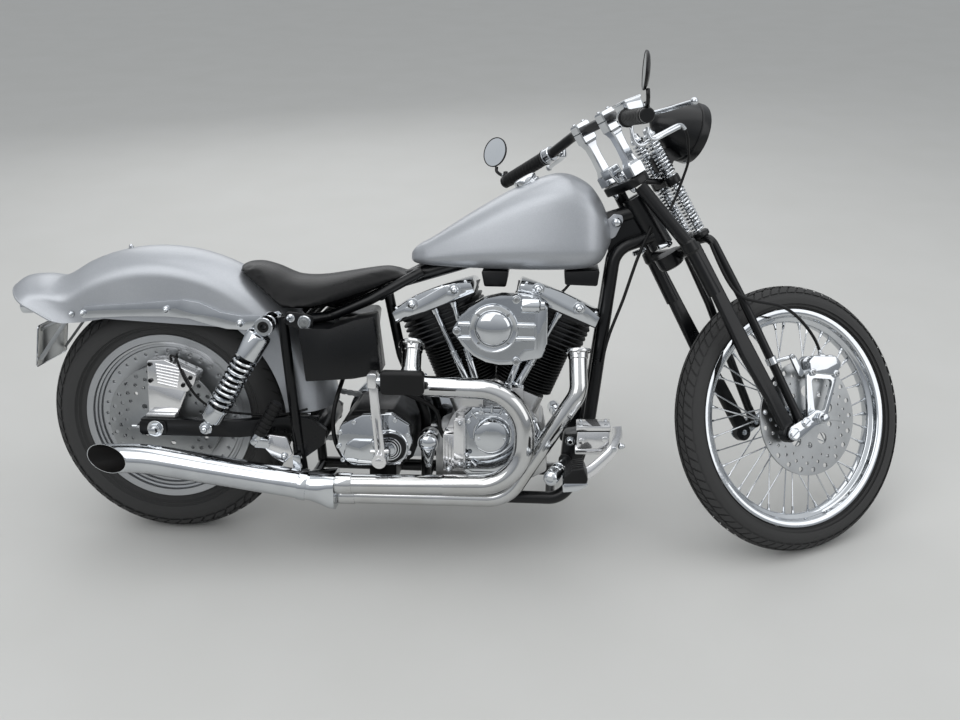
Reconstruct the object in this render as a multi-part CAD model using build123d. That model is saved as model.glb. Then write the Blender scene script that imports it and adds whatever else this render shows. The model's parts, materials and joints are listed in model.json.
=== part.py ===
from build123d import *
import os
from math import acos, atan2, cos, degrees, hypot, pi, radians, sin, sqrt, tan

os.makedirs("parts", exist_ok=True)

# A long chopper motorcycle with a springer fork, parked on its side stand.
# Millimetres. X forward, Y to the left, Z up. The motorcycle is laid out upright, with the
# rear axle at x = 0 and the floor at z = 0, and is leaned over at the end.

# Stance
wheelbase = 1626.0
rake = 32.0
axle_offset = 76.0
lean = 11.3
steer_lock = 31.6
fit_gap = 0.3
slide_gap = 0.08

# Rear wheel
rear_tyre_radius = 318.0
rear_tyre_width = 130.0
rear_seat_radius = 204.0
rear_flange_height = 16.0
rear_lip_radius = rear_seat_radius + rear_flange_height
rear_lip_width = 96.0
rear_disc_radius = 146.0
rear_disc_y = -78.0
disc_thickness = 5.0
rear_axle_radius = 9.5
sprocket_radius = 106.0
chain_y = 84.0

# Front wheel
front_tyre_radius = 343.0
front_tyre_width = 86.0
front_seat_radius = 268.0
front_flange_height = 13.0
front_lip_radius = front_seat_radius + front_flange_height
front_lip_width = 62.0
front_disc_radius = 146.0
front_disc_y = -68.0
front_axle_radius = 9.5
spoke_count = 40
spoke_radius = 1.8

# Frame
tube_radius = 16.0
seat_rail_radius = 13.0
backbone_radius = 20.0
rail_z = 603.0
cradle_half = 105.0
cradle_z = 150.0
neck_low_z = 786.0
neck_top_z = 904.0
neck_radius = 30.0
stem_radius = 12.7
pivot_x = 405.0
pivot_z = 305.0
arm_half = 132.0
arm_width = 25.0
arm_height = 42.0

# Engine, a 45 degree twin
crank_x = 855.0
crank_z = 281.0
half_vee = 22.5
case_half = 72.0
deck_height = 158.0
barrel_height = 132.0
barrel_fins = 8
head_height = 94.0
head_fins = 4
rocker_height = 48.0
rocker_length = 208.0
rocker_right = 108.0
rocker_left = 72.0
rocker_fall = 12.5
fin_thickness = 3.4

# Exhaust
front_pipe_radius = 22.5
rear_pipe_radius = 25.0
pipe_wall = 1.8
muffler_radius = 37.0

# Fork
leg_radius = 16.0
spring_leg_radius = 11.0
tree_drop = 18.0
clamp_z = 926.0
blade_thickness = 18.0
blade_half = 95.0
riser_half = 62.0
bar_radius = 12.7
grip_radius = 17.5
lamp_radius = 77.0


def rod(start, end, radius, bore=0.0):
    """A round bar or tube between two points."""
    axis = Vector(*end) - Vector(*start)
    face = Circle(radius)
    if bore:
        face = face - Circle(bore)
    return extrude(Plane(origin=start, z_dir=axis) * face, axis.length)


def cross(x, z, y_low, y_high, radius, bore=0.0):
    """A round bar or tube that runs across the motorcycle."""
    return rod((x, y_low, z), (x, y_high, z), radius, bore)


def pipe(points, bends, radius, bore=0.0):
    """A bent tube along straight runs joined by arcs."""
    path = FilletPolyline(*points, radius=bends)
    face = Circle(radius)
    if bore:
        face = face - Circle(bore)
    return sweep(Plane(origin=path @ 0, z_dir=path % 0) * face, path=path)


def side_plane(y=0.0):
    """A plane seen from the right side, with local x forward and local y up."""
    return Plane(origin=(0, y, 0), x_dir=(1, 0, 0), z_dir=(0, -1, 0))


def slab(outline, y_low, y_high, corner=0.0):
    """A plate or block with its outline in the side view, given as (x, z) pairs."""
    face = make_face(Polyline(*outline, close=True))
    if corner:
        face = fillet(face.vertices(), corner)
    return extrude(side_plane(y_high) * face, y_high - y_low)


def wheel_plane(x, z):
    """A plane across a wheel's centre, with local x to the left and local y up."""
    return Plane(origin=(x, 0, z), x_dir=(0, 1, 0), z_dir=(1, 0, 0))


def turned(face, x, z):
    """A face of (y, radius) pairs turned about an axle at x, z."""
    return revolve(wheel_plane(x, z) * face, axis=Axis((x, 0, z), (0, 1, 0)))


def ring(x, z, y_low, y_high, outer, inner):
    """A flat ring about an axle."""
    return cross(x, z, y_low, y_high, outer, inner)


def both_sides(shape):
    """A right hand piece with its mirror image."""
    return [shape, mirror(shape, about=Plane.XZ)]


pieces = {}


def keep(name, body, *shapes):
    """Store the solids of one node with the body that it rides on."""
    solids = []
    for shape in shapes:
        solids += shape if isinstance(shape, list) else [shape]
    pieces[name] = (body, solids)


# Places that follow from the stance
rear_x = 0.0
rear_z = rear_tyre_radius
front_x = wheelbase
front_z = front_tyre_radius
steer_up = Vector(-sin(radians(rake)), 0, cos(radians(rake)))
steer_out = Vector(cos(radians(rake)), 0, sin(radians(rake)))
steer_base = Vector(front_x, 0, front_z) - steer_out * axle_offset


def on_steering(z):
    """The point of the steering axis at height z."""
    return steer_base + steer_up * ((z - steer_base.Z) / steer_up.Z)


# Park the motorcycle: find the pitch and height that set both tyres on the floor
rear_crown = rear_tyre_width / 2
front_crown = front_tyre_width / 2
steer_turn = Location((0, 0, 0), (steer_up.X, steer_up.Y, steer_up.Z), steer_lock)
steered = Location(steer_base) * steer_turn * Pos(-steer_base)


def parked(pitch, height):
    """The pose of the leaned motorcycle."""
    return Pos(0, 0, height) * Rot(X=-lean) * Rot(Y=pitch)


def tyre_low(pose, centre, tyre_radius, crown):
    """The lowest height of a round-crowned tyre in a pose."""
    hub = pose * Pos(centre)
    axle = (pose * Pos(Vector(centre) + Vector(0, 1, 0))).position - hub.position
    return hub.position.Z - (tyre_radius - crown) * sqrt(1 - axle.Z ** 2) - crown


pitch = 0.0
height = 0.0
for _ in range(25):
    pose = parked(pitch, height)
    rear_low = tyre_low(pose, (rear_x, 0, rear_z), rear_tyre_radius, rear_crown)
    front_low = tyre_low(pose * steered, (front_x, 0, front_z), front_tyre_radius, front_crown)
    height -= rear_low
    pitch += degrees((front_low - rear_low) / wheelbase)
pose = parked(pitch, height)


# Rear wheel
def tyre(radius, width, seat_radius, lip_radius, bead_half, wall):
    """A round-crowned tyre as a (y, radius) section, open towards the rim."""
    crown = width / 2
    mid = radius - crown
    outer = ThreePointArc((-crown, mid), (0, radius), (crown, mid))
    inner = ThreePointArc((crown - wall, mid), (0, radius - wall * 1.4), (wall - crown, mid))
    lip_edge = lip_radius + 1.5
    right = Line((crown, mid), (bead_half, lip_edge))
    right_foot = Polyline((bead_half, lip_edge), (bead_half, seat_radius), (bead_half - wall, seat_radius))
    right_in = Line((bead_half - wall, seat_radius), (crown - wall, mid))
    left_in = Line((wall - crown, mid), (wall - bead_half, seat_radius))
    left_foot = Polyline((wall - bead_half, seat_radius), (-bead_half, seat_radius), (-bead_half, lip_edge))
    left = Line((-bead_half, lip_edge), (-crown, mid))
    return make_face([outer, right, right_foot, right_in, inner, left_in, left_foot, left])


def rim_face(lip_radius, lip_half, seat_radius, wall):
    """A drop-centre rim as a (y, radius) section, outside first."""
    well = seat_radius - 16
    lip = 3.5
    return make_face(Polyline(
        (-lip_half, lip_radius), (-lip_half + lip, lip_radius), (-lip_half + lip, seat_radius),
        (-lip_half * 0.45, seat_radius - 2), (-lip_half * 0.3, well), (lip_half * 0.3, well),
        (lip_half * 0.45, seat_radius - 2), (lip_half - lip, seat_radius), (lip_half - lip, lip_radius),
        (lip_half, lip_radius), (lip_half, seat_radius - wall), (lip_half * 0.5, seat_radius - wall - 2),
        (lip_half * 0.36, well - wall), (-lip_half * 0.36, well - wall),
        (-lip_half * 0.5, seat_radius - wall - 2), (-lip_half, seat_radius - wall), close=True))


def drilled(disc, x, z, y, rings):
    """Drill rings of holes through a disc: (count, ring radius, hole radius, start angle)."""
    for count, ring_radius, hole_radius, start in rings:
        for k in range(count):
            angle = radians(start + 360 * k / count)
            hole_x = x + ring_radius * cos(angle)
            hole_z = z + ring_radius * sin(angle)
            disc = disc - cross(hole_x, hole_z, y - 20, y + 20, hole_radius)
    return disc


bead_wall = 9.0
rear_bead_half = rear_lip_width / 2 - 3.5 - fit_gap
keep("rear_tyre", "rear_wheel", turned(
    tyre(rear_tyre_radius, rear_tyre_width, rear_seat_radius + fit_gap, rear_lip_radius, rear_bead_half, bead_wall),
    rear_x, rear_z))

rim_wall = 5.0
web_radius = rear_seat_radius - 18
rear_hub_half = 62.0
rear_hub_right = rear_disc_y + disc_thickness / 2 + fit_gap
rear_web_y = -22.0
rear_rim = turned(rim_face(rear_lip_radius, rear_lip_width / 2, rear_seat_radius, rim_wall), rear_x, rear_z)
rear_rim += ring(rear_x, rear_z, rear_web_y, rear_web_y + 14, web_radius, 40)
rear_rim += ring(rear_x, rear_z, rear_hub_right, rear_hub_half, 44, rear_axle_radius + slide_gap)
rear_rim += ring(rear_x, rear_z, rear_web_y - 6, rear_web_y, web_radius, web_radius - 26)
rear_rim = drilled(rear_rim, rear_x, rear_z, rear_web_y, [(24, web_radius - 14, 4.0, 0), (6, 105, 22, 30)])
sprocket = ring(rear_x, rear_z, chain_y - 3.5, chain_y + 3.5, sprocket_radius, rear_axle_radius + slide_gap)
sprocket += ring(rear_x, rear_z, rear_hub_half, chain_y, 48, rear_axle_radius + slide_gap)
keep("rear_rim", "rear_wheel", rear_rim + sprocket)

rear_disc = ring(rear_x, rear_z, rear_disc_y - disc_thickness / 2, rear_disc_y + disc_thickness / 2,
                 rear_disc_radius, 46)
rear_disc = drilled(rear_disc, rear_x, rear_z, rear_disc_y, 
                    [(5, 78, 15, 10), (20, 134, 4, 0), (20, 120, 4, 9)])
disc_seat = ring(rear_x, rear_z, rear_disc_y - disc_thickness / 2, rear_disc_y + disc_thickness / 2, 46, 24)
keep("rear_disc", "rear_wheel", rear_disc + disc_seat)

# Rear axle, swingarm and shocks
axle_reach = arm_half + arm_width / 2
rear_axle = cross(rear_x, rear_z, -axle_reach - 30, axle_reach + 22, rear_axle_radius)
for side in (-1, 1):
    nut_plane = side_plane(side * (axle_reach + fit_gap) + (14 if side > 0 else 0))
    rear_axle += extrude(Pos(0, 0, 0) * nut_plane * Pos(rear_x, rear_z) * RegularPolygon(16, 6), 14)
    inner_y = -rear_hub_right + fit_gap if side < 0 else chain_y + 3.5 + fit_gap
    outer_y = arm_half - arm_width / 2 - fit_gap
    near_y, far_y = sorted((side * inner_y, side * outer_y))
    rear_axle += cross(rear_x, rear_z, near_y, far_y, 14)
keep("rear_axle", "frame", rear_axle)

arm_bend_x = 215.0
arm_front_x = 315.0
arm_front_half = 87.0
arm_tail_x = -38.0
half_width = arm_width / 2
arm_plan = make_face(Polyline(
    (arm_tail_x, -arm_half - half_width), (arm_bend_x, -arm_half - half_width),
    (arm_front_x, -arm_front_half - half_width), (pivot_x, -arm_front_half - half_width),
    (pivot_x, -arm_front_half + half_width), (arm_front_x - 8, -arm_front_half + half_width),
    (arm_bend_x - 8, -arm_half + half_width), (arm_tail_x, -arm_half + half_width), close=True))
arm = Pos(0, 0, rear_z - arm_height / 2 + 3) * extrude(arm_plan, arm_height)
arm -= cross(rear_x, rear_z, -200, 200, rear_axle_radius + slide_gap)
swingarm = arm + mirror(arm, about=Plane.XZ)
pivot_bore = 10.0
swingarm += cross(pivot_x, pivot_z, -arm_front_half - half_width, arm_front_half + half_width, 27)
swingarm -= cross(pivot_x, pivot_z, -200, 200, pivot_bore + slide_gap)
shock_low = (143.0, 336.0)
shock_top = (299.0, 598.0)
shock_y = -176.0
stud_radius = 7.0
swingarm += cross(shock_low[0], shock_low[1], -arm_half - half_width - 40, -arm_half, stud_radius)
swingarm += cross(shock_low[0], shock_low[1], arm_half, arm_half + half_width + 40, stud_radius)
keep("swingarm", "frame", swingarm)

shock_dx = shock_top[0] - shock_low[0]
shock_dz = shock_top[1] - shock_low[1]
shock_length = hypot(shock_dx, shock_dz)
coil_turns = 11
coil_start = 60.0
coil_end = shock_length - 86.0
coil_pitch = (coil_end - coil_start) / coil_turns
shock_profile = [(0, 10), (22, 10), (22, 25), (coil_start, 25)]
for k in range(coil_turns):
    base = coil_start + k * coil_pitch
    shock_profile += [(base, 21), (base + coil_pitch * 0.25, 28), (base + coil_pitch * 0.75, 28)]
cap_end = shock_length - 22
shock_profile += [(coil_end, 21), (coil_end, 31), (cap_end, 31), (cap_end, 12), (shock_length, 12)]
shock_face = make_face(Polyline((0, 0), *shock_profile, (shock_length, 0), close=True))
shock_plane = Plane(origin=(shock_low[0], shock_y, shock_low[1]), x_dir=(shock_dx, 0, shock_dz),
                    z_dir=(0, -1, 0))
shock = revolve(shock_plane * shock_face, axis=Axis(shock_plane.origin, shock_plane.x_dir))
for eye_x, eye_z, eye_radius in ((shock_low[0], shock_low[1], 15), (shock_top[0], shock_top[1], 22)):
    shock += cross(eye_x, eye_z, shock_y - 16, shock_y + 16, eye_radius)
    shock -= cross(eye_x, eye_z, shock_y - 40, shock_y + 40, stud_radius + slide_gap)
keep("shocks", "frame", both_sides(shock))

# Rear fender: a turned arch with a lofted, flared tail
fender_wall = 3.0
fender_half = 100.0
fender_crest = 445.0
fender_front_angle = 6.0
tail_angle = 116.0
fender_front_inner = 327.0
crown_ratio = 1.28
corner_arc = 50.0


def fender_face(crest, foot, half, inset, wall):
    """An arched section of (y, radius): the sheet itself with a wall, or the filled arch without one."""
    w = half - inset
    big = crown_ratio * half - inset
    small = corner_arc - inset
    top = crest - inset
    sink = big - sqrt((big - small) ** 2 - (w - small) ** 2)
    joint = Vector(w - small, big - sink).normalized() * big
    edge_y = joint.X
    edge_z = top - big + joint.Y
    arch = [
        Line((-w, foot), (-w, top - sink)),
        TangentArc((-w, top - sink), (-edge_y, edge_z), tangent=(0, 1)),
        ThreePointArc((-edge_y, edge_z), (0, top), (edge_y, edge_z)),
        TangentArc((w, top - sink), (edge_y, edge_z), tangent=(0, 1)),
        Line((w, top - sink), (w, foot)),
    ]
    filled = make_face(arch + [Line((w, foot), (-w, foot))])
    if not wall:
        return filled
    return filled - fender_face(crest, foot - 5, half, inset + wall, 0)


def radial_plane(angle):
    """A plane through the rear axle at an angle from forward, local y outwards."""
    a = radians(angle)
    return Plane(origin=(rear_x, 0, rear_z), x_dir=(0, 1, 0), z_dir=(sin(a), 0, -cos(a)))


arch_face = fender_face(fender_crest, fender_crest - 172, fender_half, 0, fender_wall)
fender = revolve(radial_plane(fender_front_angle) * arch_face, axis=Axis((rear_x, 0, rear_z), (0, -1, 0)),
                 revolution_arc=tail_angle - fender_front_angle)
inner_x = fender_front_inner * cos(radians(fender_front_angle))
inner_z = rear_z + fender_front_inner * sin(radians(fender_front_angle))
skirt_x = 205.0
skirt_z = rear_z + sqrt(fender_front_inner ** 2 - skirt_x ** 2)
skirt_mid_x = fender_front_inner * cos(radians(30))
skirt_mid_z = rear_z + fender_front_inner * sin(radians(30))
below_skirt = make_face([
    Polyline((skirt_x, skirt_z), (-260, 595), (-260, 200), (inner_x, 200), (inner_x, inner_z)),
    ThreePointArc((inner_x, inner_z), (skirt_mid_x, skirt_mid_z), (skirt_x, skirt_z)),
])
fender -= extrude(side_plane(130) * below_skirt, 260)
# Tail: (foot x, foot z, angle of the section from forward, height, half width)
tail_foot = 322.0
first_angle = radians(tail_angle)
tail_sections = [
    (rear_x + tail_foot * cos(first_angle), rear_z + tail_foot * sin(first_angle), tail_angle,
     fender_crest - tail_foot, fender_half),
    (-189.3, 578.5, 126, 126, 99.8), (-215, 577, 136.3, 152, 104), (-237, 577, 142, 163, 112),
    (-262, 585, 150.2, 149, 122),
]


def tail_plane(x, z, angle):
    """A section plane of the tail, with its origin between the feet and local y towards the crest."""
    a = radians(angle)
    return Plane(origin=(x, 0, z), x_dir=(0, 1, 0), z_dir=(sin(a), 0, -cos(a)))


tail_solid = loft([tail_plane(x, z, a) * fender_face(tall, 0, half, 0, 0)
                   for x, z, a, tall, half in tail_sections])
tail_core = loft([tail_plane(x, z, a) * fender_face(tall, -8, half, fender_wall, 0)
                  for x, z, a, tall, half in tail_sections])
fender += tail_solid - tail_core
fender -= slab([(330, 320), (330, 404), (460, 404), (460, 320)], chain_y - 17, 120)
keep("rear_fender", "frame", fender)

strut_y = -(fender_half + 0.6)
strut_outline = [
    (-192, 606), (-178, 621), (-69, 630), (12, 637), (77, 644), (119, 637), (171, 614), (224, 606),
    (285, 609), (318, 622), (334, 604), (320, 588), (296, 574), (249, 570), (185, 572), (143, 581), (90, 596),
    (36, 600), (-71, 598), (-184, 590),
]
strut = slab(strut_outline, strut_y - 8, strut_y)
for bolt_x, bolt_z in ((-178, 606), (40, 620), (221, 590)):
    strut += cross(bolt_x, bolt_z, strut_y - 14, strut_y - 8, 9)
stud_start = strut_y - 8
strut += cross(shock_top[0], shock_top[1], shock_y - 24, stud_start, stud_radius)
rear_tube_half = 125.0
strut += cross(322, 605, -rear_tube_half + seat_rail_radius + 1.2, stud_start, 9)
keep("fender_struts", "frame", both_sides(strut))

# Main frame
def down_tube(side, radius):
    """One side's tube from the neck down and back under the engine."""
    start = on_steering(neck_low_z + 26)
    return pipe([(start.X - 5, side * 16, start.Z), (1144, side * 28, 778), (1093, side * 60, 335),
                 (1040, side * cradle_half, cradle_z), (372, side * cradle_half, cradle_z)], [60, 90, 60], radius)


frame_sides = []
for side in (-1, 1):
    front_tube = down_tube(side, tube_radius)
    rear_tube = pipe([(395, side * cradle_half, cradle_z), (372, side * cradle_half, cradle_z),
                      (354, side * 118, 330), (330, side * rear_tube_half, 612)], [9, 60], seat_rail_radius)
    rail_tube = pipe([(328, side * rear_tube_half, rail_z), (388, side * 119, rail_z), (440, side * 66, rail_z),
                      (540, side * 58, 645), (668, side * 40, 716)], [40, 40, 90], seat_rail_radius)
    frame_sides += [front_tube, rear_tube, rail_tube]
main_frame = frame_sides[0]
for tube in frame_sides[1:]:
    main_frame += tube
backbone_rear = (606.0, 0.0, 686.0)
neck_joint = on_steering(868)
backbone_front = (neck_joint.X - 18, 0.0, neck_joint.Z)
main_frame += rod(backbone_rear, backbone_front, backbone_radius)
seat_post_x = 671.0
main_frame += pipe([(572, 0, 672), (608, 0, 490), (seat_post_x, 0, 330), (seat_post_x, 0, cradle_z)], [80, 80],
                   seat_rail_radius)
gearbox_rail_x = 560.0
for cross_x, cross_z, cross_half in ((650, 706, 52), (372, cradle_z, cradle_half),
                                     (gearbox_rail_x, cradle_z, cradle_half), (seat_post_x, cradle_z, cradle_half),
                                     (1000, cradle_z, cradle_half), (388, rail_z, 119), (566, 655, 60)):
    main_frame += cross(cross_x, cross_z, -cross_half, cross_half, 12)
neck_low = on_steering(neck_low_z)
neck_top = on_steering(neck_top_z)
main_frame += rod(tuple(neck_low), tuple(neck_top), neck_radius)
gusset = [(1120, 830), (neck_joint.X - 28, neck_joint.Z), (on_steering(800).X - 28, 800), (1160, 768),
          (1128, 770)]
main_frame += slab(gusset, -14, 14)
stem_clear = stem_radius + slide_gap
far_low = on_steering(neck_low_z - 60)
far_top = on_steering(neck_top_z + 60)
main_frame -= rod(tuple(far_low), tuple(far_top), stem_clear)
for side in (-1, 1):
    plate_low = 104 if side > 0 else -118
    main_frame += slab([(340, 350), (395, 345), (430, 318), (425, 280), (372, 240), (345, 240)],
                       plate_low, plate_low + 14)
main_frame += cross(pivot_x, pivot_z, -116, 116, pivot_bore)
keep("main_frame", "frame", main_frame)

# Fuel tank: (x, floor height, top height, half width, corner radius)
tank_sections = [
    (641, 738, 757, 22, 8), (690, 732, 795, 64, 26), (790, 729, 861, 96, 50), (900, 729, 924, 117, 62),
    (1000, 731, 959, 125, 66), (1070, 736, 937, 118, 62), (1108, 750, 890, 92, 46), (1130, 792, 838, 46, 20),
]


def tank_face(x, floor, top, half, corner):
    """One cross-section of the tank, narrower at its top."""
    shoulder = half * 0.72
    section = make_face(Polyline((-half, floor), (half, floor), (shoulder, top), (-shoulder, top), close=True))
    section = fillet(section.vertices().sort_by(Axis.Y)[:2], min(corner * 0.7, (top - floor) * 0.36))
    section = fillet(section.vertices().sort_by(Axis.Y)[-2:], min(corner, (top - floor) * 0.6))
    return wheel_plane(x, 0) * section


tank = loft([tank_face(*row) for row in tank_sections])
tunnel_half = backbone_radius + 6
backbone_slope = (backbone_front[2] - backbone_rear[2]) / (backbone_front[0] - backbone_rear[0])


def backbone_side(x, away):
    """The height of the backbone's top at x for a positive distance, of its underside for a negative."""
    reach = away + (backbone_radius if away > 0 else -backbone_radius)
    return backbone_rear[2] + backbone_slope * (x - backbone_rear[0]) + reach * hypot(1, backbone_slope)


tunnel_start = 620.0
tank -= slab([(tunnel_start, 690), (tunnel_start, backbone_side(tunnel_start, fit_gap)),
              (1180, backbone_side(1180, fit_gap)),
              (1180, 690)], -tunnel_half, tunnel_half)
tank += rod((925, 0, 915), (925, 0, 942), 30)
keep("fuel_tank", "frame", tank)

# Seat
seat_outline = [
    (179, 704), (196, 730), (222, 745), (620, 745), (632, 722), (634, 710), (567, 676), (500, 645), (441, 628),
    (387, 621), (333, 619), (284, 616), (231, 668),
]
# Seat: (x, top height, half width, fall of the top towards its sides)
seat_sections = [
    (176, 704, 62, 30), (222, 731, 100, 58), (281, 718, 122, 66), (340, 694, 127, 62), (400, 692, 124, 58),
    (460, 701, 106, 50), (520, 712, 84, 40), (580, 721, 62, 32), (634, 714, 44, 24),
]


def seat_face(x, top, half, fall):
    """One cross-section of the seat, with its top falling in an arc to upright sides."""
    section = make_face([
        ThreePointArc((-half, top - fall), (0, top), (half, top - fall)),
        Polyline((half, top - fall), (half, 540), (-half, 540), (-half, top - fall)),
    ])
    return wheel_plane(x, 0) * section


seat = loft([seat_face(*row) for row in seat_sections]) & slab(seat_outline, -140, 140)
seat -= cross(rear_x, rear_z, -140, 140, 448)
rail_shadow = slab([(280, 540), (280, 617.5), (436, 619), (545, 667), (690, 747), (690, 540)], -145, 145)
seat -= rail_shadow
seat -= rod((588, 0, 680.4), (760, 0, 734), backbone_radius + 1)
keep("seat", "frame", seat)

# Battery box and tail pieces
box_top = rail_z - seat_rail_radius - fit_gap
box_wall = -83.0
battery_box = slab([(384, box_top), (556, box_top), (524, 468), (395, 460)], box_wall, -20)
battery_box += slab([(378, box_top), (392, 456), (510, 466), (579, 481), (563, 622), (514, 612), (454, box_top)],
                    -160, box_wall, 4)
oil_tank = slab([(388, box_top), (536, box_top), (520, 450), (397, 450)], -20 + fit_gap, 142, 12)
fender_space = cross(rear_x, rear_z, -104, 104, 450)
keep("battery_box", "frame", battery_box - fender_space, oil_tank - fender_space)

strap_x = -309.0
tail_lamp = rod((-352, 0, 598), (-392, 0, 598), 22)
tail_lamp += rod((-352, 0, 598), (strap_x - 3 - fit_gap, 0, 598), 10)
keep("tail_lamp", "frame", tail_lamp)
strap = slab([(strap_x - 3, 559), (strap_x - 3, 700), (strap_x + 1, 700), (strap_x + 1, 559)], -24, 24)
below_fender = Pos(0, 0, -fit_gap) * tail_core
below_fender += slab([(-400, 500), (-400, 625), (-200, 625), (-200, 500)], -40, 40)
bracket = strap & below_fender
bracket += slab([(-323, 458), (strap_x - 3, 564), (strap_x, 564), (-320, 458)], -60, 60)
keep("plate_bracket", "frame", bracket)
keep("licence_plate", "frame", slab([(-325, 455), (-314.2, 562), (-312.6, 562), (-323.4, 455)], -88, 88))


# Engine
def vee_plane(tilt, along=0.0):
    """A plane square to a cylinder's axis, local x forward and local y to the left."""
    t = radians(tilt)
    axis = Vector(sin(t), 0, cos(t))
    origin = Vector(crank_x, 0, crank_z) + axis * along
    return Plane(origin=origin, x_dir=(cos(t), 0, -sin(t)), z_dir=axis)


crankcase = cross(crank_x, crank_z, -case_half, case_half, 128)
crankcase += slab([(crank_x - 150, crank_z - 95), (crank_x - 150, crank_z + 20), (crank_x, crank_z + 90),
                   (crank_x + 120, crank_z + 60), (crank_x + 135, crank_z - 70), (crank_x + 60, cradle_z + 20),
                   (crank_x - 120, cradle_z + 20)], -case_half, case_half, 12)
for tilt in (-half_vee, half_vee):
    crankcase += extrude(vee_plane(tilt, 40) * RectangleRounded(132, 2 * case_half, 20), deck_height - 40)
tappet_top = 440.0
for tappet_x in (crank_x - 54, crank_x + 46):
    crankcase += slab([(tappet_x - 26, 388), (tappet_x - 26, 408), (tappet_x + 26, 408), (tappet_x + 26, 388)],
                      -case_half - 38, -case_half)
    crankcase += slab([(tappet_x - 26, 408), (tappet_x - 26, tappet_top), (tappet_x + 26, tappet_top),
                       (tappet_x + 26, 408)], -case_half - 38, -case_half - 4)
crankcase += cross(crank_x - 166, 290, -case_half - 46, -case_half + 12, 26)
keep("crankcase", "frame", crankcase)

barrels = []
rocker_boxes = []
head_start = deck_height + barrel_height
head_end = head_start + head_height
for tilt in (-half_vee, half_vee):
    barrel = extrude(vee_plane(tilt, deck_height + fit_gap) * Circle(62), barrel_height)
    barrel_pitch = barrel_height / barrel_fins
    for k in range(barrel_fins):
        along = deck_height + 6 + k * barrel_pitch
        barrel += extrude(vee_plane(tilt, along) * RectangleRounded(168, 150, 62), fin_thickness)
    barrel += extrude(vee_plane(tilt, head_start) * RectangleRounded(150, 150, 50), head_height)
    head_pitch = (head_height - 14) / head_fins
    for k in range(head_fins):
        along = head_start + 4 + k * head_pitch
        barrel += extrude(vee_plane(tilt, along) * RectangleRounded(206, 172, 44), fin_thickness + 1)
    keep_side = Keep.BOTTOM if tilt < 0 else Keep.TOP
    middle = Plane(origin=(crank_x + (-2 if tilt < 0 else 2), 0, crank_z), z_dir=(1, 0, 0))
    barrel = split(barrel, bisect_by=middle, keep=keep_side)
    barrels.append(barrel)
    crown = rocker_height * 0.58
    half_length = rocker_length / 2
    box_face = make_face([
        Line((-half_length, 0), (half_length, 0)),
        Line((half_length, 0), (half_length, crown)),
        ThreePointArc((half_length, crown), (0, rocker_height), (-half_length, crown)),
        Line((-half_length, crown), (-half_length, 0)),
    ])
    t = radians(tilt)
    axis = Vector(sin(t), 0, cos(t))
    base = Vector(crank_x, 0, crank_z) + axis * (head_end + fit_gap)
    box_plane = Plane(origin=base + Vector(0, rocker_left, 0), x_dir=(cos(t), 0, -sin(t)), z_dir=(0, -1, 0))
    box = extrude(box_plane * box_face, rocker_left + rocker_right)
    roof = base + axis * (rocker_height + 1) + Vector(0, 14 - rocker_right, 0)
    fall = radians(rocker_fall)
    roof_plane = Plane(origin=roof, z_dir=axis * cos(fall) + Vector(0, sin(fall), 0))
    box = split(box, bisect_by=roof_plane, keep=Keep.BOTTOM)
    for nut in (-62, 50):
        centre = base + Vector(cos(t), 0, -sin(t)) * nut + axis * 19
        box += rod((centre.X, -rocker_right - 9, centre.Z), (centre.X, -rocker_right, centre.Z), 10)
    rocker_boxes.append(box)
keep("cylinders", "frame", barrels)
keep("rocker_boxes", "frame", rocker_boxes)

cam_y = case_half + fit_gap
cam_outline = [(770, 222), (770, 356), (800, 386), (890, 386), (962, 352), (985, 300), (960, 232), (900, 204),
               (790, 204)]
cam_cover = slab(cam_outline, -cam_y - 46, -cam_y, 10)
cam_cover += slab([(729, 224), (729, 321), (762, 321), (762, 366), (786, 366), (786, 226)], -cam_y - 62, -cam_y)
cam_cover += rod((851, -cam_y - 46, 318), (851, -cam_y - 80, 318), 45)
keep("cam_cover", "frame", cam_cover)

tube_ends = [(790, 703), (812, 750), (888, 966), (911, 1012)]
pushrods = []
for foot_x, head_x in tube_ends:
    t = radians(-half_vee if head_x < crank_x else half_vee)
    plane_drop = (head_end - 0.8) / cos(t) - tan(t) * (head_x - crank_x)
    low_point = Vector(foot_x, -97, tappet_top + 4.8)
    top_point = Vector(head_x, -95, crank_z + plane_drop)
    knee = low_point + (top_point - low_point) * 0.42
    tube = rod(tuple(low_point), tuple(knee), 9.5)
    tube += rod(tuple(knee), tuple(top_point), 7)
    pushrods.append(tube)
keep("pushrod_tubes", "frame", pushrods)

cleaner_face = make_face([
    Polyline((918, 676), (962, 670), (980, 648), (983, 563), (972, 525), (900, 514)),
    ThreePointArc((900, 514), (815, 528), (757, 596)),
    ThreePointArc((757, 596), (812, 665), (918, 676)),
])
air_cleaner = extrude(side_plane(-118) * cleaner_face, 48)
air_cleaner = fillet(air_cleaner.faces().sort_by(Axis.Y)[0].edges(), 8)
air_cleaner += cross(852, 594, -172, -166, 58)
for rib_z in (577, 611):
    air_cleaner += rod((905, -166, rib_z), (955, -166, rib_z), 7)
for stay_x in (790, 925):
    air_cleaner += cross(stay_x, 612, -118, -86 - fit_gap, 9)
air_cleaner += cross(855, 575, -118, -30, 19)
keep("air_cleaner", "frame", air_cleaner)

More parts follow.
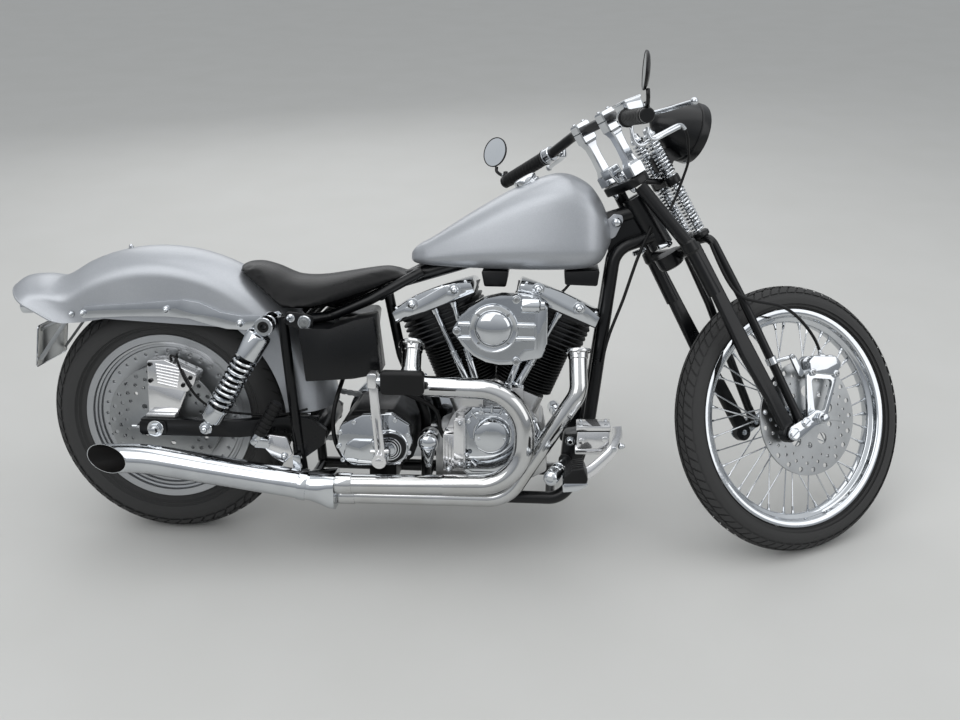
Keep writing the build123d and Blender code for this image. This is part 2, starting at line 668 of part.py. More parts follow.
# Gearbox, primary drive and kick starter
gearbox = slab([(466, 236), (466, 330), (500, 368), (600, 372), (652, 335), (652, 250), (625, 228), (490, 228)],
               -100, 70, 14)
gearbox += slab([(470, 262), (489, 362), (585, 371), (652, 338), (650, 290), (627, 240), (492, 236)],
                -134, -100, 12)
gearbox += rod((600, -134, 286), (600, -150, 286), 38)
kick_shaft_radius = 9.0
kick_x = 579.0
gearbox += cross(kick_x, 270, -175, -134, 20)
foot_z = cradle_z + 12 + fit_gap
gearbox += slab([(530, foot_z), (530, 240), (600, 240), (600, foot_z)], -60, 60)
drive_radius = 44.0
drive_x = 560.0
drive_z = 290.0
gearbox += cross(drive_x, drive_z, 70, 99, 20)
gearbox += cross(drive_x, drive_z, chain_y - 3.5, chain_y + 3.5, drive_radius)
keep("gearbox", "frame", gearbox)

primary_face = make_face([
    Line((560, crank_z + 118), (crank_x + 20, crank_z + 92)),
    ThreePointArc((crank_x + 20, crank_z + 92), (crank_x + 112, crank_z), (crank_x + 20, crank_z - 92)),
    Line((crank_x + 20, crank_z - 92), (560, crank_z - 108)),
    ThreePointArc((560, crank_z - 108), (448, crank_z + 5), (560, crank_z + 118)),
])
primary = extrude(side_plane(168) * primary_face, 168 - 100)
primary = fillet(primary.faces().sort_by(Axis.Y)[-1].edges(), 14)
primary += cross(560, crank_z + 5, 168, 174, 62)
primary += cross(crank_x, crank_z, case_half + fit_gap, 100, 60)
keep("primary_cover", "frame", primary)

kick_arm = pipe([(kick_x, -192, 270), (574, -212, 380), (568, -220, 478)], [60], 10)
kick_arm += cross(kick_x, 270, -202, -175 - fit_gap, 17)
kick_arm += rod((566, -221, 478), (590, -224, 478), 9)
kick_arm += slab([(586, 448), (586, 508), (694, 508), (694, 448)], -238, -210, 6)
keep("kick_starter", "frame", kick_arm)

# Exhausts
pipe_end_x = 466.0
rear_port = Vector(650, -104, 545)
front_port = Vector(1059, -100, 540)
rear_elbow = Vector(654, -176, 458)
front_elbow = Vector(1064, -140, 440)
rear_pipe = pipe([tuple(rear_port), tuple(rear_elbow), (934, -190, 456), (934, -190, 214),
                  (pipe_end_x, -190, 203)],
                 [44, 112, 112], rear_pipe_radius, rear_pipe_radius - pipe_wall)
front_pipe = pipe([tuple(front_port), tuple(front_elbow), (890, -150, 162), (pipe_end_x, -150, 159)],
                  [60, 90], front_pipe_radius, front_pipe_radius - pipe_wall)
keep("exhaust_pipes", "frame", rear_pipe, front_pipe)

collector_faces = [
    Plane(origin=(pipe_end_x - 0.9, -170, 182), x_dir=(0, 1, 0), z_dir=(-1, 0, 0))
    * RectangleRounded(96, 94, 30),
    Plane(origin=(404, -178, 190), x_dir=(0, 1, 0), z_dir=(-1, 0, 0)) * RectangleRounded(
        2 * muffler_radius + 4, 2 * muffler_radius + 4, 30),
]
collector = loft(collector_faces)
muffler = pipe([(410, -178, 188.6), (130, -190, 234), (-20, -196, 262), (-190, -214, 262)], [900, 500],
               muffler_radius, muffler_radius - 2.5)
slash = Plane(origin=(-109.5, -205.5, 262), z_dir=(-0.44, -0.9, 0))
muffler = split(muffler, bisect_by=slash, keep=Keep.BOTTOM)
muffler += collector
muffler += slab([(352, 220), (352, 262), (372, 262), (372, 220)], -160, -131.5 - fit_gap)
keep("muffler", "frame", muffler)

# Forward controls, passenger pegs, rear caliper, coil and chain
right_control = slab([(1030, 330), (1084, 340), (1090, 300), (1060, 240), (1022, 240)], -150, -74)
right_control += slab([(1060, 375), (1140, 377), (1142, 330), (1120, 305), (1062, 305)], -205, -150, 6)
right_control += rod((1035, -150, 270), (998, -300, 273), 9)
right_control += rod((1017, -215, 271), (997, -305, 273), 19)
right_control += rod((1120, -190, 322), (1157, -216, 332), 8)
right_control += pipe([(1172, -214, 378), (1158, -216, 332), (1078, -235, 268)], [25], 8)
right_control += slab([(1030, 274), (1052, 303), (1076, 306), (1088, 264), (1064, 246), (1034, 242)],
                      -305, -232, 4)
left_control = slab([(1030, 330), (1084, 340), (1090, 300), (1060, 240), (1022, 240)], 74, 150)
left_control += rod((1035, 150, 270), (1005, 300, 272), 9)
left_control += rod((1022, 215, 271), (1004, 305, 272), 19)
left_control += pipe([(1060, 150, 300), (1085, 200, 290), (1100, 235, 262)], [25], 8)
left_control += rod((1100, 232, 262), (1098, 300, 258), 12)
right_control -= down_tube(-1, tube_radius + fit_gap)
left_control -= down_tube(1, tube_radius + fit_gap)
keep("forward_controls", "frame", right_control, left_control)

peg = slab([(293, 312), (336, 306), (342, 262), (300, 250), (276, 278)], -150, -128 - fit_gap, 5)
peg += rod((272, -158, 300), (252, -160, 322), 14)
peg += slab([(260, 282), (262, 306), (294, 306), (294, 282)], -170, -128 - fit_gap)
peg += rod((268, -160, 312), (318, -160, 398), 15)
keep("passenger_pegs", "frame", both_sides(peg))

caliper_y = rear_disc_y
caliper = slab([(-26, 486), (20, 489), (103, 452), (94, 425), (74, 405), (-26, 420)],
               caliper_y - 34, caliper_y + 22, 6)
caliper -= cross(rear_x, rear_z, caliper_y - disc_thickness / 2 - 1.5, caliper_y + disc_thickness / 2 + 1.5,
                 rear_disc_radius + 3)
caliper += slab([(-26, 422), (74, 407), (47, 344), (-28, 344)], caliper_y - 34, caliper_y - 22)
arm_top = rear_z + arm_height / 2 + 3
foot_z = arm_top + fit_gap
caliper += slab([(-28, foot_z), (-28, 352), (47, 352), (47, foot_z)], -arm_half, caliper_y - 22)
keep("rear_caliper", "frame", caliper)

coil_box = slab([(1020, 726), (1023, 692), (1103, 690), (1108, 730)], -58, 58, 6)
coil_box += slab([(1030, 724), (1030, backbone_side(1030, -fit_gap)), (1060, backbone_side(1060, -fit_gap)),
                  (1060, 724)], -18, 18)
horn = slab([(816, 724), (824, 684), (878, 684), (884, 724)], -60, 60, 6)
horn += slab([(836, 722), (836, backbone_side(836, -fit_gap)), (864, backbone_side(864, -fit_gap)),
              (864, 722)], -18, 18)
keep("coil_box", "frame", coil_box, horn)

chain_gap = 1.0
run_angle = atan2(drive_z - rear_z, drive_x)
spread = acos((sprocket_radius - drive_radius) / hypot(drive_x, drive_z - rear_z))
chain_half = 8.0


def loop_face(extra):
    """The band between two sprockets, grown by an extra radius."""
    r_rear = sprocket_radius + chain_gap + extra
    r_front = drive_radius + chain_gap + extra
    up = run_angle + spread
    down = run_angle - spread
    rear_up = (rear_x + r_rear * cos(up), rear_z + r_rear * sin(up))
    front_up = (drive_x + r_front * cos(up), drive_z + r_front * sin(up))
    rear_down = (rear_x + r_rear * cos(down), rear_z + r_rear * sin(down))
    front_down = (drive_x + r_front * cos(down), drive_z + r_front * sin(down))
    rear_far = (rear_x - r_rear * cos(run_angle), rear_z - r_rear * sin(run_angle))
    front_far = (drive_x + r_front * cos(run_angle), drive_z + r_front * sin(run_angle))
    return make_face([
        Line(rear_up, front_up), ThreePointArc(front_up, front_far, front_down),
        Line(front_down, rear_down), ThreePointArc(rear_down, rear_far, rear_up)])


chain = extrude(side_plane(chain_y + chain_half) * (loop_face(12) - loop_face(0)), 2 * chain_half)
keep("drive_chain", "frame", chain)

# Fork, laid out pointing straight ahead
tree = on_steering(neck_low_z - tree_drop)
clamp = on_steering(clamp_z)
leg_foot = (1543.0, 307.0)
rocker_mid = (1582.0, 333.0)
leg_half_tree = 88.0
rigid = rod(tuple(on_steering(neck_low_z - 34)), tuple(on_steering(neck_low_z - 2 - fit_gap)), 34)
rigid += rod(tuple(on_steering(neck_low_z - 30)), tuple(on_steering(clamp_z + 10)), stem_radius)
for side in (-1, 1):
    leg_top = clamp - steer_up * 5.5 + Vector(0, side * 50, 0)
    rigid += pipe([tuple(leg_top), (1282, side * leg_half_tree, 772), (1345, side * 92, 655)], [90], leg_radius)
    rigid += rod((tree.X + 4, 0, tree.Z), (1284, side * leg_half_tree, 768), 17)
    blade_face = make_face(Polyline((1272, 775), (1300, 783), (1372, 655), (1562, 322), (1560, 300), (1540, 291),
                                    (1518, 325), (1482, 392), (1414, 500), (1338, 650), close=True))
    low_y = side * blade_half - blade_thickness / 2
    blade = extrude(side_plane(low_y + blade_thickness) * blade_face, blade_thickness)
    rigid += blade
    rigid -= cross(leg_foot[0], leg_foot[1], side * blade_half - 40, side * blade_half + 40, 8 + slide_gap)
keep("rigid_fork", "fork", rigid)

spring_leg_half = 94.0
right_leg = [(1580, -spring_leg_half, 340), (1440, -70, 650), (1362, -62, 800)]
left_leg = [(x, -y, z) for x, y, z in reversed(right_leg)]
spring_fork = pipe(right_leg + left_leg, [120, 24, 24, 120], spring_leg_radius)
for side in (-1, 1):
    low_y = side * spring_leg_half - 12
    spring_fork += cross(rocker_mid[0], rocker_mid[1], low_y, low_y + 24, 14)
spring_fork -= cross(rocker_mid[0], rocker_mid[1], -140, 140, 7 + slide_gap)
axle_spacer = 14.0
rocker_inner = 107.0
rocker_outer = 117.0
front_nut_start = rocker_outer + fit_gap
front_nut_end = front_nut_start + 12.0
front_axle_half = front_nut_end + 12.0
front_axle = cross(front_x, front_z, -front_axle_half, front_axle_half, front_axle_radius)
hub_right = front_disc_y + disc_thickness / 2 - fit_gap
hub_left = 58.0
for low, high in ((-rocker_inner + fit_gap, hub_right), (hub_left + fit_gap, rocker_inner - fit_gap)):
    front_axle += cross(front_x, front_z, low, high, axle_spacer)
for low in (front_nut_start, -front_nut_end):
    nut = side_plane(low + front_nut_end - front_nut_start) * Pos(front_x, front_z) * RegularPolygon(15, 6)
    front_axle += extrude(nut, front_nut_end - front_nut_start)
keep("front_axle", "fork", front_axle)

rockers = []
for side in (-1, 1):
    foot_x, foot_z = leg_foot
    outline = [(foot_x - 16, foot_z - 8), (foot_x - 8, foot_z + 16), (front_x - 6, front_z + 19),
               (front_x + 20, front_z + 10), (front_x + 20, front_z - 12), (foot_x + 12, foot_z - 18)]
    low, high = (rocker_inner, rocker_outer) if side > 0 else (-rocker_outer, -rocker_inner)
    rocker = slab(outline, low, high, 7)
    rocker -= cross(front_x, front_z, low - 5, high + 5, front_axle_radius + slide_gap)
    rocker += cross(leg_foot[0], leg_foot[1], min(side * 84, side * 124), max(side * 84, side * 124), 8)
    rocker += cross(rocker_mid[0], rocker_mid[1], min(side * 80, side * 122), max(side * 80, side * 122), 7)
    rockers.append(rocker)
keep("fork_rockers", "fork", rockers)

# Springs over their rods, above and below the perch in front of the steering stem
spring_y = 30.0
spring_radius = 18.0
spring_rod_radius = 6.0
spring_foot = Vector(1352, 0, 817)
spring_axis = (Vector(1236, 0, 1023) - spring_foot).normalized()
perch_low = 138.0
perch_high = 154.0
spring_end = 236.0


def on_spring(along, y):
    """A point along a spring rod."""
    return spring_foot + spring_axis * along + Vector(0, y, 0)


def coil_stack(start, end, turns, y):
    """A coil spring with touching, rounded turns around its rod."""
    bore = spring_rod_radius + 1.0
    pitch_along = (end - start) / turns
    profile = [(0, bore)]
    for k in range(turns):
        base = k * pitch_along
        profile += [(base, spring_radius - 4), (base + pitch_along * 0.3, spring_radius),
                    (base + pitch_along * 0.7, spring_radius)]
    profile += [(end - start, spring_radius - 4), (end - start, bore)]
    plane = Plane(origin=on_spring(start, y), x_dir=spring_axis, z_dir=(0, -1, 0))
    return revolve(plane * make_face(Polyline(*profile, close=True)), axis=Axis(plane.origin, plane.x_dir))


springs = []
for side in (-1, 1):
    y = side * spring_y
    springs.append(coil_stack(fit_gap, perch_low - fit_gap, 8, y))
    springs.append(coil_stack(perch_high + fit_gap, spring_end, 5, y))
    spring_fork += rod(tuple(on_spring(-6, y)), tuple(on_spring(spring_end + fit_gap, y)), spring_rod_radius)
    spring_fork += rod(tuple(on_spring(spring_end + fit_gap, y)), tuple(on_spring(spring_end + 14, y)), 13)
crown_height = 13.0
crown_plane = Plane(origin=on_spring(-crown_height, 0), x_dir=(0, 1, 0), z_dir=spring_axis)
spring_fork += extrude(crown_plane * RectangleRounded(2 * spring_y + 44, 40, 12), crown_height)
keep("spring_fork", "fork", spring_fork)
keep("fork_springs", "fork", springs)

# Top clamp with the spring perch, risers, bar, levers and mirrors
clamp_up = 22.0
clamp_plane = Plane(origin=clamp, x_dir=(0, 1, 0), z_dir=steer_up)
top_clamp = extrude(clamp_plane * RectangleRounded(150, 56, 20), clamp_up)
perch_plane = Plane(origin=on_spring(perch_low, 0), x_dir=(0, 1, 0), z_dir=spring_axis)
top_clamp += extrude(perch_plane * RectangleRounded(2 * spring_y + 40, 40, 16), perch_high - perch_low)
perch_back = on_spring((perch_low + perch_high) / 2, 0)
top_clamp += rod(tuple(clamp + steer_up * 10 + steer_out * 20), tuple(perch_back), 8)
top_clamp -= rod(tuple(on_steering(clamp_z - 60)), tuple(on_steering(clamp_z + 60)), stem_radius + slide_gap)
for side in (-1, 1):
    top_clamp -= rod(tuple(on_spring(perch_low - 20, side * spring_y)),
                     tuple(on_spring(perch_high + 20, side * spring_y)),
                     spring_rod_radius + slide_gap)
keep("top_clamp", "fork", top_clamp)
risers = []
for side in (-1, 1):
    foot_point = clamp + steer_up * (clamp_up + 1.1) + Vector(0, side * riser_half, 0)
    head = Vector(1086, side * riser_half, 1075)
    riser = rod(tuple(foot_point), tuple(head), 19)
    riser += cross(head.X, head.Z, side * riser_half - 18, side * riser_half + 18, 26)
    riser -= cross(head.X, head.Z, side * riser_half - 30, side * riser_half + 30, bar_radius + slide_gap)
    risers.append(riser)
keep("risers", "fork", risers)

bar_path = [(1012, -348, 1008), (1058, -190, 1044), (1086, -110, 1075), (1086, 110, 1075), (1058, 190, 1044),
            (1012, 348, 1008)]
bar = pipe(bar_path, [60, 60, 60, 60], bar_radius)
for side in (-1, 1):
    bar += rod((1054, side * 204, 1041), (1010, side * 354, 1006.5), grip_radius)
    bar += rod((1068, side * 172, 1056), (1060, side * 196, 1047), 21)
    bar += pipe([(1082, side * 190, 1052), (1104, side * 240, 1040), (1066, side * 350, 1015)], [30], 6)
keep("handlebar", "fork", bar)
mirrors = []
for side in (-1, 1):
    glass = Plane(origin=(998, side * 390, 1090), z_dir=(-0.9, side * -0.42, 0.1)) * Circle(42)
    head = extrude(glass, 9)
    grip_end = Vector(1010, side * 354, 1006.5)
    grip_out = (grip_end - Vector(1054, side * 204, 1041)).normalized()
    head += rod(tuple(grip_end + grip_out * fit_gap), tuple(grip_end + grip_out * 14), 15)
    head += rod(tuple(grip_end + grip_out * 8), (998, side * 388, 1062), 5)
    mirrors.append(head)
keep("mirrors", "fork", mirrors)

lamp_axis = Vector(0.971, 0, -0.238)
lamp_front = Vector(1368, 0, 1070)
lamp_plane = Plane(origin=lamp_front, x_dir=lamp_axis, z_dir=(0, -1, 0))
lamp_face = make_face([
    Line((-125, 0), (28, 0)),
    ThreePointArc((28, 0), (24, lamp_radius * 0.55), (14, lamp_radius - 4)),
    Line((14, lamp_radius - 4), (0, lamp_radius)),
    Line((0, lamp_radius), (-22, lamp_radius)),
    ThreePointArc((-22, lamp_radius), (-86, lamp_radius * 0.66), (-125, 0)),
])
headlight = revolve(lamp_plane * lamp_face, axis=Axis(lamp_front, lamp_axis))
headlight += rod(tuple(on_spring(perch_high + 7.3, 0)), (1312, 0, 1050), 9)
keep("headlight", "fork", headlight)

front_caliper = slab([(1616, 452), (1613, 490), (1632, 503), (1704, 500), (1719, 480), (1700, 444),
                      (1660, 450)],
                     front_disc_y - 36, front_disc_y + 20, 8)
front_caliper -= cross(front_x, front_z, front_disc_y - 5, front_disc_y + 5, front_disc_radius + 3)
bracket_face = [(1608, 458), (1704, 448), (1656, 330), (1606, 330)]
front_caliper += slab(bracket_face, front_disc_y - 30, front_disc_y - 20)
front_caliper -= slab([(1628, 426), (1680, 423), (1650, 374), (1636, 374)],
                      front_disc_y - 40, front_disc_y - 10, 5)
front_caliper -= cross(front_x, front_z, -200, 0, axle_spacer + slide_gap)
keep("front_caliper", "fork", front_caliper)

hose_path = [(1664, -84, 503 + fit_gap), (1656, -86, 534), (1602, -92, 592), (1545, -98, 626), (1462, -102, 636),
             (1408, -102, 648), (1366, -100, 705), (1340, -92, 780)]


def round_bends(points):
    """The largest arc that the runs beside each corner allow."""
    bends = []
    for before, corner, after in zip(points, points[1:], points[2:]):
        first = Vector(*corner) - Vector(*before)
        second = Vector(*after) - Vector(*corner)
        turn_angle = radians(first.get_angle(second))
        bends.append(0.45 * min(first.length, second.length) / tan(turn_angle / 2))
    return bends


keep("brake_hose", "fork", pipe(hose_path, round_bends(hose_path), 4.0))

# Front wheel
front_bead_half = front_lip_width / 2 - 3.5 - fit_gap
keep("front_tyre", "front_wheel", turned(
    tyre(front_tyre_radius, front_tyre_width, front_seat_radius + fit_gap, front_lip_radius, front_bead_half, 7.0),
    front_x, front_z))
front_rim = turned(rim_face(front_lip_radius, front_lip_width / 2, front_seat_radius, 4.0), front_x, front_z)
hub_half = 40.0
front_rim += ring(front_x, front_z, -hub_half, hub_half, 24, front_axle_radius + slide_gap)
for side in (-1, 1):
    flange = ring(front_x, front_z, side * 32 - 4, side * 32 + 4, 40, front_axle_radius + slide_gap)
    front_rim += flange
disc_inner = front_disc_y + disc_thickness / 2
front_rim += ring(front_x, front_z, disc_inner, -hub_half, 40, front_axle_radius + slide_gap)
front_rim += ring(front_x, front_z, hub_half, hub_left, 20, front_axle_radius + slide_gap)
spoke_seat = front_seat_radius - 16 - 3
spokes = []
for k in range(spoke_count):
    side = -1 if k % 2 else 1
    lead = 1 if (k // 2) % 2 else -1
    rim_angle = 2 * pi * k / spoke_count
    hub_angle = rim_angle + lead * radians(62)
    start = (front_x + 36 * cos(hub_angle), side * 32, front_z + 36 * sin(hub_angle))
    end = (front_x + spoke_seat * cos(rim_angle), side * 6, front_z + spoke_seat * sin(rim_angle))
    spokes.append(rod(start, end, spoke_radius))
front_rim = front_rim.fuse(*spokes)
keep("front_rim", "front_wheel", front_rim)
front_disc = ring(front_x, front_z, front_disc_y - disc_thickness / 2, front_disc_y + disc_thickness / 2,
                  front_disc_radius, 22)
front_disc = drilled(front_disc, front_x, front_z, front_disc_y,
                     [(8, 62, 9, 10), (24, 132, 4, 0), (24, 118, 3.4, 7.5)])
keep("front_disc", "front_wheel", front_disc)

# Side stand, laid out on the floor in the parked pose
stand_x = 930.0
stand_y = cradle_half + 47.0
stand_z = cradle_z + 4.0
stand_pivot = (pose * Pos(stand_x, stand_y, stand_z)).position
stand_foot = Vector(1030, 322, 0)
stand_down = (stand_foot + Vector(0, 0, 12) - stand_pivot).normalized()
stand_folded = (pose * Pos(stand_x - 100, stand_y + 20, stand_z)).position - stand_pivot
stand_axis = stand_down.cross(stand_folded.normalized()).normalized()
stand_fold = degrees(acos(stand_down.dot(stand_folded.normalized())))
foot_pad_height = 7.0
stand = rod(tuple(stand_pivot), tuple(stand_foot + Vector(0, 0, 12)), 10)
stand += rod(tuple(stand_pivot - stand_axis * 13), tuple(stand_pivot + stand_axis * 13), 19)
stand += Pos(stand_foot) * extrude(RectangleRounded(70, 44, 18), foot_pad_height)
stand = stand - rod(tuple(stand_pivot - stand_axis * 60), tuple(stand_pivot + stand_axis * 60), 8 + slide_gap)
stand_lug = rod(tuple(stand_pivot - stand_axis * 30), tuple(stand_pivot + stand_axis * 20), 8)
stand_lug += rod(tuple(stand_pivot + stand_axis * (13 + fit_gap)), tuple(stand_pivot + stand_axis * 20), 14)
lug_body = rod(tuple(stand_pivot - stand_axis * 32), tuple(stand_pivot - stand_axis * (13 + fit_gap)), 19)
rail_point = (pose * Pos(stand_x, cradle_half, cradle_z)).position
lug_body += rod(tuple(stand_pivot - stand_axis * 24), tuple(rail_point), 8.5)

# Set the finished pieces in the parked pose and centre them over the floor
placed = {}
for name, (body, solids) in pieces.items():
    where = pose * steered if body in ("fork", "front_wheel") else pose
    placed[name] = (body, [where * solid for solid in solids])
frame_body, frame_solids = placed["main_frame"]
placed["main_frame"] = (frame_body, [frame_solids[0] + stand_lug + lug_body])
placed["side_stand"] = ("stand", [stand])

boxes = [solid.bounding_box() for _, solids in placed.values() for solid in solids]
low_x = min(box.min.X for box in boxes)
high_x = max(box.max.X for box in boxes)
low_y = min(box.min.Y for box in boxes)
high_y = max(box.max.Y for box in boxes)
low_z = min(box.min.Z for box in boxes)
shift = Pos(-(low_x + high_x) / 2, -(low_y + high_y) / 2, -low_z)
for name, (body, solids) in placed.items():
    moved = [shift * solid for solid in solids]
    shape = moved[0] if len(moved) == 1 else Compound([part for solid in moved for part in solid.solids()])
    export_step(shape, f"parts/{name}.step")


def final_point(x, y, z, turned_too=False):
    """A point of the upright motorcycle in the exported frame."""
    where = pose * steered if turned_too else pose
    return (shift * where * Pos(x, y, z)).position


def final_direction(x, y, z, turned_too=False):
    """A direction of the upright motorcycle in the exported frame."""
    return final_point(x, y, z, turned_too) - final_point(0, 0, 0, turned_too)
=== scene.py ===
"""Looks of a long chopper motorcycle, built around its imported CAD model.

Each sub-assembly is a class that is laid out like the real piece, in millimetres, on the upright
motorcycle: x forward, y to the left, z up, with the rear axle at x = 0 and the floor at z = 0.
The stance, read from the frame, then leans and steers every finished piece into its parked place.
"""

import json
import logging
import math
from dataclasses import dataclass
from enum import Enum
from typing import Callable, Iterable, Sequence

import bpy
from mathutils import Matrix, Vector

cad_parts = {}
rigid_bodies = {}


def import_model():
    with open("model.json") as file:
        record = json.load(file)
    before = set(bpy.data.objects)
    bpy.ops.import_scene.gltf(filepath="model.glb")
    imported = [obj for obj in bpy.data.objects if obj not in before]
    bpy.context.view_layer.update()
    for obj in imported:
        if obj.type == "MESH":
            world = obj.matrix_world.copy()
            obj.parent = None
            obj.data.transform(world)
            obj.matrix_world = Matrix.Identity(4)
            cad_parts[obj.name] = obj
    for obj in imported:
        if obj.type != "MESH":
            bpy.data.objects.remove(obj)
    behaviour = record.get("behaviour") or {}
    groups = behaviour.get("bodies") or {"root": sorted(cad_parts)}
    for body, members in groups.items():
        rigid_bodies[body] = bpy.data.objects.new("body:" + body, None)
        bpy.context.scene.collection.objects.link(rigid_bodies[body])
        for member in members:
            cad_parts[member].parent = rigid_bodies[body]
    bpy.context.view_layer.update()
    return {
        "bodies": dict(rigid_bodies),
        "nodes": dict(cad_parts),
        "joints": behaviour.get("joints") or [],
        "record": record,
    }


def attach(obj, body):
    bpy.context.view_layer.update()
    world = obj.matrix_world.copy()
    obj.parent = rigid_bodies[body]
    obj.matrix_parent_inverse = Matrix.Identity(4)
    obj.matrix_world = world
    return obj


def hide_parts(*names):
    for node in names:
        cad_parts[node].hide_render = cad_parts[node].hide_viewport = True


log = logging.getLogger("chopper")

MM = 0.001
Point = tuple[float, float, float]
Flat = tuple[float, float]
Spot = Sequence[float]
Route = Sequence[Spot]
Piece = bpy.types.Object
Tree = bpy.types.NodeTree
Socket = bpy.types.NodeSocket


class Body(Enum):
    """The moving bodies of the motorcycle, by their names in the frame."""

    FRAME = "frame"
    REAR_WHEEL = "rear_wheel"
    FORK = "fork"
    FRONT_WHEEL = "front_wheel"
    STAND = "stand"


# Driving sizes of the upright motorcycle, in millimetres
WHEELBASE = 1626.0
RAKE = math.radians(32.0)
AXLE_OFFSET = 76.0
REAR_RADIUS = 318.0
FRONT_RADIUS = 343.0
STEER_UP = Vector((-math.sin(RAKE), 0.0, math.cos(RAKE)))
STEER_OUT = Vector((math.cos(RAKE), 0.0, math.sin(RAKE)))
REAR_HUB = Vector((0.0, 0.0, REAR_RADIUS))
FRONT_HUB = Vector((WHEELBASE, 0.0, FRONT_RADIUS))
STEER_BASE = FRONT_HUB - STEER_OUT * AXLE_OFFSET
SIDES = (-1, 1)
RIGHT = Vector((0, -1, 0)).freeze()
LEFT = Vector((0, 1, 0)).freeze()


def ray(angle: float) -> Vector:
    """Gives the direction at an angle from straight ahead, in the side view."""
    return Vector((math.cos(angle), 0, math.sin(angle)))


def tilted(degrees: float) -> tuple[Vector, Vector]:
    """Gives the upward and the forward direction of what is tilted forwards by an angle."""
    turn = math.radians(degrees)
    return Vector((math.sin(turn), 0, math.cos(turn))), Vector((math.cos(turn), 0, -math.sin(turn)))


def basis(x_axis: Vector, y_axis: Vector) -> Matrix:
    """Makes a turning matrix from two directions.

    Args:
        x_axis: The direction of the new x axis, roughly square to y_axis.
        y_axis: The direction of the new y axis.

    Returns:
        A 3 by 3 matrix whose columns are the three axes.
    """
    y_axis = y_axis.normalized()
    z_axis = x_axis.cross(y_axis).normalized()
    x_axis = y_axis.cross(z_axis)
    return Matrix((x_axis, y_axis, z_axis)).transposed()


class Stance:
    """Where the parked motorcycle stands, worked out from the frame's joints."""

    def __init__(self, frame: dict) -> None:
        """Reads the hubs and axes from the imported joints.
        """
        joints = {j["name"]: j for j in frame["joints"]}
        rear = joints["rear_wheel_spin"]
        steer = joints["steering"]
        front = joints["front_wheel_spin"]
        self.rear_hub = Vector(rear["pos_m"])
        leaned = basis(-Vector(steer["axis"]), Vector(rear["axis"]))
        upright = basis(STEER_UP, LEFT)
        turn = (leaned @ upright.transposed()).to_4x4()
        scale = Matrix.Diagonal((MM, MM, MM, 1.0))
        self.frame_matrix = Matrix.Translation(self.rear_hub) @ turn @ scale @ Matrix.Translation(-REAR_HUB)
        steered = basis(-Vector(steer["axis"]), Vector(front["axis"]))
        fork_turn = (steered @ upright.transposed()).to_4x4()
        front_hub = Vector(front["pos_m"])
        self.fork_matrix = Matrix.Translation(front_hub) @ fork_turn @ scale @ Matrix.Translation(-FRONT_HUB)
        self.floor_matrix = scale

    def matrix(self, body: Body) -> Matrix:
        """Gives the matrix from the upright motorcycle in millimetres to the parked one in metres.

        Args:
            body: The body that a piece belongs to.

        Returns:
            The 4 by 4 matrix for that body's pieces. Pieces of the stand are laid out on the floor.
        """
        if body in (Body.FORK, Body.FRONT_WHEEL):
            return self.fork_matrix
        if body is Body.STAND:
            return self.floor_matrix
        return self.frame_matrix


def hex_linear(code: str) -> tuple[float, float, float, float]:
    """Turns an sRGB hex colour into linear RGBA.

    Args:
        code: Six hex digits after a hash sign.

    Returns:
        Linear red, green, blue and an alpha of 1.
    """
    parts = [int(code[k:k + 2], 16) / 255 for k in (1, 3, 5)]
    linear = [c / 12.92 if c <= 0.04045 else ((c + 0.055) / 1.055) ** 2.4 for c in parts]
    return (linear[0], linear[1], linear[2], 1.0)


MIX_A = 6
MIX_B = 7
MIX_RESULT = 2


def add_node(tree: Tree, kind: str, settings: dict | None = None,
             links: dict | None = None) -> bpy.types.Node:
    """Adds a shader node with its settings and incoming links.

    Args:
        tree: The node tree.
        kind: The node's type name, such as "ShaderNodeTexNoise".
        settings: Attribute names, input names or input numbers, with their values.
        links: Input names or numbers with the output sockets that feed them.

    Returns:
        The new node.
    """
    node = tree.nodes.new(kind)
    for key, value in (settings or {}).items():
        if isinstance(key, int) or key in node.inputs:
            node.inputs[key].default_value = value
        else:
            setattr(node, key, value)
    for key, source in (links or {}).items():
        tree.links.new(source, node.inputs[key])
    return node


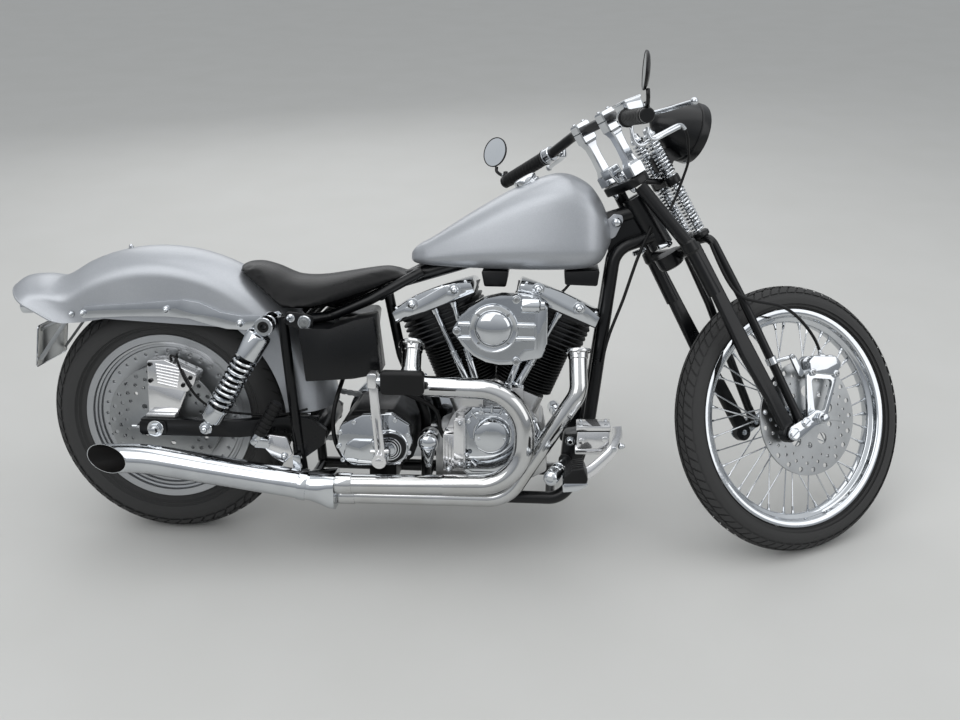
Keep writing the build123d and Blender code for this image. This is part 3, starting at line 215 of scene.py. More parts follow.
@dataclass(frozen=True)
class Finish:
    """A surface finish: two close tones, a gloss that varies in patches, and grain from a real size."""

    name: str
    slot: str
    colour: str
    shade: str
    metallic: float
    roughness: float
    rough_swing: float
    grain_mm: float
    bump: float
    patch_mm: float = 120.0
    coat: float = 0.0
    coat_roughness: float = 0.1
    specular: float = 0.5
    stretch: Point = (1.0, 1.0, 1.0)
    transmission: float = 0.0

    def material(self) -> bpy.types.Material:
        """Builds the material the first time, and returns the same one afterwards."""
        made = bpy.data.materials.get(self.name)
        if made:
            return made
        material = bpy.data.materials.new(self.name)
        material.use_nodes = True
        tree = material.node_tree
        shader = tree.nodes["Principled BSDF"]
        fixed = {"Metallic": self.metallic, "Coat Weight": self.coat, "Coat Roughness": self.coat_roughness,
                 "Transmission Weight": self.transmission}
        if self.metallic < 1.0:
            fixed["Specular IOR Level"] = self.specular
        for key, value in fixed.items():
            shader.inputs[key].default_value = value
        where = add_node(tree, "ShaderNodeTexCoord").outputs["Object"]
        patches = add_node(tree, "ShaderNodeTexNoise", {"Scale": 1 / (self.patch_mm * MM), "Detail": 5.0},
                           {"Vector": where}).outputs["Fac"]
        tone = add_node(tree, "ShaderNodeMapRange", {"From Min": 0.38, "From Max": 0.68}, {"Value": patches})
        colour = add_node(tree, "ShaderNodeMix", {"data_type": "RGBA", MIX_A: hex_linear(self.colour),
                                                  MIX_B: hex_linear(self.shade)},
                          {"Factor": self.tone(tree, where, tone.outputs["Result"])})
        gloss = add_node(tree, "ShaderNodeMapRange",
                         {"From Min": 0.3, "From Max": 0.7, "To Min": self.roughness - self.rough_swing,
                          "To Max": self.roughness + self.rough_swing}, {"Value": patches})
        bump = add_node(tree, "ShaderNodeBump", {"Strength": self.bump, "Distance": 0.3 * self.grain_mm * MM},
                        {"Height": self.grain(tree, where)})
        tree.links.new(colour.outputs[MIX_RESULT], shader.inputs["Base Color"])
        tree.links.new(gloss.outputs["Result"], shader.inputs["Roughness"])
        tree.links.new(bump.outputs["Normal"], shader.inputs["Normal"])
        return material

    def tone(self, tree: Tree, where: Socket, patches: Socket) -> Socket:
        """Says how far the colour goes from the main tone to the second one.

        Args:
            tree: The material's node tree.
            where: Object coordinates.
            patches: Broad patches from 0 to 1.

        Returns:
            The mixing factor.
        """
        return patches

    def grain(self, tree: Tree, where: Socket) -> Socket:
        """Adds fine irregular grain.

        Args:
            tree: The material's node tree.
            where: Object coordinates.

        Returns:
            The height for the bump.
        """
        stretched = add_node(tree, "ShaderNodeMapping", {"Scale": self.stretch}, {"Vector": where})
        noise = add_node(tree, "ShaderNodeTexNoise", {"Scale": 1 / (self.grain_mm * MM), "Detail": 3.0},
                         {"Vector": stretched.outputs["Vector"]})
        return noise.outputs["Fac"]


@dataclass(frozen=True)
class FlakePaint(Finish):
    """Metallic paint: small bright flakes are strewn through the colour."""

    flake_mm: float = 1.2

    def tone(self, tree: Tree, where: Socket, patches: Socket) -> Socket:
        """Mixes flakes into the broad patches, with the same arguments and result as Finish.tone."""
        flakes = add_node(tree, "ShaderNodeTexVoronoi", {"Scale": 1 / (self.flake_mm * MM)},
                          {"Vector": where})
        parts = add_node(tree, "ShaderNodeSeparateColor", links={"Color": flakes.outputs["Color"]})
        speck = add_node(tree, "ShaderNodeMapRange", {"To Max": 0.45}, {"Value": parts.outputs["Red"]})
        half = add_node(tree, "ShaderNodeMath", {"operation": "MULTIPLY", 1: 0.5}, {0: patches})
        both = add_node(tree, "ShaderNodeMath", {"operation": "ADD"},
                        {0: speck.outputs["Result"], 1: half.outputs["Value"]})
        return both.outputs["Value"]


@dataclass(frozen=True)
class Hide(Finish):
    """Smooth vinyl with a pebbled grain of small cells."""

    def grain(self, tree: Tree, where: Socket) -> Socket:
        """Draws the pebbles, with the same arguments and result as Finish.grain."""
        cells = add_node(tree, "ShaderNodeTexVoronoi",
                         {"feature": "DISTANCE_TO_EDGE", "Scale": 1 / (self.grain_mm * MM)},
                         {"Vector": where})
        low = add_node(tree, "ShaderNodeMapRange", {"From Max": 0.25}, {"Value": cells.outputs["Distance"]})
        return low.outputs["Result"]


@dataclass(frozen=True)
class TurnedMetal(Finish):
    """Metal faced on a lathe: fine rings run round a wheel's axle."""

    hub: Point = (0.0, 0.0, 0.0)
    axle: Point = (0.0, 1.0, 0.0)

    def grain(self, tree: Tree, where: Socket) -> Socket:
        """Draws rings by the distance from the axle, with the same arguments and result as Finish.grain."""
        offset = add_node(tree, "ShaderNodeVectorMath", {"operation": "SUBTRACT", 1: self.hub}, {0: where})
        across = add_node(tree, "ShaderNodeVectorMath", {"operation": "CROSS_PRODUCT", 1: self.axle},
                          {0: offset.outputs["Vector"]})
        reach = add_node(tree, "ShaderNodeVectorMath", {"operation": "LENGTH"}, {0: across.outputs["Vector"]})
        rings = add_node(tree, "ShaderNodeTexNoise", {"noise_dimensions": "1D", "Scale": 1.0, "Detail": 3.0})
        scaled = add_node(tree, "ShaderNodeMath", {"operation": "MULTIPLY", 1: 1 / (self.grain_mm * MM)},
                          {0: reach.outputs["Value"]})
        tree.links.new(scaled.outputs["Value"], rings.inputs["W"])
        return rings.outputs["Fac"]


# Silver metallic paint, sprayed and clear coated: a satin grey with a soft, broad highlight
SILVER_PAINT = FlakePaint("silver_metallic_paint", "silver_paint", "#a2a5aa", "#b4b7bb", 0.62, 0.40, 0.03,
                          2.5, 0.02, patch_mm=260, coat=0.14, coat_roughness=0.2)
# Powder-coated steel in black: satin, with the faint pebble of orange peel
BLACK_PAINT = Finish("black_powder_coat", "black_paint", "#07080a", "#0b0c0e", 0.0, 0.30, 0.05, 3.0, 0.08,
                     coat=0.08, specular=0.32)
# Heat-proof black enamel on cast fins: dry and matt, with road dust in it
ENGINE_BLACK = Finish("black_heat_enamel", "engine_black", "#0d0e0f", "#161718", 0.0, 0.44, 0.08, 1.6, 0.2,
                      patch_mm=40, specular=0.35)
# The same enamel on the cylinder heads, painted lighter grey and a little metallic: a painted highlight where
# the fins catch the light
LIT_HEAD_ENAMEL = Finish("lit_head_enamel", "engine_black", "#1b1c1e", "#27282a", 0.2, 0.42, 0.08, 1.6, 0.2,
                     patch_mm=40)
# Bright chromium plating on polished steel: a mirror with the lightest wipe marks
CHROME = Finish("chrome_plate", "chrome", "#d0d3d6", "#c6c9cd", 1.0, 0.05, 0.02, 14.0, 0.01, patch_mm=60)
# Chrome near the engine, hazed by heat
HOT_CHROME = Finish("heated_chrome_plate", "chrome", "#cdcecf", "#c3c3c1", 1.0, 0.09, 0.03, 14.0, 0.02,
                    patch_mm=90)
# Aluminium casting buffed by hand: bright, with a soft haze and fine scratches along it
POLISHED_ALLOY = Finish("polished_aluminium", "polished_aluminium", "#bcbdc0", "#a6a8ab", 1.0, 0.20, 0.05,
                        0.9, 0.04, stretch=(0.25, 1.0, 1.0), patch_mm=50)
# Aluminium casting as it was blasted: pale, dull and sandy
CAST_ALLOY = Finish("cast_aluminium", "cast_aluminium", "#7d7e80", "#66676a", 1.0, 0.44, 0.06, 1.1, 0.25,
                    patch_mm=45)
# Ground stainless steel of brackets and the chain
GROUND_STEEL = Finish("ground_steel", "brushed_steel", "#a8aaab", "#9d9fa0", 1.0, 0.36, 0.03, 0.8, 0.03,
                      patch_mm=60)
# Tyre rubber: charcoal, dry, with a dull dusty gloss in patches
TYRE_RUBBER = Finish("tyre_rubber", "tyre_rubber", "#0e0f10", "#161618", 0.0, 0.62, 0.08, 1.4, 0.2,
                     patch_mm=70, specular=0.12)
# Moulded rubber of grips and pegs: black with a dull shine
SOFT_RUBBER = Finish("moulded_rubber", "black_rubber", "#09090a", "#101011", 0.0, 0.48, 0.06, 1.2, 0.12,
                     specular=0.3)
# Smooth black vinyl of the seat: a fine pebbled grain with a low sheen
SEAT_VINYL = Hide("seat_vinyl", "black_vinyl", "#050506", "#09090a", 0.0, 0.30, 0.05, 1.8, 0.12, patch_mm=90,
                  specular=0.18)
# Flat white enamel of the bare plate
PLATE_WHITE = Finish("plate_enamel", "plate_white", "#dcdcd8", "#cfcfca", 0.0, 0.45, 0.05, 3.0, 0.05,
                     coat=0.2)
# Red moulded acrylic of the tail lamp: clear and deep, with a faint prism pattern
RED_LENS = Finish("red_lens", "", "#a01010", "#7c0b0b", 0.0, 0.12, 0.03, 3.5, 0.25, patch_mm=20, coat=0.5,
                  transmission=0.35)
# Silvered glass of the mirrors
MIRROR_GLASS = Finish("mirror_glass", "chrome", "#e6e9ec", "#dfe3e6", 1.0, 0.03, 0.01, 30.0, 0.0,
                      patch_mm=200)
# Near-black steel inside the exhaust: soot, with painted shade deep in the muffler and in the shield's slot
SOOT_AND_SHADE = Finish("soot_and_shade_steel", "chrome", "#0b0a0a", "#161413", 0.6, 0.7, 0.1, 1.5, 0.2, patch_mm=30)
# Clear pressed glass of the headlight, with the faint ripple of its moulding
CLEAR_GLASS = Finish("clear_glass", "", "#f2f5f6", "#e8eced", 0.0, 0.04, 0.01, 6.0, 0.12, patch_mm=60,
                     transmission=0.95)


class Bench:
    """The modelling moves that the sub-assemblies share. Everything on it is upright and in millimetres."""

    @staticmethod
    def pick(*objects: Piece) -> None:
        """Selects only these objects, with the first one active."""
        bpy.ops.object.select_all(action="DESELECT")
        for obj in objects:
            obj.select_set(True)
        bpy.context.view_layer.objects.active = objects[0]

    @staticmethod
    def named(name: str) -> Piece:
        """Names the object that was just added, and its mesh, and returns it."""
        obj = bpy.context.active_object
        obj.name = name
        obj.data.name = name
        return obj

    @staticmethod
    def apply(obj: Piece, kind: str, **settings: object) -> Piece:
        """Adds a modifier and applies it at once.

        Args:
            obj: The piece.
            kind: The modifier's type name.
            settings: Its settings by name.

        Returns:
            The same object.
        """
        Bench.pick(obj)
        modifier = obj.modifiers.new(kind.lower(), kind)
        for key, value in settings.items():
            setattr(modifier, key, value)
        bpy.ops.object.modifier_apply(modifier=modifier.name)
        return obj

    @staticmethod
    def smooth(obj: Piece, degrees: float = 35.0) -> Piece:
        """Shades the faces smooth, with edges sharper than an angle left crisp."""
        Bench.pick(obj)
        bpy.ops.object.shade_smooth_by_angle(angle=math.radians(degrees))
        return obj

    @staticmethod
    def soften(obj: Piece, width: float, segments: int = 2, degrees: float = 35.0) -> Piece:
        """Rounds every edge that is sharper than an angle.

        Args:
            obj: The piece.
            width: The rounding in millimetres.
            segments: The number of faces across it.
            degrees: The angle above which an edge is rounded.

        Returns:
            The same object.
        """
        Bench.apply(obj, "BEVEL", width=width, segments=segments, limit_method="ANGLE",
                    angle_limit=math.radians(degrees), use_clamp_overlap=True)
        return Bench.smooth(obj, degrees)

    @staticmethod
    def aim(axis: Vector) -> tuple[float, float, float]:
        """Gives the rotation that turns local z along an axis."""
        return tuple(Vector(axis).to_track_quat("Z", "Y").to_euler())

    @staticmethod
    def begin() -> None:
        """Opens the active mesh for editing, with all of it selected."""
        bpy.ops.object.mode_set(mode="EDIT")
        bpy.ops.mesh.select_all(action="SELECT")

    @staticmethod
    def finish(merge: float = 0.0) -> None:
        """Merges points that lie closer than a length, turns the faces outwards and ends the editing."""
        bpy.ops.mesh.select_all(action="SELECT")
        if merge:
            bpy.ops.mesh.remove_doubles(threshold=merge)
        bpy.ops.mesh.normals_make_consistent(inside=False)
        bpy.ops.object.mode_set(mode="OBJECT")

    @staticmethod
    def bar(name: str, start: Spot, end: Spot, radius: float, far_radius: float | None = None,
            sides: int = 32, rounding: float = 0.0) -> Piece:
        """Makes a round bar, or a tapered one, between two points.

        Args:
            name: The piece's name.
            start: The centre of its first end.
            end: The centre of its other end.
            radius: Its radius at the start.
            far_radius: Its radius at the end, when that differs.
            sides: The number of faces round it.
            rounding: How far its end edges are rounded.

        Returns:
            The new object.
        """
        first = Vector(start)
        last = Vector(end)
        bpy.ops.object.select_all(action="DESELECT")
        bpy.ops.mesh.primitive_cone_add(vertices=sides, radius1=radius,
                                        radius2=radius if far_radius is None else far_radius,
                                        depth=(last - first).length, location=(first + last) / 2,
                                        rotation=Bench.aim(last - first))
        obj = Bench.settle(Bench.named(name))
        if rounding:
            return Bench.soften(obj, rounding, 3, 50.0)
        return Bench.smooth(obj, 40.0)

    @staticmethod
    def settle(obj: Piece) -> Piece:
        """Puts the object's place and turn into its mesh."""
        Bench.pick(obj)
        bpy.ops.object.transform_apply(location=True, rotation=True, scale=True)
        return obj

    @staticmethod
    def ball(name: str, centre: Spot, radius: float, scale: Point = (1, 1, 1)) -> Piece:
        """Makes a ball, or an oval one, about a centre."""
        bpy.ops.object.select_all(action="DESELECT")
        bpy.ops.mesh.primitive_uv_sphere_add(segments=32, ring_count=16, radius=radius,
                                             location=tuple(centre), scale=scale)
        return Bench.smooth(Bench.settle(Bench.named(name)), 180.0)

    @staticmethod
    def sheet(name: str, corners: Route) -> Piece:
        """Makes one flat face from the corners of an outline, in order."""
        bpy.ops.object.select_all(action="DESELECT")
        bpy.ops.mesh.primitive_circle_add(vertices=len(corners), radius=1.0, fill_type="NGON")
        obj = Bench.named(name)
        for vertex, corner in zip(obj.data.vertices, corners):
            vertex.co = corner
        return obj

    @staticmethod
    def slab(name: str, corners: Route, push: Spot, rounding: float = 0.0, segments: int = 2) -> Piece:
        """Pushes a flat outline out into a plate or block.

        Args:
            name: The piece's name.
            corners: The outline's corners as points.
            push: The vector from the first face to the far one.
            rounding: How far the edges are rounded.
            segments: Faces across each rounded edge.

        Returns:
            The new object.
        """
        obj = Bench.sheet(name, corners)
        Bench.begin()
        bpy.ops.mesh.extrude_region_move(TRANSFORM_OT_translate={"value": tuple(push)})
        Bench.finish()
        if rounding:
            return Bench.soften(obj, rounding, segments, 25.0)
        return Bench.smooth(obj, 25.0)

    @staticmethod
    def side_slab(name: str, outline: Sequence[Flat], y_low: float, y_high: float, rounding: float = 0.0,
                  segments: int = 2) -> Piece:
        """Makes a plate whose outline is given in the side view, as (x, z) pairs."""
        corners = [(x, y_low, z) for x, z in outline]
        return Bench.slab(name, corners, (0, y_high - y_low, 0), rounding, segments)

    @staticmethod
    def lathe(name: str, profile: Sequence[Flat], centre: Spot, axis: Spot, steps: int = 96,
              degrees: float = 30.0) -> Piece:
        """Spins a closed profile round an axis.

        Args:
            name: The piece's name.
            profile: Pairs of (distance along the axis, radius).
            centre: Where the distance along the axis is zero.
            axis: The axis to spin round.
            steps: The number of steps round.
            degrees: The angle above which an edge stays crisp.

        Returns:
            The new object.
        """
        along = Vector(axis).normalized()
        out = along.orthogonal().normalized()
        middle = Vector(centre)
        bpy.ops.object.select_all(action="DESELECT")
        bpy.ops.mesh.primitive_circle_add(vertices=len(profile), radius=1.0, fill_type="NOTHING")
        obj = Bench.named(name)
        for vertex, (reach, radius) in zip(obj.data.vertices, profile):
            vertex.co = middle + along * reach + out * radius
        Bench.begin()
        bpy.ops.mesh.spin(steps=steps, angle=2 * math.pi, center=tuple(middle), axis=tuple(along))
        Bench.finish(0.002)
        return Bench.smooth(obj, degrees)

    @staticmethod
    def skin(name: str, rings: Sequence[Route], closed: bool = True, capped: bool = True,
             levels: int = 0) -> Piece:
        """Stretches a surface over cross-sections.

        Args:
            name: The piece's name.
            rings: The cross-sections in order, each with the same number of points.
            closed: Whether each cross-section's last point joins its first.
            capped: Whether the two end sections are filled.
            levels: How often the surface is subdivided and smoothed.

        Returns:
            The new object.
        """
        rows = [list(ring) + ([ring[0]] if closed else []) for ring in rings]
        bpy.ops.object.select_all(action="DESELECT")
        bpy.ops.mesh.primitive_grid_add(x_subdivisions=len(rows[0]) - 1, y_subdivisions=len(rows) - 1,
                                        size=1.0)
        obj = Bench.named(name)
        for vertex, place in zip(obj.data.vertices, [point for row in rows for point in row]):
            vertex.co = place
        Bench.begin()
        bpy.ops.mesh.remove_doubles(threshold=0.01)
        if capped:
            bpy.ops.mesh.select_all(action="DESELECT")
            bpy.ops.mesh.select_mode(type="EDGE")
            bpy.ops.mesh.select_non_manifold()
            bpy.ops.mesh.edge_face_add()
        Bench.finish()
        if levels:
            Bench.apply(obj, "SUBSURF", levels=levels, render_levels=levels)
        return Bench.smooth(obj, 60.0)

    @staticmethod
    def bent(points: Route, bends: Sequence[float], steps: int = 8) -> list[Vector]:
        """Rounds the corners of a route with arcs.

        Args:
            points: The route's corners, from end to end.
            bends: The radius of the arc at each inner corner.
            steps: The number of pieces in each arc.

        Returns:
            The points of the rounded route.
        """
        corners = [Vector(p) for p in points]
        route = [corners[0]]
        for before, corner, after, bend in zip(corners, corners[1:], corners[2:], bends):
            back = (before - corner).normalized()
            ahead = (after - corner).normalized()
            half = back.angle(ahead) / 2
            reach = bend / math.tan(half)
            centre = corner + (back + ahead).normalized() * (bend / math.sin(half))
            start = corner + back * reach - centre
            sweep = math.pi - 2 * half
            axis = start.cross(corner + ahead * reach - centre).normalized()
            for k in range(steps + 1):
                route.append(centre + Matrix.Rotation(sweep * k / steps, 3, axis) @ start)
        route.append(corners[-1])
        return route

    @staticmethod
    def line(name: str, kind: str, points: Route, radius: float, sides: int, capped: bool = True) -> Piece:
        """Draws a curve with a round section.

        Args:
            name: The curve's name.
            kind: "POLY" for straight pieces, or "NURBS".
            points: The points that it follows.
            radius: The radius of its section.
            sides: How fine the section is: 8 gives 20 faces round, and each one more adds two.
            capped: Whether its ends are closed.

        Returns:
            The curve object, in the scene.
        """
        curve = bpy.data.curves.new(name, "CURVE")
        curve.dimensions = "3D"
        spline = curve.splines.new(kind)
        spline.points.add(len(points) - 1)
        for target, place in zip(spline.points, points):
            target.co = (*place, 1.0)
        curve.bevel_depth = radius
        curve.bevel_resolution = sides
        curve.use_fill_caps = capped
        obj = bpy.data.objects.new(name, curve)
        bpy.context.scene.collection.objects.link(obj)
        return obj

    @staticmethod
    def tube(name: str, route: Route, radius: float, sides: int = 8, capped: bool = True) -> Piece:
        """Makes a round tube along a route, as a mesh, with the same arguments as line."""
        Bench.pick(Bench.line(name, "POLY", route, radius, sides, capped))
        bpy.ops.object.convert(target="MESH")
        obj = Bench.named(name)
        Bench.begin()
        Bench.finish(0.001)
        return Bench.smooth(obj, 40.0)

    @staticmethod
    def join(name: str, objects: Sequence[Piece]) -> Piece:
        """Joins several objects into one named mesh."""
        Bench.pick(*objects)
        if len(objects) > 1:
            bpy.ops.object.join()
        return Bench.named(name)

    @staticmethod
    def carve(obj: Piece, cutter: Piece) -> Piece:
        """Cuts one shape out of another, and removes the cutter."""
        Bench.apply(obj, "BOOLEAN", object=cutter, operation="DIFFERENCE", solver="EXACT")
        bpy.data.objects.remove(cutter)
        return obj

    @staticmethod
    def copies(obj: Piece, matrices: Sequence[Matrix]) -> list[Piece]:
        """Copies a finished shape to several places, each copy with its own mesh.

        Args:
            obj: The first shape, which is removed.
            matrices: Where each copy goes.

        Returns:
            The copies.
        """
        made = []
        for matrix in matrices:
            twin = obj.copy()
            twin.data = obj.data.copy()
            bpy.context.scene.collection.objects.link(twin)
            twin.data.transform(matrix)
            if matrix.determinant() < 0:
                twin.data.flip_normals()
            made.append(twin)
        bpy.data.objects.remove(obj)
        return made

    @staticmethod
    def ring_of(obj: Piece, count: int, centre: Spot, axis: Spot, first: float = 0.0) -> list[Piece]:
        """Copies a shape evenly round an axis."""
        middle = Matrix.Translation(Vector(centre))
        axle = Vector(axis)
        turns = [middle @ Matrix.Rotation(first + 2 * math.pi * k / count, 4, axle) @ middle.inverted()
                 for k in range(count)]
        return Bench.copies(obj, turns)

    @staticmethod
    def mirrored(objects: Sequence[Piece]) -> list[Piece]:
        """Adds each shape's mirror image on the other side of the motorcycle."""
        flip = Matrix.Diagonal((1, -1, 1, 1))
        keep = Matrix.Identity(4)
        return [twin for obj in objects for twin in Bench.copies(obj, [keep, flip])]

    @staticmethod
    def bolt(name: str, seat: Spot, axis: Spot, across: float, height: float) -> Piece:
        """Makes a chamfered hexagon bolt head on a washer.

        Args:
            name: The piece's name.
            seat: The point it sits on.
            axis: The way it points.
            across: Its size across the corners.
            height: The head's height.

        Returns:
            The new object.
        """
        out = Vector(axis).normalized()
        base = Vector(seat)
        lift = height * 0.22
        head = Bench.bar(name, base + out * lift, base + out * (lift + height * 0.8), across / 2, sides=6)
        crown = Bench.bar(name, base + out * (lift + height * 0.8), base + out * (lift + height), across / 2,
                          across * 0.36, sides=6)
        washer = Bench.bar(name, base, base + out * lift, across * 0.68, sides=24)
        return Bench.soften(Bench.join(name, [head, crown, washer]), across * 0.03, 2, 20.0)

    @staticmethod
    def acorn(name: str, seat: Spot, axis: Spot, radius: float) -> Piece:
        """Makes a domed nut on a washer."""
        profile = [(0, 0), (0, radius * 1.25), (radius * 0.2, radius * 1.25), (radius * 0.24, radius),
                   (radius * 0.85, radius), (radius * 0.95, radius * 0.82)]
        profile += [(radius * (0.95 + 0.8 * math.sin(a)), radius * 0.82 * math.cos(a))
                    for a in map(math.radians, (18, 36, 54, 72))]
        profile.append((radius * 1.75, 0))
        return Bench.lathe(name, profile, seat, axis, 24, 40.0)

    @staticmethod
    def screw(name: str, seat: Spot, axis: Spot, radius: float, height: float) -> Piece:
        """Makes a socket-head screw with its round recess."""
        profile = [(0, 0), (0, radius), (height * 0.85, radius), (height, radius * 0.88),
                   (height, radius * 0.5), (height * 0.4, radius * 0.45), (height * 0.4, 0)]
        return Bench.lathe(name, profile, seat, axis, 20, 40.0)

    @staticmethod
    def outline(corners: Sequence[Flat], radius: float | Sequence[float], steps: int = 4) -> list[Flat]:
        """Rounds every corner of a closed side-view outline.

        Args:
            corners: The outline's corners.
            radius: One radius, or one for each corner.
            steps: The number of pieces in each arc.

        Returns:
            The points of the rounded outline.
        """
        radii = [radius] * len(corners) if isinstance(radius, (int, float)) else list(radius)
        made = []
        for k, corner in enumerate(corners):
            before = corners[k - 1]
            after = corners[(k + 1) % len(corners)]
            turn = Bench.bent([(*p, 0) for p in (before, corner, after)], [radii[k]], steps)[1:-1]
            made += [(p.x, p.y) for p in turn]
        return made

    @staticmethod
    def oblong(long: float, wide: float, corner: float, steps: int) -> list[Flat]:
        """Gives a rectangle about the origin, with each corner rounded in some steps."""
        ends = [(-long / 2, -wide / 2), (long / 2, -wide / 2), (long / 2, wide / 2), (-long / 2, wide / 2)]
        return Bench.outline(ends, corner, steps)

    @staticmethod
    def plate(name: str, corners: Sequence[Flat], radius: float | Sequence[float], y_low: float,
              y_high: float, rounding: float = 0.0, segments: int = 2) -> Piece:
        """Makes a side_slab from corners that are first rounded as outline does."""
        return Bench.side_slab(name, Bench.outline(corners, radius), y_low, y_high, rounding, segments)

    @staticmethod
    def bore(obj: Piece, hub: Vector, y_low: float, y_high: float,
             rings: Iterable[tuple[int, float, float, float]], sides: int = 24) -> Piece:
        """Drills rings of holes through a wheel or disc.

        Args:
            obj: The piece.
            hub: The wheel's centre.
            y_low: Where the drills start across the motorcycle.
            y_high: Where they end.
            rings: Rows of (count, ring radius, hole radius, first angle in degrees).
            sides: The number of faces round each hole.

        Returns:
            The same object.
        """
        for count, reach, hole, first in rings:
            drills = []
            for k in range(count):
                angle = math.radians(first + 360 * k / count)
                x = hub.x + reach * math.cos(angle)
                z = hub.z + reach * math.sin(angle)
                drills.append(Bench.bar("drill", (x, y_low, z), (x, y_high, z), hole, sides=sides))
            Bench.carve(obj, Bench.join("drills", drills))
        return obj

    @staticmethod
    def rows(table: Route, steps: int) -> list[tuple[float, ...]]:
        """Adds smooth in-between rows to a table of cross-section sizes.

        Args:
            table: The measured rows.
            steps: How many rows take the place of each measured one.

        Returns:
            The longer table, through the same values.
        """
        made = []
        last = len(table) - 1
        for k in range(last):
            nearby = [table[max(k - 1, 0)], table[k], table[k + 1], table[min(k + 2, last)]]
            for step in range(steps):
                t = step / steps
                made.append(tuple(0.5 * (2 * b + (c - a) * t + (2 * a - 5 * b + 4 * c - d) * t ** 2
                                         + (3 * b - a - 3 * c + d) * t ** 3) for a, b, c, d in zip(*nearby)))
        made.append(tuple(table[-1]))
        return made

    @staticmethod
    def heading(path: Route, k: int) -> Vector:
        """Gives the direction of a route at one of its points."""
        return (Vector(path[min(k + 1, len(path) - 1)]) - Vector(path[max(k - 1, 0)])).normalized()

    @staticmethod
    def coil(name: str, start: Spot, end: Spot, radius: float, wire: float, turns: float) -> Piece:
        """Winds a wire spring between two points.

        Args:
            name: The piece's name.
            start: The centre of its first turn.
            end: The centre of its last turn.
            radius: The radius of the wire's middle line.
            wire: The wire's own radius.
            turns: The number of turns.

        Returns:
            The spring.
        """
        first = Vector(start)
        along = Vector(end) - first
        out = along.orthogonal().normalized()
        side = along.cross(out).normalized()
        count = int(turns * 24)
        route = [first + along * (k / count) + out * (radius * math.cos(2 * math.pi * turns * k / count))
                 + side * (radius * math.sin(2 * math.pi * turns * k / count)) for k in range(count + 1)]
        return Bench.tube(name, route, wire, 2)

    @staticmethod
    def cap(name: str, seat: Spot, axis: Spot, radius: float, height: float) -> Piece:
        """Makes a plain round cap with a rounded rim and a shallow step."""
        profile = [(0, 0), (0, radius), (height * 0.6, radius), (height * 0.85, radius * 0.97),
                   (height, radius * 0.92), (height, radius * 0.74), (height * 0.86, radius * 0.72),
                   (height * 0.86, 0)]
        return Bench.lathe(name, profile, seat, axis, 64, 30.0)

    @staticmethod
    def copy_node(name: str, node: Piece, rounding: float = 0.0) -> Piece:
        """Copies a CAD node's shape as one merged mesh, with its edges rounded.

        Args:
            name: The new piece's name.
            node: The CAD node.
            rounding: How far sharp edges are rounded, in metres.

        Returns:
            The copy, in the row frame and in metres.
        """
        twin = bpy.data.objects.new(name, node.data.copy())
        bpy.context.scene.collection.objects.link(twin)
        Bench.pick(twin)
        Bench.begin()
        bpy.ops.mesh.remove_doubles(threshold=0.00002)
        bpy.ops.mesh.dissolve_limited(angle_limit=math.radians(1.0))
        bpy.ops.object.mode_set(mode="OBJECT")
        if rounding:
            Bench.soften(twin, rounding, 2, 32.0)
        return Bench.smooth(twin, 32.0)


@dataclass
class Shop:
    """Sets finished pieces on the parked motorcycle."""

    stance: Stance
    nodes: dict

    def set_down(self, obj: Piece, finish: Finish, replaces: Sequence[str] = (),
                 body: Body = Body.FRAME) -> Piece:
        """Puts a piece in its parked place, dresses it and fixes it to its body.

        Args:
            obj: A piece made upright, in millimetres.
            finish: Its finish.
            replaces: The CAD nodes that it stands for.
            body: The body that it rides on.

        Returns:
            The same object.
        """
        obj.data.transform(self.stance.matrix(body))
        return self.fix(obj, finish, replaces, body)

    def fix(self, obj: Piece, finish: Finish, replaces: Sequence[str], body: Body) -> Piece:
        """Dresses a piece that is already in its place, with the same arguments as set_down."""
        obj.data.materials.clear()
        obj.data.materials.append(finish.material())
        for polygon in obj.data.polygons:
            polygon.material_index = 0
        self.attach(obj, replaces, body)
        log.info("%s: %d faces on %s", obj.name, len(obj.data.polygons), body.value)
        return obj

    def attach(self, obj: Piece, replaces: Sequence[str], body: Body) -> None:
        attach(obj, body.value)
        if replaces:
            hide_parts(*replaces)

    def assemble(self, name: str, parts: Sequence[Piece], finish: Finish, replaces: Sequence[str] = (),
                 body: Body = Body.FRAME) -> None:
        """Joins parts into one named piece and sets it down."""
        self.set_down(Bench.join(name, parts), finish, replaces, body)

    def pair(self, name: str, parts: Sequence[Piece], finish: Finish, replaces: Sequence[str] = ()) -> None:
        """Joins parts of the right side and their mirror images into one piece of the frame."""
        self.assemble(name, Bench.mirrored(parts), finish, replaces)

    def reuse(self, name: str, node: str, rounding: float, finish: Finish, body: Body = Body.FRAME) -> None:
        """Puts a rounded copy of a CAD node in its place.

        Args:
            name: The new piece's name.
            node: The CAD node that it copies and stands for.
            rounding: How far its sharp edges are rounded, in millimetres.
            finish: Its finish.
            body: The body that it rides on.
        """
        self.fix(Bench.copy_node(name, self.nodes[node], rounding * MM), finish, [node], body)

    def cable(self, name: str, route: Route, radius: float, finish: Finish, replaces: Sequence[str] = (),
              body: Body = Body.FRAME) -> None:
        """Args:
            name: The piece's name.
            route: The points that it follows, upright and in millimetres.
            radius: Its radius in millimetres.
            finish: Its finish.
            replaces: The CAD nodes that it stands for.
            body: The body that it rides on.
        """
        matrix = self.stance.matrix(body)
        points = [matrix @ Vector(point) for point in route]
        obj = Bench.line(name, "NURBS", points, radius * MM, 4)
        spline = obj.data.splines[0]
        spline.order_u = 3
        spline.use_endpoint_u = True
        spline.resolution_u = 10
        spline.use_smooth = True
        obj.data.materials.append(finish.material())
        self.attach(obj, replaces, body)


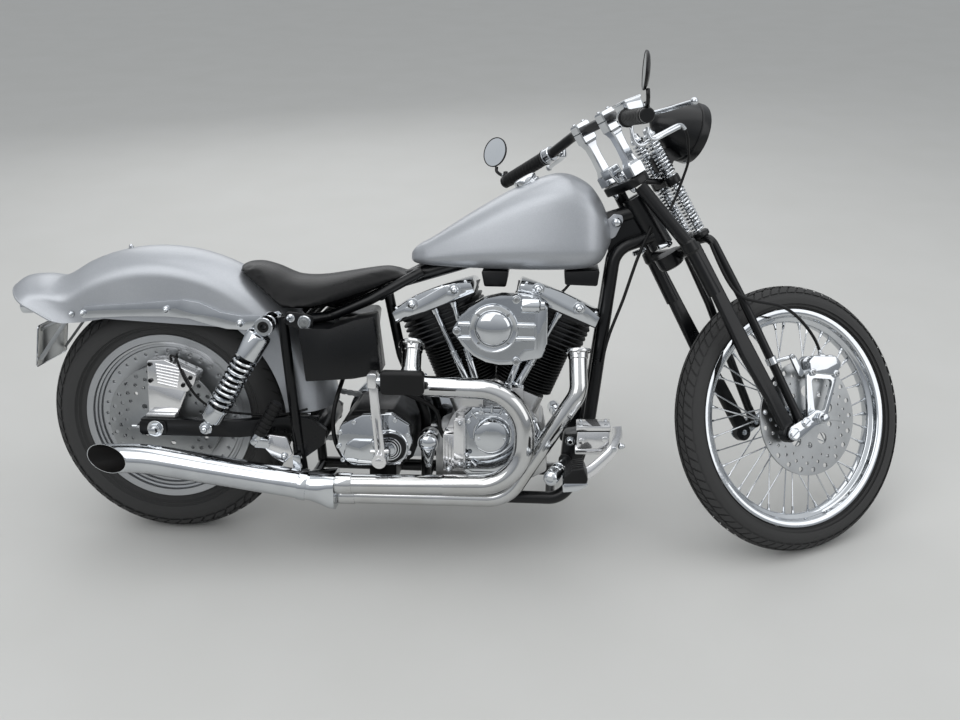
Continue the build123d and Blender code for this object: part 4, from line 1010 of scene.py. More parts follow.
@dataclass
class Tyre:
    """A motorcycle tyre: a smooth carcass with rows of slanted tread blocks on its crown."""

    name: str
    node: str
    body: Body
    hub: Vector
    radius: float
    width: float
    bead_radius: float
    bead_half: float
    tread_depth: float
    blocks: int
    rows: Sequence[Flat]
    slant: float

    def profile(self) -> list[Flat]:
        """Gives the carcass as pairs of (y, radius), bead to bead and back through the inside."""
        crown = self.width / 2
        mid = self.radius - crown
        top = crown - self.tread_depth
        arch = [(top * math.cos(math.radians(a)) + self.tread_depth * (abs(math.cos(math.radians(a))) ** 8),
                 mid + top * math.sin(math.radians(a))) for a in range(8, 91, 6)]
        wall = [(self.bead_half - 7, self.bead_radius + 1), (self.bead_half, self.bead_radius),
                (self.bead_half + 0.6, self.bead_radius + 7),
                (self.bead_half + 1.2, self.bead_radius + 13.0),
                (self.bead_half + 2.4, self.bead_radius + 14.2),
                (self.bead_half + 2.6, self.bead_radius + 16.6),
                (self.bead_half + 3.4, self.bead_radius + 17.4)]
        side = [(y, r) for y, r in wall + [(crown * 0.97, mid - 6.0)] if r < mid + 2] + arch
        side = [(min(y, crown), r) for y, r in side]
        left = [(-y, r) for y, r in reversed(side[:-1])]
        inner = [(y * 0.86, r - 7) for y, r in reversed(left[:-4])]
        inner += [(y * 0.86, r - 7) for y, r in reversed(side[4:-1])]
        return side + left + inner

    def block(self, low: float, high: float, side: int, phase: float) -> Piece:
        """Makes one tread block.

        Args:
            low: Its inner edge, in degrees from the crown's centre line.
            high: Its outer edge, in degrees.
            side: 1 for the left half of the crown and -1 for the right.
            phase: How far round the tyre it is set, in degrees.

        Returns:
            The block.
        """
        across, round_steps = 5, 3
        pitch = 360 / self.blocks
        crown = self.width / 2
        mid = self.radius - crown
        rings = []
        for depth in (self.tread_depth + 0.8, 0.0):
            for k in range(round_steps):
                ring = []
                for m in range(across):
                    share = m / (across - 1)
                    tilt = math.radians(low + (high - low) * share)
                    skew = self.slant * share
                    turn = math.radians(phase + pitch * 0.78 * (k / (round_steps - 1) - 0.5) + skew)
                    reach = crown - depth
                    y = side * reach * math.sin(tilt)
                    r = mid + reach * math.cos(tilt)
                    ring.append((self.hub.x + r * math.cos(turn), y, self.hub.z + r * math.sin(turn)))
                rings.append(ring)
        shell = [rings[0], *rings[round_steps:], rings[round_steps - 1]]
        return Bench.smooth(Bench.skin(self.name, shell, closed=False, capped=False), 30.0)

    def build(self, shop: Shop) -> None:
        """Builds the tyre in place of its plain solid."""
        parts = [Bench.lathe(self.name, self.profile(), self.hub, LEFT, 160, 50.0)]
        for low, high in self.rows:
            for side in SIDES:
                phase = 0.0 if side > 0 else 180 / self.blocks
                parts += Bench.ring_of(self.block(low, high, side, phase), self.blocks, self.hub, LEFT)
        shop.assemble(self.name, parts, TYRE_RUBBER, [self.node], body=self.body)


def front_tyre() -> Tyre:
    """Gives the narrow 21-inch front tyre."""
    return Tyre("front_tyre_tread", "front_tyre", Body.FRONT_WHEEL, FRONT_HUB, FRONT_RADIUS, 86.0, 282.5,
                27.2, 3.6, 76, [(3.5, 24.0), (28.0, 56.0)], 3.2)


def rear_tyre() -> Tyre:
    """Gives the wide 16-inch rear tyre."""
    return Tyre("rear_tyre_tread", "rear_tyre", Body.REAR_WHEEL, REAR_HUB, REAR_RADIUS, 130.0, 221.5, 44.2,
                4.2, 56, [(3.0, 20.0), (23.0, 38.0), (41.0, 58.0)], 3.6)


@dataclass
class FrontWheel:
    """A chrome drop-centre rim laced to a flanged hub with crossed spokes."""

    well_radius: float = 252.0
    spokes: int = 40
    spoke_radius: float = 1.9
    flange_radius: float = 36.0
    flange_y: float = 32.0
    cross_angle: float = math.radians(62.0)
    nipple_sink: float = 4.5

    def rim(self) -> Piece:
        """Spins the rolled rim."""
        outer = [(-31.0, 281.0), (-28.6, 281.8), (-27.4, 280.4), (-27.2, 270.0), (-25.0, 268.2),
                 (-14.0, 266.4), (-10.0, 262.0), (-8.5, 253.5), (-6.0, 252.0)]
        inner = [(6.0, 247.0), (10.5, 247.8), (13.5, 252.0), (15.5, 259.0), (19.0, 261.4), (26.0, 263.2),
                 (29.5, 265.2), (31.0, 269.0)]
        profile = outer + [(-y, r) for y, r in reversed(outer)] + inner[::-1] + [(-y, r) for y, r in inner]
        rim = Bench.lathe("front_rim_chrome", profile, FRONT_HUB, LEFT, 180, 60.0)
        return Bench.soften(rim, 0.7, 2, 50.0)

    def run(self, k: int) -> tuple[Vector, Vector]:
        """Gives a spoke's two ends, at the hub's flange and in the rim, from its number."""
        side = -1 if k % 2 else 1
        lead = 1 if (k // 2) % 2 else -1
        angle = 2 * math.pi * k / self.spokes
        start = FRONT_HUB + ray(angle + lead * self.cross_angle) * self.flange_radius
        end = FRONT_HUB + ray(angle) * (self.well_radius - self.nipple_sink)
        return start + LEFT * (side * (self.flange_y + 3.0)), end + LEFT * (side * 6.0)

    def laces(self) -> list[Piece]:
        """Makes the spokes, each with its bent head at the flange."""
        made = []
        for start, end in map(self.run, range(self.spokes)):
            made.append(Bench.bar("spoke", start, end, self.spoke_radius, sides=10))
            made.append(Bench.ball("spoke_head", start, self.spoke_radius * 1.7, (1, 0.8, 1)))
        return made

    def nipples(self) -> list[Piece]:
        """Makes the nipples that hold the spokes in the rim."""
        made = []
        for start, end in map(self.run, range(self.spokes)):
            along = (end - start).normalized()
            made.append(Bench.bar("nipple", end - along * 17, end - along * 5, 3.0, 3.4, sides=8))
            made.append(Bench.bar("nipple_collar", end - along * 6, end, 4.6, sides=12))
        return made

    def hub(self) -> Piece:
        """Spins the hub, with its flanges and the disc's carrier."""
        profile = [(-52.2, 10.5), (-52.2, 40.0), (-44.0, 40.0), (-42.0, 30.0), (-38.0, 30.0), (-37.0, 43.0),
                   (-28.0, 43.0), (-26.0, 28.0), (-20.0, 23.5), (20.0, 23.5), (26.0, 28.0), (28.0, 43.0),
                   (37.0, 43.0), (38.0, 26.0), (44.0, 22.0), (58.0, 20.0), (58.0, 10.5)]
        hub = Bench.lathe("front_hub", profile, FRONT_HUB, LEFT, 96, 30.0)
        return Bench.soften(hub, 1.0, 2, 40.0)

    def build(self, shop: Shop) -> None:
        """Builds the laced wheel in place of its plain solid."""
        shop.set_down(self.rim(), CHROME, ["front_rim"], body=Body.FRONT_WHEEL)
        shop.assemble("front_spokes", self.laces(), CHROME, body=Body.FRONT_WHEEL)
        shop.assemble("front_nipples", self.nipples(), CHROME, body=Body.FRONT_WHEEL)
        shop.set_down(self.hub(), CHROME, body=Body.FRONT_WHEEL)


def bored_disc(name: str, hub: Vector, y: float, thickness: float, outer: float, inner: float,
               rings: Sequence[tuple[int, float, float, float]]) -> Piece:
    """Makes a brake disc with rings of holes.

    Args:
        name: The piece's name.
        hub: The wheel's centre.
        y: The middle of the disc's thickness.
        thickness: Its thickness.
        outer: Its outer radius.
        inner: Its bore's radius.
        rings: Rows of (count, ring radius, hole radius, first angle in degrees).

    Returns:
        The disc.
    """
    half = thickness / 2
    profile = [(y - half, inner), (y - half, outer - 0.6), (y - half + 0.6, outer), (y + half - 0.6, outer),
               (y + half, outer - 0.6), (y + half, inner)]
    disc = Bench.lathe(name, profile, (hub.x, 0, hub.z), LEFT, 144, 30.0)
    return Bench.smooth(Bench.bore(disc, hub, y - 20, y + 20, rings, 20), 30.0)


class RearWheel:
    """A machined aluminium wheel: a stepped rim, a dished centre and a drilled flange."""

    def build(self, shop: Shop) -> None:
        """Builds the wheel in place of its plain solid, and the sprocket beside it."""
        turned = TurnedMetal("turned_aluminium", "polished_aluminium", "#bdbfc1", "#b2b4b6", 1.0, 0.38, 0.02,
                             0.9, 0.02, patch_mm=400, hub=tuple(shop.stance.rear_hub),
                             axle=tuple(shop.stance.frame_matrix.to_3x3() @ (LEFT * 1000)))
        profile = [(-48.0, 220.0), (-46.0, 221.4), (-44.4, 220.0), (-44.4, 206.0), (-42.0, 204.0),
                   (-22.0, 202.0), (-15.0, 188.0), (15.0, 188.0), (22.0, 202.0), (42.0, 204.0),
                   (44.4, 206.0), (44.4, 220.0), (46.0, 221.4), (48.0, 220.0), (48.0, 200.0), (30.0, 196.0),
                   (22.0, 184.0), (-8.0, 182.0), (-8.0, 46.0), (62.0, 42.0), (62.0, 10.5), (-75.2, 10.5),
                   (-75.2, 40.0), (-66.0, 42.0), (-32.0, 46.0), (-22.0, 52.0), (-22.0, 142.0),
                   (-27.0, 144.0), (-28.0, 160.0), (-28.0, 184.0), (-34.0, 187.0), (-34.0, 193.0),
                   (-40.0, 195.0), (-41.0, 200.0), (-48.0, 203.0)]
        wheel = Bench.lathe("rear_wheel_turned", profile, REAR_HUB, LEFT, 180, 30.0)
        Bench.bore(wheel, REAR_HUB, -60, 30, ((36, 172.0, 4.2, 0.0), (6, 98.0, 25.0, 30.0)))
        Bench.soften(wheel, 0.8, 2, 45.0)
        shop.set_down(wheel, turned, ["rear_rim"], body=Body.REAR_WHEEL)
        shop.set_down(self.sprocket(), GROUND_STEEL, body=Body.REAR_WHEEL)

    def sprocket(self) -> Piece:
        """Makes the toothed sprocket with its lightening holes."""
        teeth = 48
        outline = []
        for k in range(teeth * 4):
            angle = 2 * math.pi * k / (teeth * 4)
            radius = (101.0, 105.5, 105.5, 101.0)[k % 4]
            outline.append((REAR_HUB.x + radius * math.cos(angle), REAR_HUB.z + radius * math.sin(angle)))
        plate = Bench.side_slab("rear_sprocket", outline, 81.0, 87.0, 0.5, 1)
        Bench.bore(plate, REAR_HUB, 70, 95, ((8, 74, 12.0, 0),))
        boss = Bench.lathe("boss", [(62.0, 10.5), (62.0, 48.0), (87.0, 44.0), (87.4, 30.0), (87.4, 10.5)],
                           REAR_HUB, LEFT)
        return Bench.join("rear_sprocket", [plate, boss])


@dataclass
class FuelTank:
    """A teardrop tank with a rounded nose, a tunnel over the backbone and a chrome filler cap."""

    # (x, floor, top, half width, corner radius)
    table: Sequence[tuple[float, ...]] = ((638, 741, 757, 15, 6), (646, 735, 769, 31, 14),
                                          (662, 732, 781, 46, 22), (692, 731, 797, 64, 28),
                                          (790, 729, 861, 96, 50), (900, 729, 924, 117, 64),
                                          (1000, 731, 959, 125, 68), (1070, 736, 937, 118, 64),
                                          (1108, 750, 892, 92, 48), (1128, 784, 848, 54, 26),
                                          (1135, 804, 828, 26, 10))

    def ring(self, x: float, floor: float, top: float, half: float, corner: float) -> list[Point]:
        """Gives one cross-section, narrower and rounder at its top."""
        tall = top - floor
        shoulder = half * 0.70
        low = min(corner * 0.75, tall * 0.38)
        high = min(corner * 1.15, tall * 0.6, shoulder * 0.98)
        route = Bench.bent([(x, 0, floor), (x, half, floor), (x, shoulder, top), (x, -shoulder, top),
                            (x, -half, floor), (x, 0, floor)], [low, high, high, low], 8)
        return [tuple(point) for point in route[:-1]]

    def build(self, shop: Shop) -> None:
        """Builds the tank, its cap, its front ear and the bolt through the ear."""
        rings = [self.ring(*row) for row in Bench.rows(self.table, 5)]
        tank = Bench.skin("tank_shell", rings, levels=1)
        slope = (868 - 686) / 485
        low = Vector((612, 0, 686 + slope * 6))
        high = Vector((1180, 0, 686 + slope * 574))
        tunnel = [low + Vector((0, -26, 20)), low + Vector((0, 26, 20)), low + Vector((0, 26, -90)),
                  low + Vector((0, -26, -90))]
        Bench.carve(tank, Bench.slab("tunnel", tunnel, high - low))
        Bench.smooth(tank, 40.0)
        shop.set_down(tank, SILVER_PAINT, ["fuel_tank"])
        cap = [(0, 0), (0, 33), (5, 33), (6.5, 31), (7, 29.5), (16, 29.5), (19, 28), (21.5, 22), (22.5, 12),
               (22.8, 0)]
        axis = (-0.5, 0, 0.87)
        shop.set_down(Bench.lathe("filler_cap", cap, (925, 0, 930), axis, 64, 30.0), CHROME)
        ear = Bench.plate("tank_ear", [(1116, 846), (1128, 800), (1144, 812), (1161, 850), (1158, 864),
                                       (1138, 867)], [4, 8, 12, 10, 8, 8], -38, -33, 1.5)
        shop.set_down(ear, SILVER_PAINT)
        stay = Bench.bar("tank_bolt_stay", (1145, -33, 846), (1145, 33, 846), 9)
        knob = Bench.lathe("tank_bolt", [(0, 0), (0, 12), (2, 12.4), (5, 11.4), (9, 8), (11, 4), (11.4, 0)],
                           (1145, -38, 846), RIGHT, 48)
        shop.assemble("tank_front_bolt", [stay, knob], CHROME)


@dataclass
class RearFender:
    """A sheet fender with a crowned arch, a flared tail and a wired edge."""

    half: float = 100.0
    crest: float = 445.0
    wall: float = 3.0

    def arch(self, half: float, top: float, foot: float, inset: float) -> list[Flat]:
        """Gives the arched section as (y, height) pairs from the right foot to the left one."""
        wide = half - inset
        big = 1.28 * half - inset
        small = 50.0 - inset
        centre = top - inset - big
        corner = centre + math.sqrt((big - small) ** 2 - (wide - small) ** 2)
        turn = math.atan2(corner - centre, wide - small)
        side = [(wide, foot + (corner - foot) * k / 3) for k in range(3)]
        side += [(wide - small + small * math.cos(turn * k / 7), corner + small * math.sin(turn * k / 7))
                 for k in range(8)]
        side += [(big * math.cos(turn + (math.pi / 2 - turn) * k / 8),
                  centre + big * math.sin(turn + (math.pi / 2 - turn) * k / 8)) for k in range(1, 8)]
        return [(-y, z) for y, z in side] + [(0.0, top - inset)] + side[::-1]

    def stations(self) -> list[tuple[float, ...]]:
        """Gives rows of (foot x, foot z, angle, height, half width) from the fender's front to its tail."""
        rows = []
        for k in range(28):
            angle = 6 + 110 * k / 27
            turn = math.radians(angle)
            foot = 327.0 if angle < 51.2 else 264.6 / (math.sin(turn) + 0.0477 * math.cos(turn))
            rows.append((foot * math.cos(turn), 318 + foot * math.sin(turn), angle, self.crest - foot,
                         self.half))
        tail = [rows[-1], (-189.3, 578.5, 126, 126, 100), (-215, 577, 136.3, 152, 104),
                (-237, 577, 142, 163, 112), (-262, 585, 150.2, 149, 122)]
        return rows[:-1] + Bench.rows(tail, 4)

    def place(self, row: tuple[float, ...], y: float, height: float) -> Point:
        """Puts a point of a section in its place."""
        turn = math.radians(row[2])
        return (row[0] + height * math.cos(turn), y, row[1] + height * math.sin(turn))

    def build(self, shop: Shop) -> None:
        """Builds the sheet and the bead along its tail."""
        rings = []
        for row in self.stations():
            outer = self.arch(row[4], row[3], 0.0, 0.0)
            inner = self.arch(row[4], row[3], 0.0, self.wall)
            rings.append([self.place(row, y, z) for y, z in outer + inner[::-1]])
        fender = Bench.skin("fender_sheet", rings)
        notch = Bench.side_slab("chain_notch", [(330, 320), (330, 404), (460, 404), (460, 320)], 67, 120)
        Bench.carve(fender, notch)
        Bench.smooth(fender, 40.0)
        shop.set_down(fender, SILVER_PAINT, ["rear_fender"])
        tail = self.stations()[-1]
        edge = [self.place(tail, y, z) for y, z in self.arch(tail[4], tail[3], 0.0, 2.8)]
        shop.set_down(Bench.tube("fender_bead", edge, 3.3, 3), SILVER_PAINT)


class Seat:
    """A thin solo seat: one crowned pad of smooth vinyl."""

    # (x, top height, half width, fall towards the sides)
    SECTIONS = (
        (182, 704, 58, 30), (222, 729, 98, 56), (281, 716, 120, 64), (340, 692, 125, 61), (400, 690, 122, 58),
        (460, 699, 104, 50), (520, 710, 82, 40), (580, 719, 60, 32), (630, 713, 44, 24))
    # (x, underside height)
    FLOOR = ((182, 700), (222, 674), (281, 628), (340, 626), (400, 627), (460, 640), (520, 659), (580, 687),
             (630, 706))

    def ring(self, x: float, top: float, half: float, fall: float, floor: float) -> list[Point]:
        """Gives one cross-section: a crowned top, rolled sides and a flat underside."""
        side = top - fall
        drop = max(side, floor + 4)
        over = [(half * math.sin(a), drop + (top - drop) * math.cos(a) ** 1.15)
                for a in (math.radians(d) for d in range(0, 91, 9))]
        under = [(half * 0.995, floor + (drop - floor) * 0.5), (half * 0.97, floor + 2), (half * 0.9, floor),
                 (half * 0.5, floor), (0, floor)]
        ring = over + under
        return [(x, y, z) for y, z in ring] + [(x, -y, z) for y, z in ring[-2:0:-1]]

    def build(self, shop: Shop) -> None:
        """Builds the pad, which a short cloth simulation swells, and smooths it."""
        table = [(*row, floor) for row, (_, floor) in zip(self.SECTIONS, self.FLOOR)]
        pad = Bench.skin("seat_pad", [self.ring(*row) for row in Bench.rows(table, 4)])
        arch = Bench.bar("arch", (0, -150, 318), (0, 150, 318), 449, sides=160)
        Bench.carve(pad, arch)
        pad.data.transform(Matrix.Diagonal((MM, MM, MM, 1)))
        pad = Bench.apply(pad, "REMESH", mode="VOXEL", voxel_size=5 * MM)
        rest = [vertex.co.copy() for vertex in pad.data.vertices]
        Bench.pick(pad)
        cloth = pad.modifiers.new("swell", "CLOTH")
        cloth.settings.use_pressure = True
        cloth.settings.uniform_pressure_force = 4.0
        cloth.settings.effector_weights.gravity = 0.0
        cloth.settings.mass = 0.3
        for step in range(1, 21):
            bpy.context.scene.frame_set(step)
        bpy.ops.object.modifier_apply(modifier=cloth.name)
        bpy.context.scene.frame_set(1)
        for vertex, start in zip(pad.data.vertices, rest):
            move = vertex.co - start
            if move.length > 4 * MM:
                vertex.co = start + move.normalized() * 4 * MM
        pad = Bench.apply(pad, "SMOOTH", factor=0.5, iterations=4)
        pad = Bench.apply(pad, "SUBSURF", levels=1, render_levels=1)
        pad.data.transform(Matrix.Diagonal((1000, 1000, 1000, 1)))
        Bench.smooth(pad, 60.0)
        shop.set_down(pad, SEAT_VINYL, ["seat"])


class FenderStruts:
    """Polished struts along the fender, with their domed bolts."""

    def build(self, shop: Shop) -> None:
        """Builds both struts in place of their plain solids."""
        outline = Bench.outline([(-192, 606), (-178, 621), (-69, 630), (12, 637), (77, 644), (119, 637),
                                 (171, 614), (224, 606), (285, 609), (318, 622), (334, 604), (320, 588),
                                 (296, 574), (249, 570), (185, 572), (143, 581), (90, 596), (36, 600),
                                 (-71, 598), (-184, 590)], 5)
        strut = Bench.side_slab("strut", outline, -108.4, -100.6, 3.0, 3)
        mount = Bench.lathe("mount", [(0, 0), (0, 20), (6, 22), (10, 19), (26, 17), (30, 9), (36, 7),
                                      (60, 7), (60, 0)], (299, -108, 598), RIGHT, 48)
        inner = Bench.bar("rail_stud", (322, -110.5, 605), (322, -108, 605), 9)
        shop.pair("fender_struts_polished", [strut, mount, inner], CHROME, ["fender_struts"])
        nuts = [Bench.acorn("strut_nut", (x, -108.4, z), RIGHT, size)
                for x, z, size in ((-182, 604, 7), (34, 618, 8.5), (220, 588, 8.5))]
        nuts.append(Bench.acorn("fender_nut", (-214, -103, 600), (-0.1, -1, 0), 6))
        shop.pair("strut_nuts", nuts, CHROME)
        top = [Bench.acorn("fender_screw", (-87, 0, 754), (-0.2, 0, 1), 6)]
        shop.assemble("fender_top_screw", top, CHROME)


@dataclass
class Shocks:
    """A pair of spring dampers with chrome covers, open coils and rubber-bushed eyes."""

    low: Vector = Vector((143.0, -176.0, 336.0)).freeze()
    high: Vector = Vector((299.0, -176.0, 598.0)).freeze()

    def build(self, shop: Shop) -> None:
        """Builds both dampers in place of their plain solids."""
        axis = (self.high - self.low).normalized()
        length = (self.high - self.low).length
        covers = [Bench.lathe("top_cover", [(length - 88, 20), (length - 88, 30.5), (length - 30, 30.5),
                                            (length - 25, 28.5), (length - 22, 23), (length - 21, 12),
                                            (length - 21, 0), (length - 84, 0)], self.low, axis, 64),
                  Bench.lathe("low_cover", [(20, 0), (20, 16), (23, 25), (27, 26.5), (56, 26.5), (58, 29),
                                            (64, 29), (64, 14), (64, 0)], self.low, axis, 64)]
        for point, radius, bore in ((self.low, 16, 9), (self.high, 23, 14)):
            ring = [(-15, bore), (-15, radius - 2), (-13, radius), (13, radius), (15, radius - 2), (15, bore)]
            covers.append(Bench.lathe("eye", ring, point, LEFT, 64))
            foot = point + axis * (12 if point is self.low else -12)
            covers.append(Bench.bar("eye_neck", foot, foot + axis * (12 if point is self.low else -12), 11))
        covers.append(Bench.acorn("low_nut", self.low + LEFT * (-15.2), RIGHT, 10))
        shop.pair("shock_covers", covers, CHROME, ["shocks"])
        body = [Bench.bar("damper", self.low + axis * 60, self.low + axis * (length - 84), 15)]
        bushes = [Bench.lathe("bush", [(-16, 7.2), (-16, 13), (-14, 14), (14, 14), (16, 13), (16, 7.2)],
                              self.high, LEFT, 48),
                  Bench.lathe("bush", [(-14.6, 7.2), (-14.6, 9), (14.6, 9), (14.6, 7.2)], self.low, LEFT,
                              48)]
        shop.pair("shock_dampers", body, BLACK_PAINT)
        shop.pair("shock_bushes", bushes, SOFT_RUBBER)
        coil = Bench.coil("spring", self.low + axis * 67, self.low + axis * (length - 92), 25.6, 4.4, 9.5)
        shop.pair("shock_springs", [coil], CHROME)


class Swingarm:
    """The black rear arms with their slotted ends, adjusters and the axle's nuts."""

    def build(self, shop: Shop) -> None:
        """Rounds the arms' edges and adds what sits on them."""
        shop.reuse("swingarm_arms", "swingarm", 3, BLACK_PAINT)
        plates = []
        nuts = []
        for side in SIDES:
            face = side * 144.5
            outline = Bench.outline([(-42, 302), (28, 302), (28, 338), (-42, 338)], 9)
            plates.append(Bench.side_slab("axle_plate", outline, *sorted((face, face + side * 3)), 1.0))
            nuts.append(Bench.lathe("axle_washer", [(0, 10), (0, 21), (2, 21), (3, 20), (3, 10)],
                                    (0, face + side * 3, 318), (0, side, 0), 48))
            nuts.append(Bench.bolt("adjuster", (-42, side * 132, 318), (-1, 0, 0), 15, 9))
            nuts.append(Bench.bar("adjuster_rod", (-50, side * 132, 318), (-66, side * 132, 318), 4))
        shop.assemble("axle_plates", plates, BLACK_PAINT)
        shop.assemble("axle_washers", nuts, CHROME)
        shop.reuse("rear_axle_bar", "rear_axle", 0.8, CHROME)


class RearBrake:
    """The ribbed caliper over the drilled disc, on its bracket, with its hose."""

    def build(self, shop: Shop) -> None:
        """Builds the caliper, the disc and the hose."""
        holes = [(24, 134, 5.6, 0), (24, 117, 5.2, 7.5), (24, 100, 4.6, 0), (5, 62, 7, 0)]
        disc = bored_disc("rear_disc_plate", REAR_HUB, -78.0, 5.0, 146.0, 40.2, holes)
        shop.set_down(disc, GROUND_STEEL, ["rear_disc"], body=Body.REAR_WHEEL)
        outline = Bench.outline([(-26, 486), (20, 489), (103, 452), (94, 425), (74, 405), (-26, 420)], 7)
        body = Bench.side_slab("caliper_body", outline, -112, -56, 3.0, 3)
        slot = Bench.lathe("slot", [(-82, 60), (-82, 149), (-74, 149), (-74, 60)], (0, 0, 318), LEFT, 96)
        Bench.carve(body, slot)
        bracket = Bench.plate("bracket", [(-26, 424), (74, 409), (47, 344), (-28, 344)], 6, -112, -101, 2.0)
        foot = Bench.side_slab("foot", [(-28, 342.5), (-28, 352), (47, 352), (47, 342.5)], -132, -101, 1.5)
        ribs = []
        for k in range(7):
            z = 477 - k * 8.0
            end = 60 - k * 1.5
            ribs.append(Bench.bar("rib", (-2 + k * 0.4, -112.5, z), (end, -112.5, z - 11), 2.6, sides=12,
                                  rounding=0))
        parts = [Bench.smooth(body, 30), bracket, foot, *ribs]
        shop.assemble("rear_caliper_alloy", parts, POLISHED_ALLOY, ["rear_caliper"])
        bolts = [Bench.screw("caliper_bolt", (x, -112, z), RIGHT, 5.5, 5)
                 for x, z in ((-17, 477), (-18, 434), (66, 424), (86, 444))]
        bolts += [Bench.bar("bleed", (40, -84, 478), (44, -84, 494), 4),
                  Bench.bar("bleed", (44, -84, 494), (45, -84, 500), 2.4)]
        shop.assemble("rear_caliper_bolts", bolts, BLACK_PAINT)
        hose = [(36, -100, 484), (30, -104, 500), (52, -112, 498), (62, -118, 468), (78, -120, 430),
                (108, -116, 384), (150, -110, 358), (230, -108, 350), (330, -112, 352), (384, -118, 372)]
        shop.cable("rear_brake_line", hose, 3.2, SOFT_RUBBER)


class TailPieces:
    """The bullet tail lamp, the plate bracket with its braces, and the bare plate."""

    def on_plate(self, y: float, z: float) -> Point:
        """Gives the point at a height on the back of the leaning plate."""
        return (-325 + 13.2 * (z - 455) / 107, y, z)

    def build(self, shop: Shop) -> None:
        """Builds the lamp, bracket and plate in place of their plain solids."""
        shell = [(-44, 0), (-44, 8), (-4, 10), (2, 16), (12, 21), (28, 22), (34, 22), (36, 20.5), (36, 18),
                 (28, 17), (28, 0)]
        lamp = Bench.lathe("tail_lamp_shell", shell, (-352, 0, 598), (-1, 0, 0), 48)
        shop.set_down(lamp, CHROME, ["tail_lamp"])
        lens = Bench.lathe("tail_lamp_lens", [(29, 0), (29, 16.8), (35, 16.8), (38, 13), (39.3, 7),
                                              (39.6, 0)], (-352, 0, 598), (-1, 0, 0), 48)
        shop.set_down(lens, RED_LENS)
        parts = [Bench.copy_node("bracket_copy", shop.nodes["plate_bracket"], 0.6 * MM)]
        parts[0].data.transform(shop.stance.matrix(Body.FRAME).inverted())
        for side in SIDES:
            parts.append(Bench.bar("brace", (-318, side * 70, 470), (-226, side * 84, 592), 3.6, sides=12))
            parts.append(Bench.bar("brace", (-318, side * 70, 548), (-232, side * 84, 588), 3.6, sides=12))
        parts.append(Bench.bar("cross_brace", (-314, -70, 548), (-314, 70, 548), 3.6, sides=12))
        parts.append(Bench.plate("near_brace", [(-322, 474), (-312, 486), (-229, 598), (-222, 590),
                                                (-308, 472)], 2, -86, -83, 0.8))
        shop.assemble("plate_brackets", parts, GROUND_STEEL, ["plate_bracket"])
        corners = [self.on_plate(y, z)
                   for y, z in Bench.outline([(-88, 455), (88, 455), (88, 562), (-88, 562)], 7)]
        plate = Bench.slab("bare_plate", corners, (1.6, 0, 0), 0.5, 1)
        shop.set_down(plate, PLATE_WHITE, ["licence_plate"])
        edge = [Vector(corner) + Vector((0.8, 0, 0)) for corner in corners]
        rim = [Bench.tube("plate_rim", edge + [edge[0]], 2.0, 2)]
        rim += [Bench.screw("plate_screw", self.on_plate(y, z), (-1, 0, 0.12), 4, 3)
                for y in (-60, 60) for z in (474, 545)]
        shop.assemble("plate_frame", rim, CHROME)


class DriveChain:
    """A roller chain of separate links round both sprockets."""

    PITCH = 15.875
    REAR = 107.0
    FRONT = 45.0

    def build(self, shop: Shop) -> None:
        """Builds the chain."""
        front = Vector((560.0, 0, 290.0))
        rear = REAR_HUB
        run = math.atan2(front.z - rear.z, front.x)
        gap = (front - rear).length
        spread = math.acos((self.REAR - self.FRONT) / gap)
        radii = (self.REAR + 6, self.FRONT + 6)
        straight = math.sqrt(gap ** 2 - (radii[0] - radii[1]) ** 2)
        lengths = (straight, radii[1] * 2 * spread, straight, radii[0] * (2 * math.pi - 2 * spread))
        count = round(sum(lengths) / self.PITCH / 2) * 2

        def point(along: float) -> Vector:
            """Gives the chain's middle line at a distance along it."""
            along %= sum(lengths)
            if along < lengths[0]:
                angle = run + spread
                return rear + ray(angle) * radii[0] + ray(angle - math.pi / 2) * along
            along -= lengths[0]
            if along < lengths[1]:
                return front + ray(run + spread - along / radii[1]) * radii[1]
            along -= lengths[1]
            if along < lengths[2]:
                angle = run - spread
                return front + ray(angle) * radii[1] + ray(angle - math.pi / 2) * along
            return rear + ray(run - spread - (along - lengths[2]) / radii[0]) * radii[0]

        parts = []
        for k in range(count):
            start = point(k * sum(lengths) / count)
            end = point((k + 1) * sum(lengths) / count)
            ahead = (end - start).normalized()
            up = Vector((-ahead.z, 0, ahead.x))
            reach = 4.6 if k % 2 else 6.4
            shape = [start - ahead * 6.0, start - ahead * 4 + up * 6.0, start + ahead * 3 + up * 6,
                     (start + end) / 2 + up * 4.4, end - ahead * 3 + up * 6, end + ahead * 4 + up * 6,
                     end + ahead * 6.0, end + ahead * 4 - up * 6, end - ahead * 3 - up * 6,
                     (start + end) / 2 - up * 4.4, start + ahead * 3 - up * 6, start - ahead * 4 - up * 6]
            for side in SIDES:
                y = 84 + side * reach
                parts.append(Bench.slab("plate", [p + Vector((0, y - 0.8, 0)) for p in shape], (0, 1.6, 0)))
            parts.append(Bench.bar("pin", start + LEFT * 76.6, start + LEFT * 91.4, 4.4, sides=12))
        shop.assemble("chain_links", parts, GROUND_STEEL, ["drive_chain"])


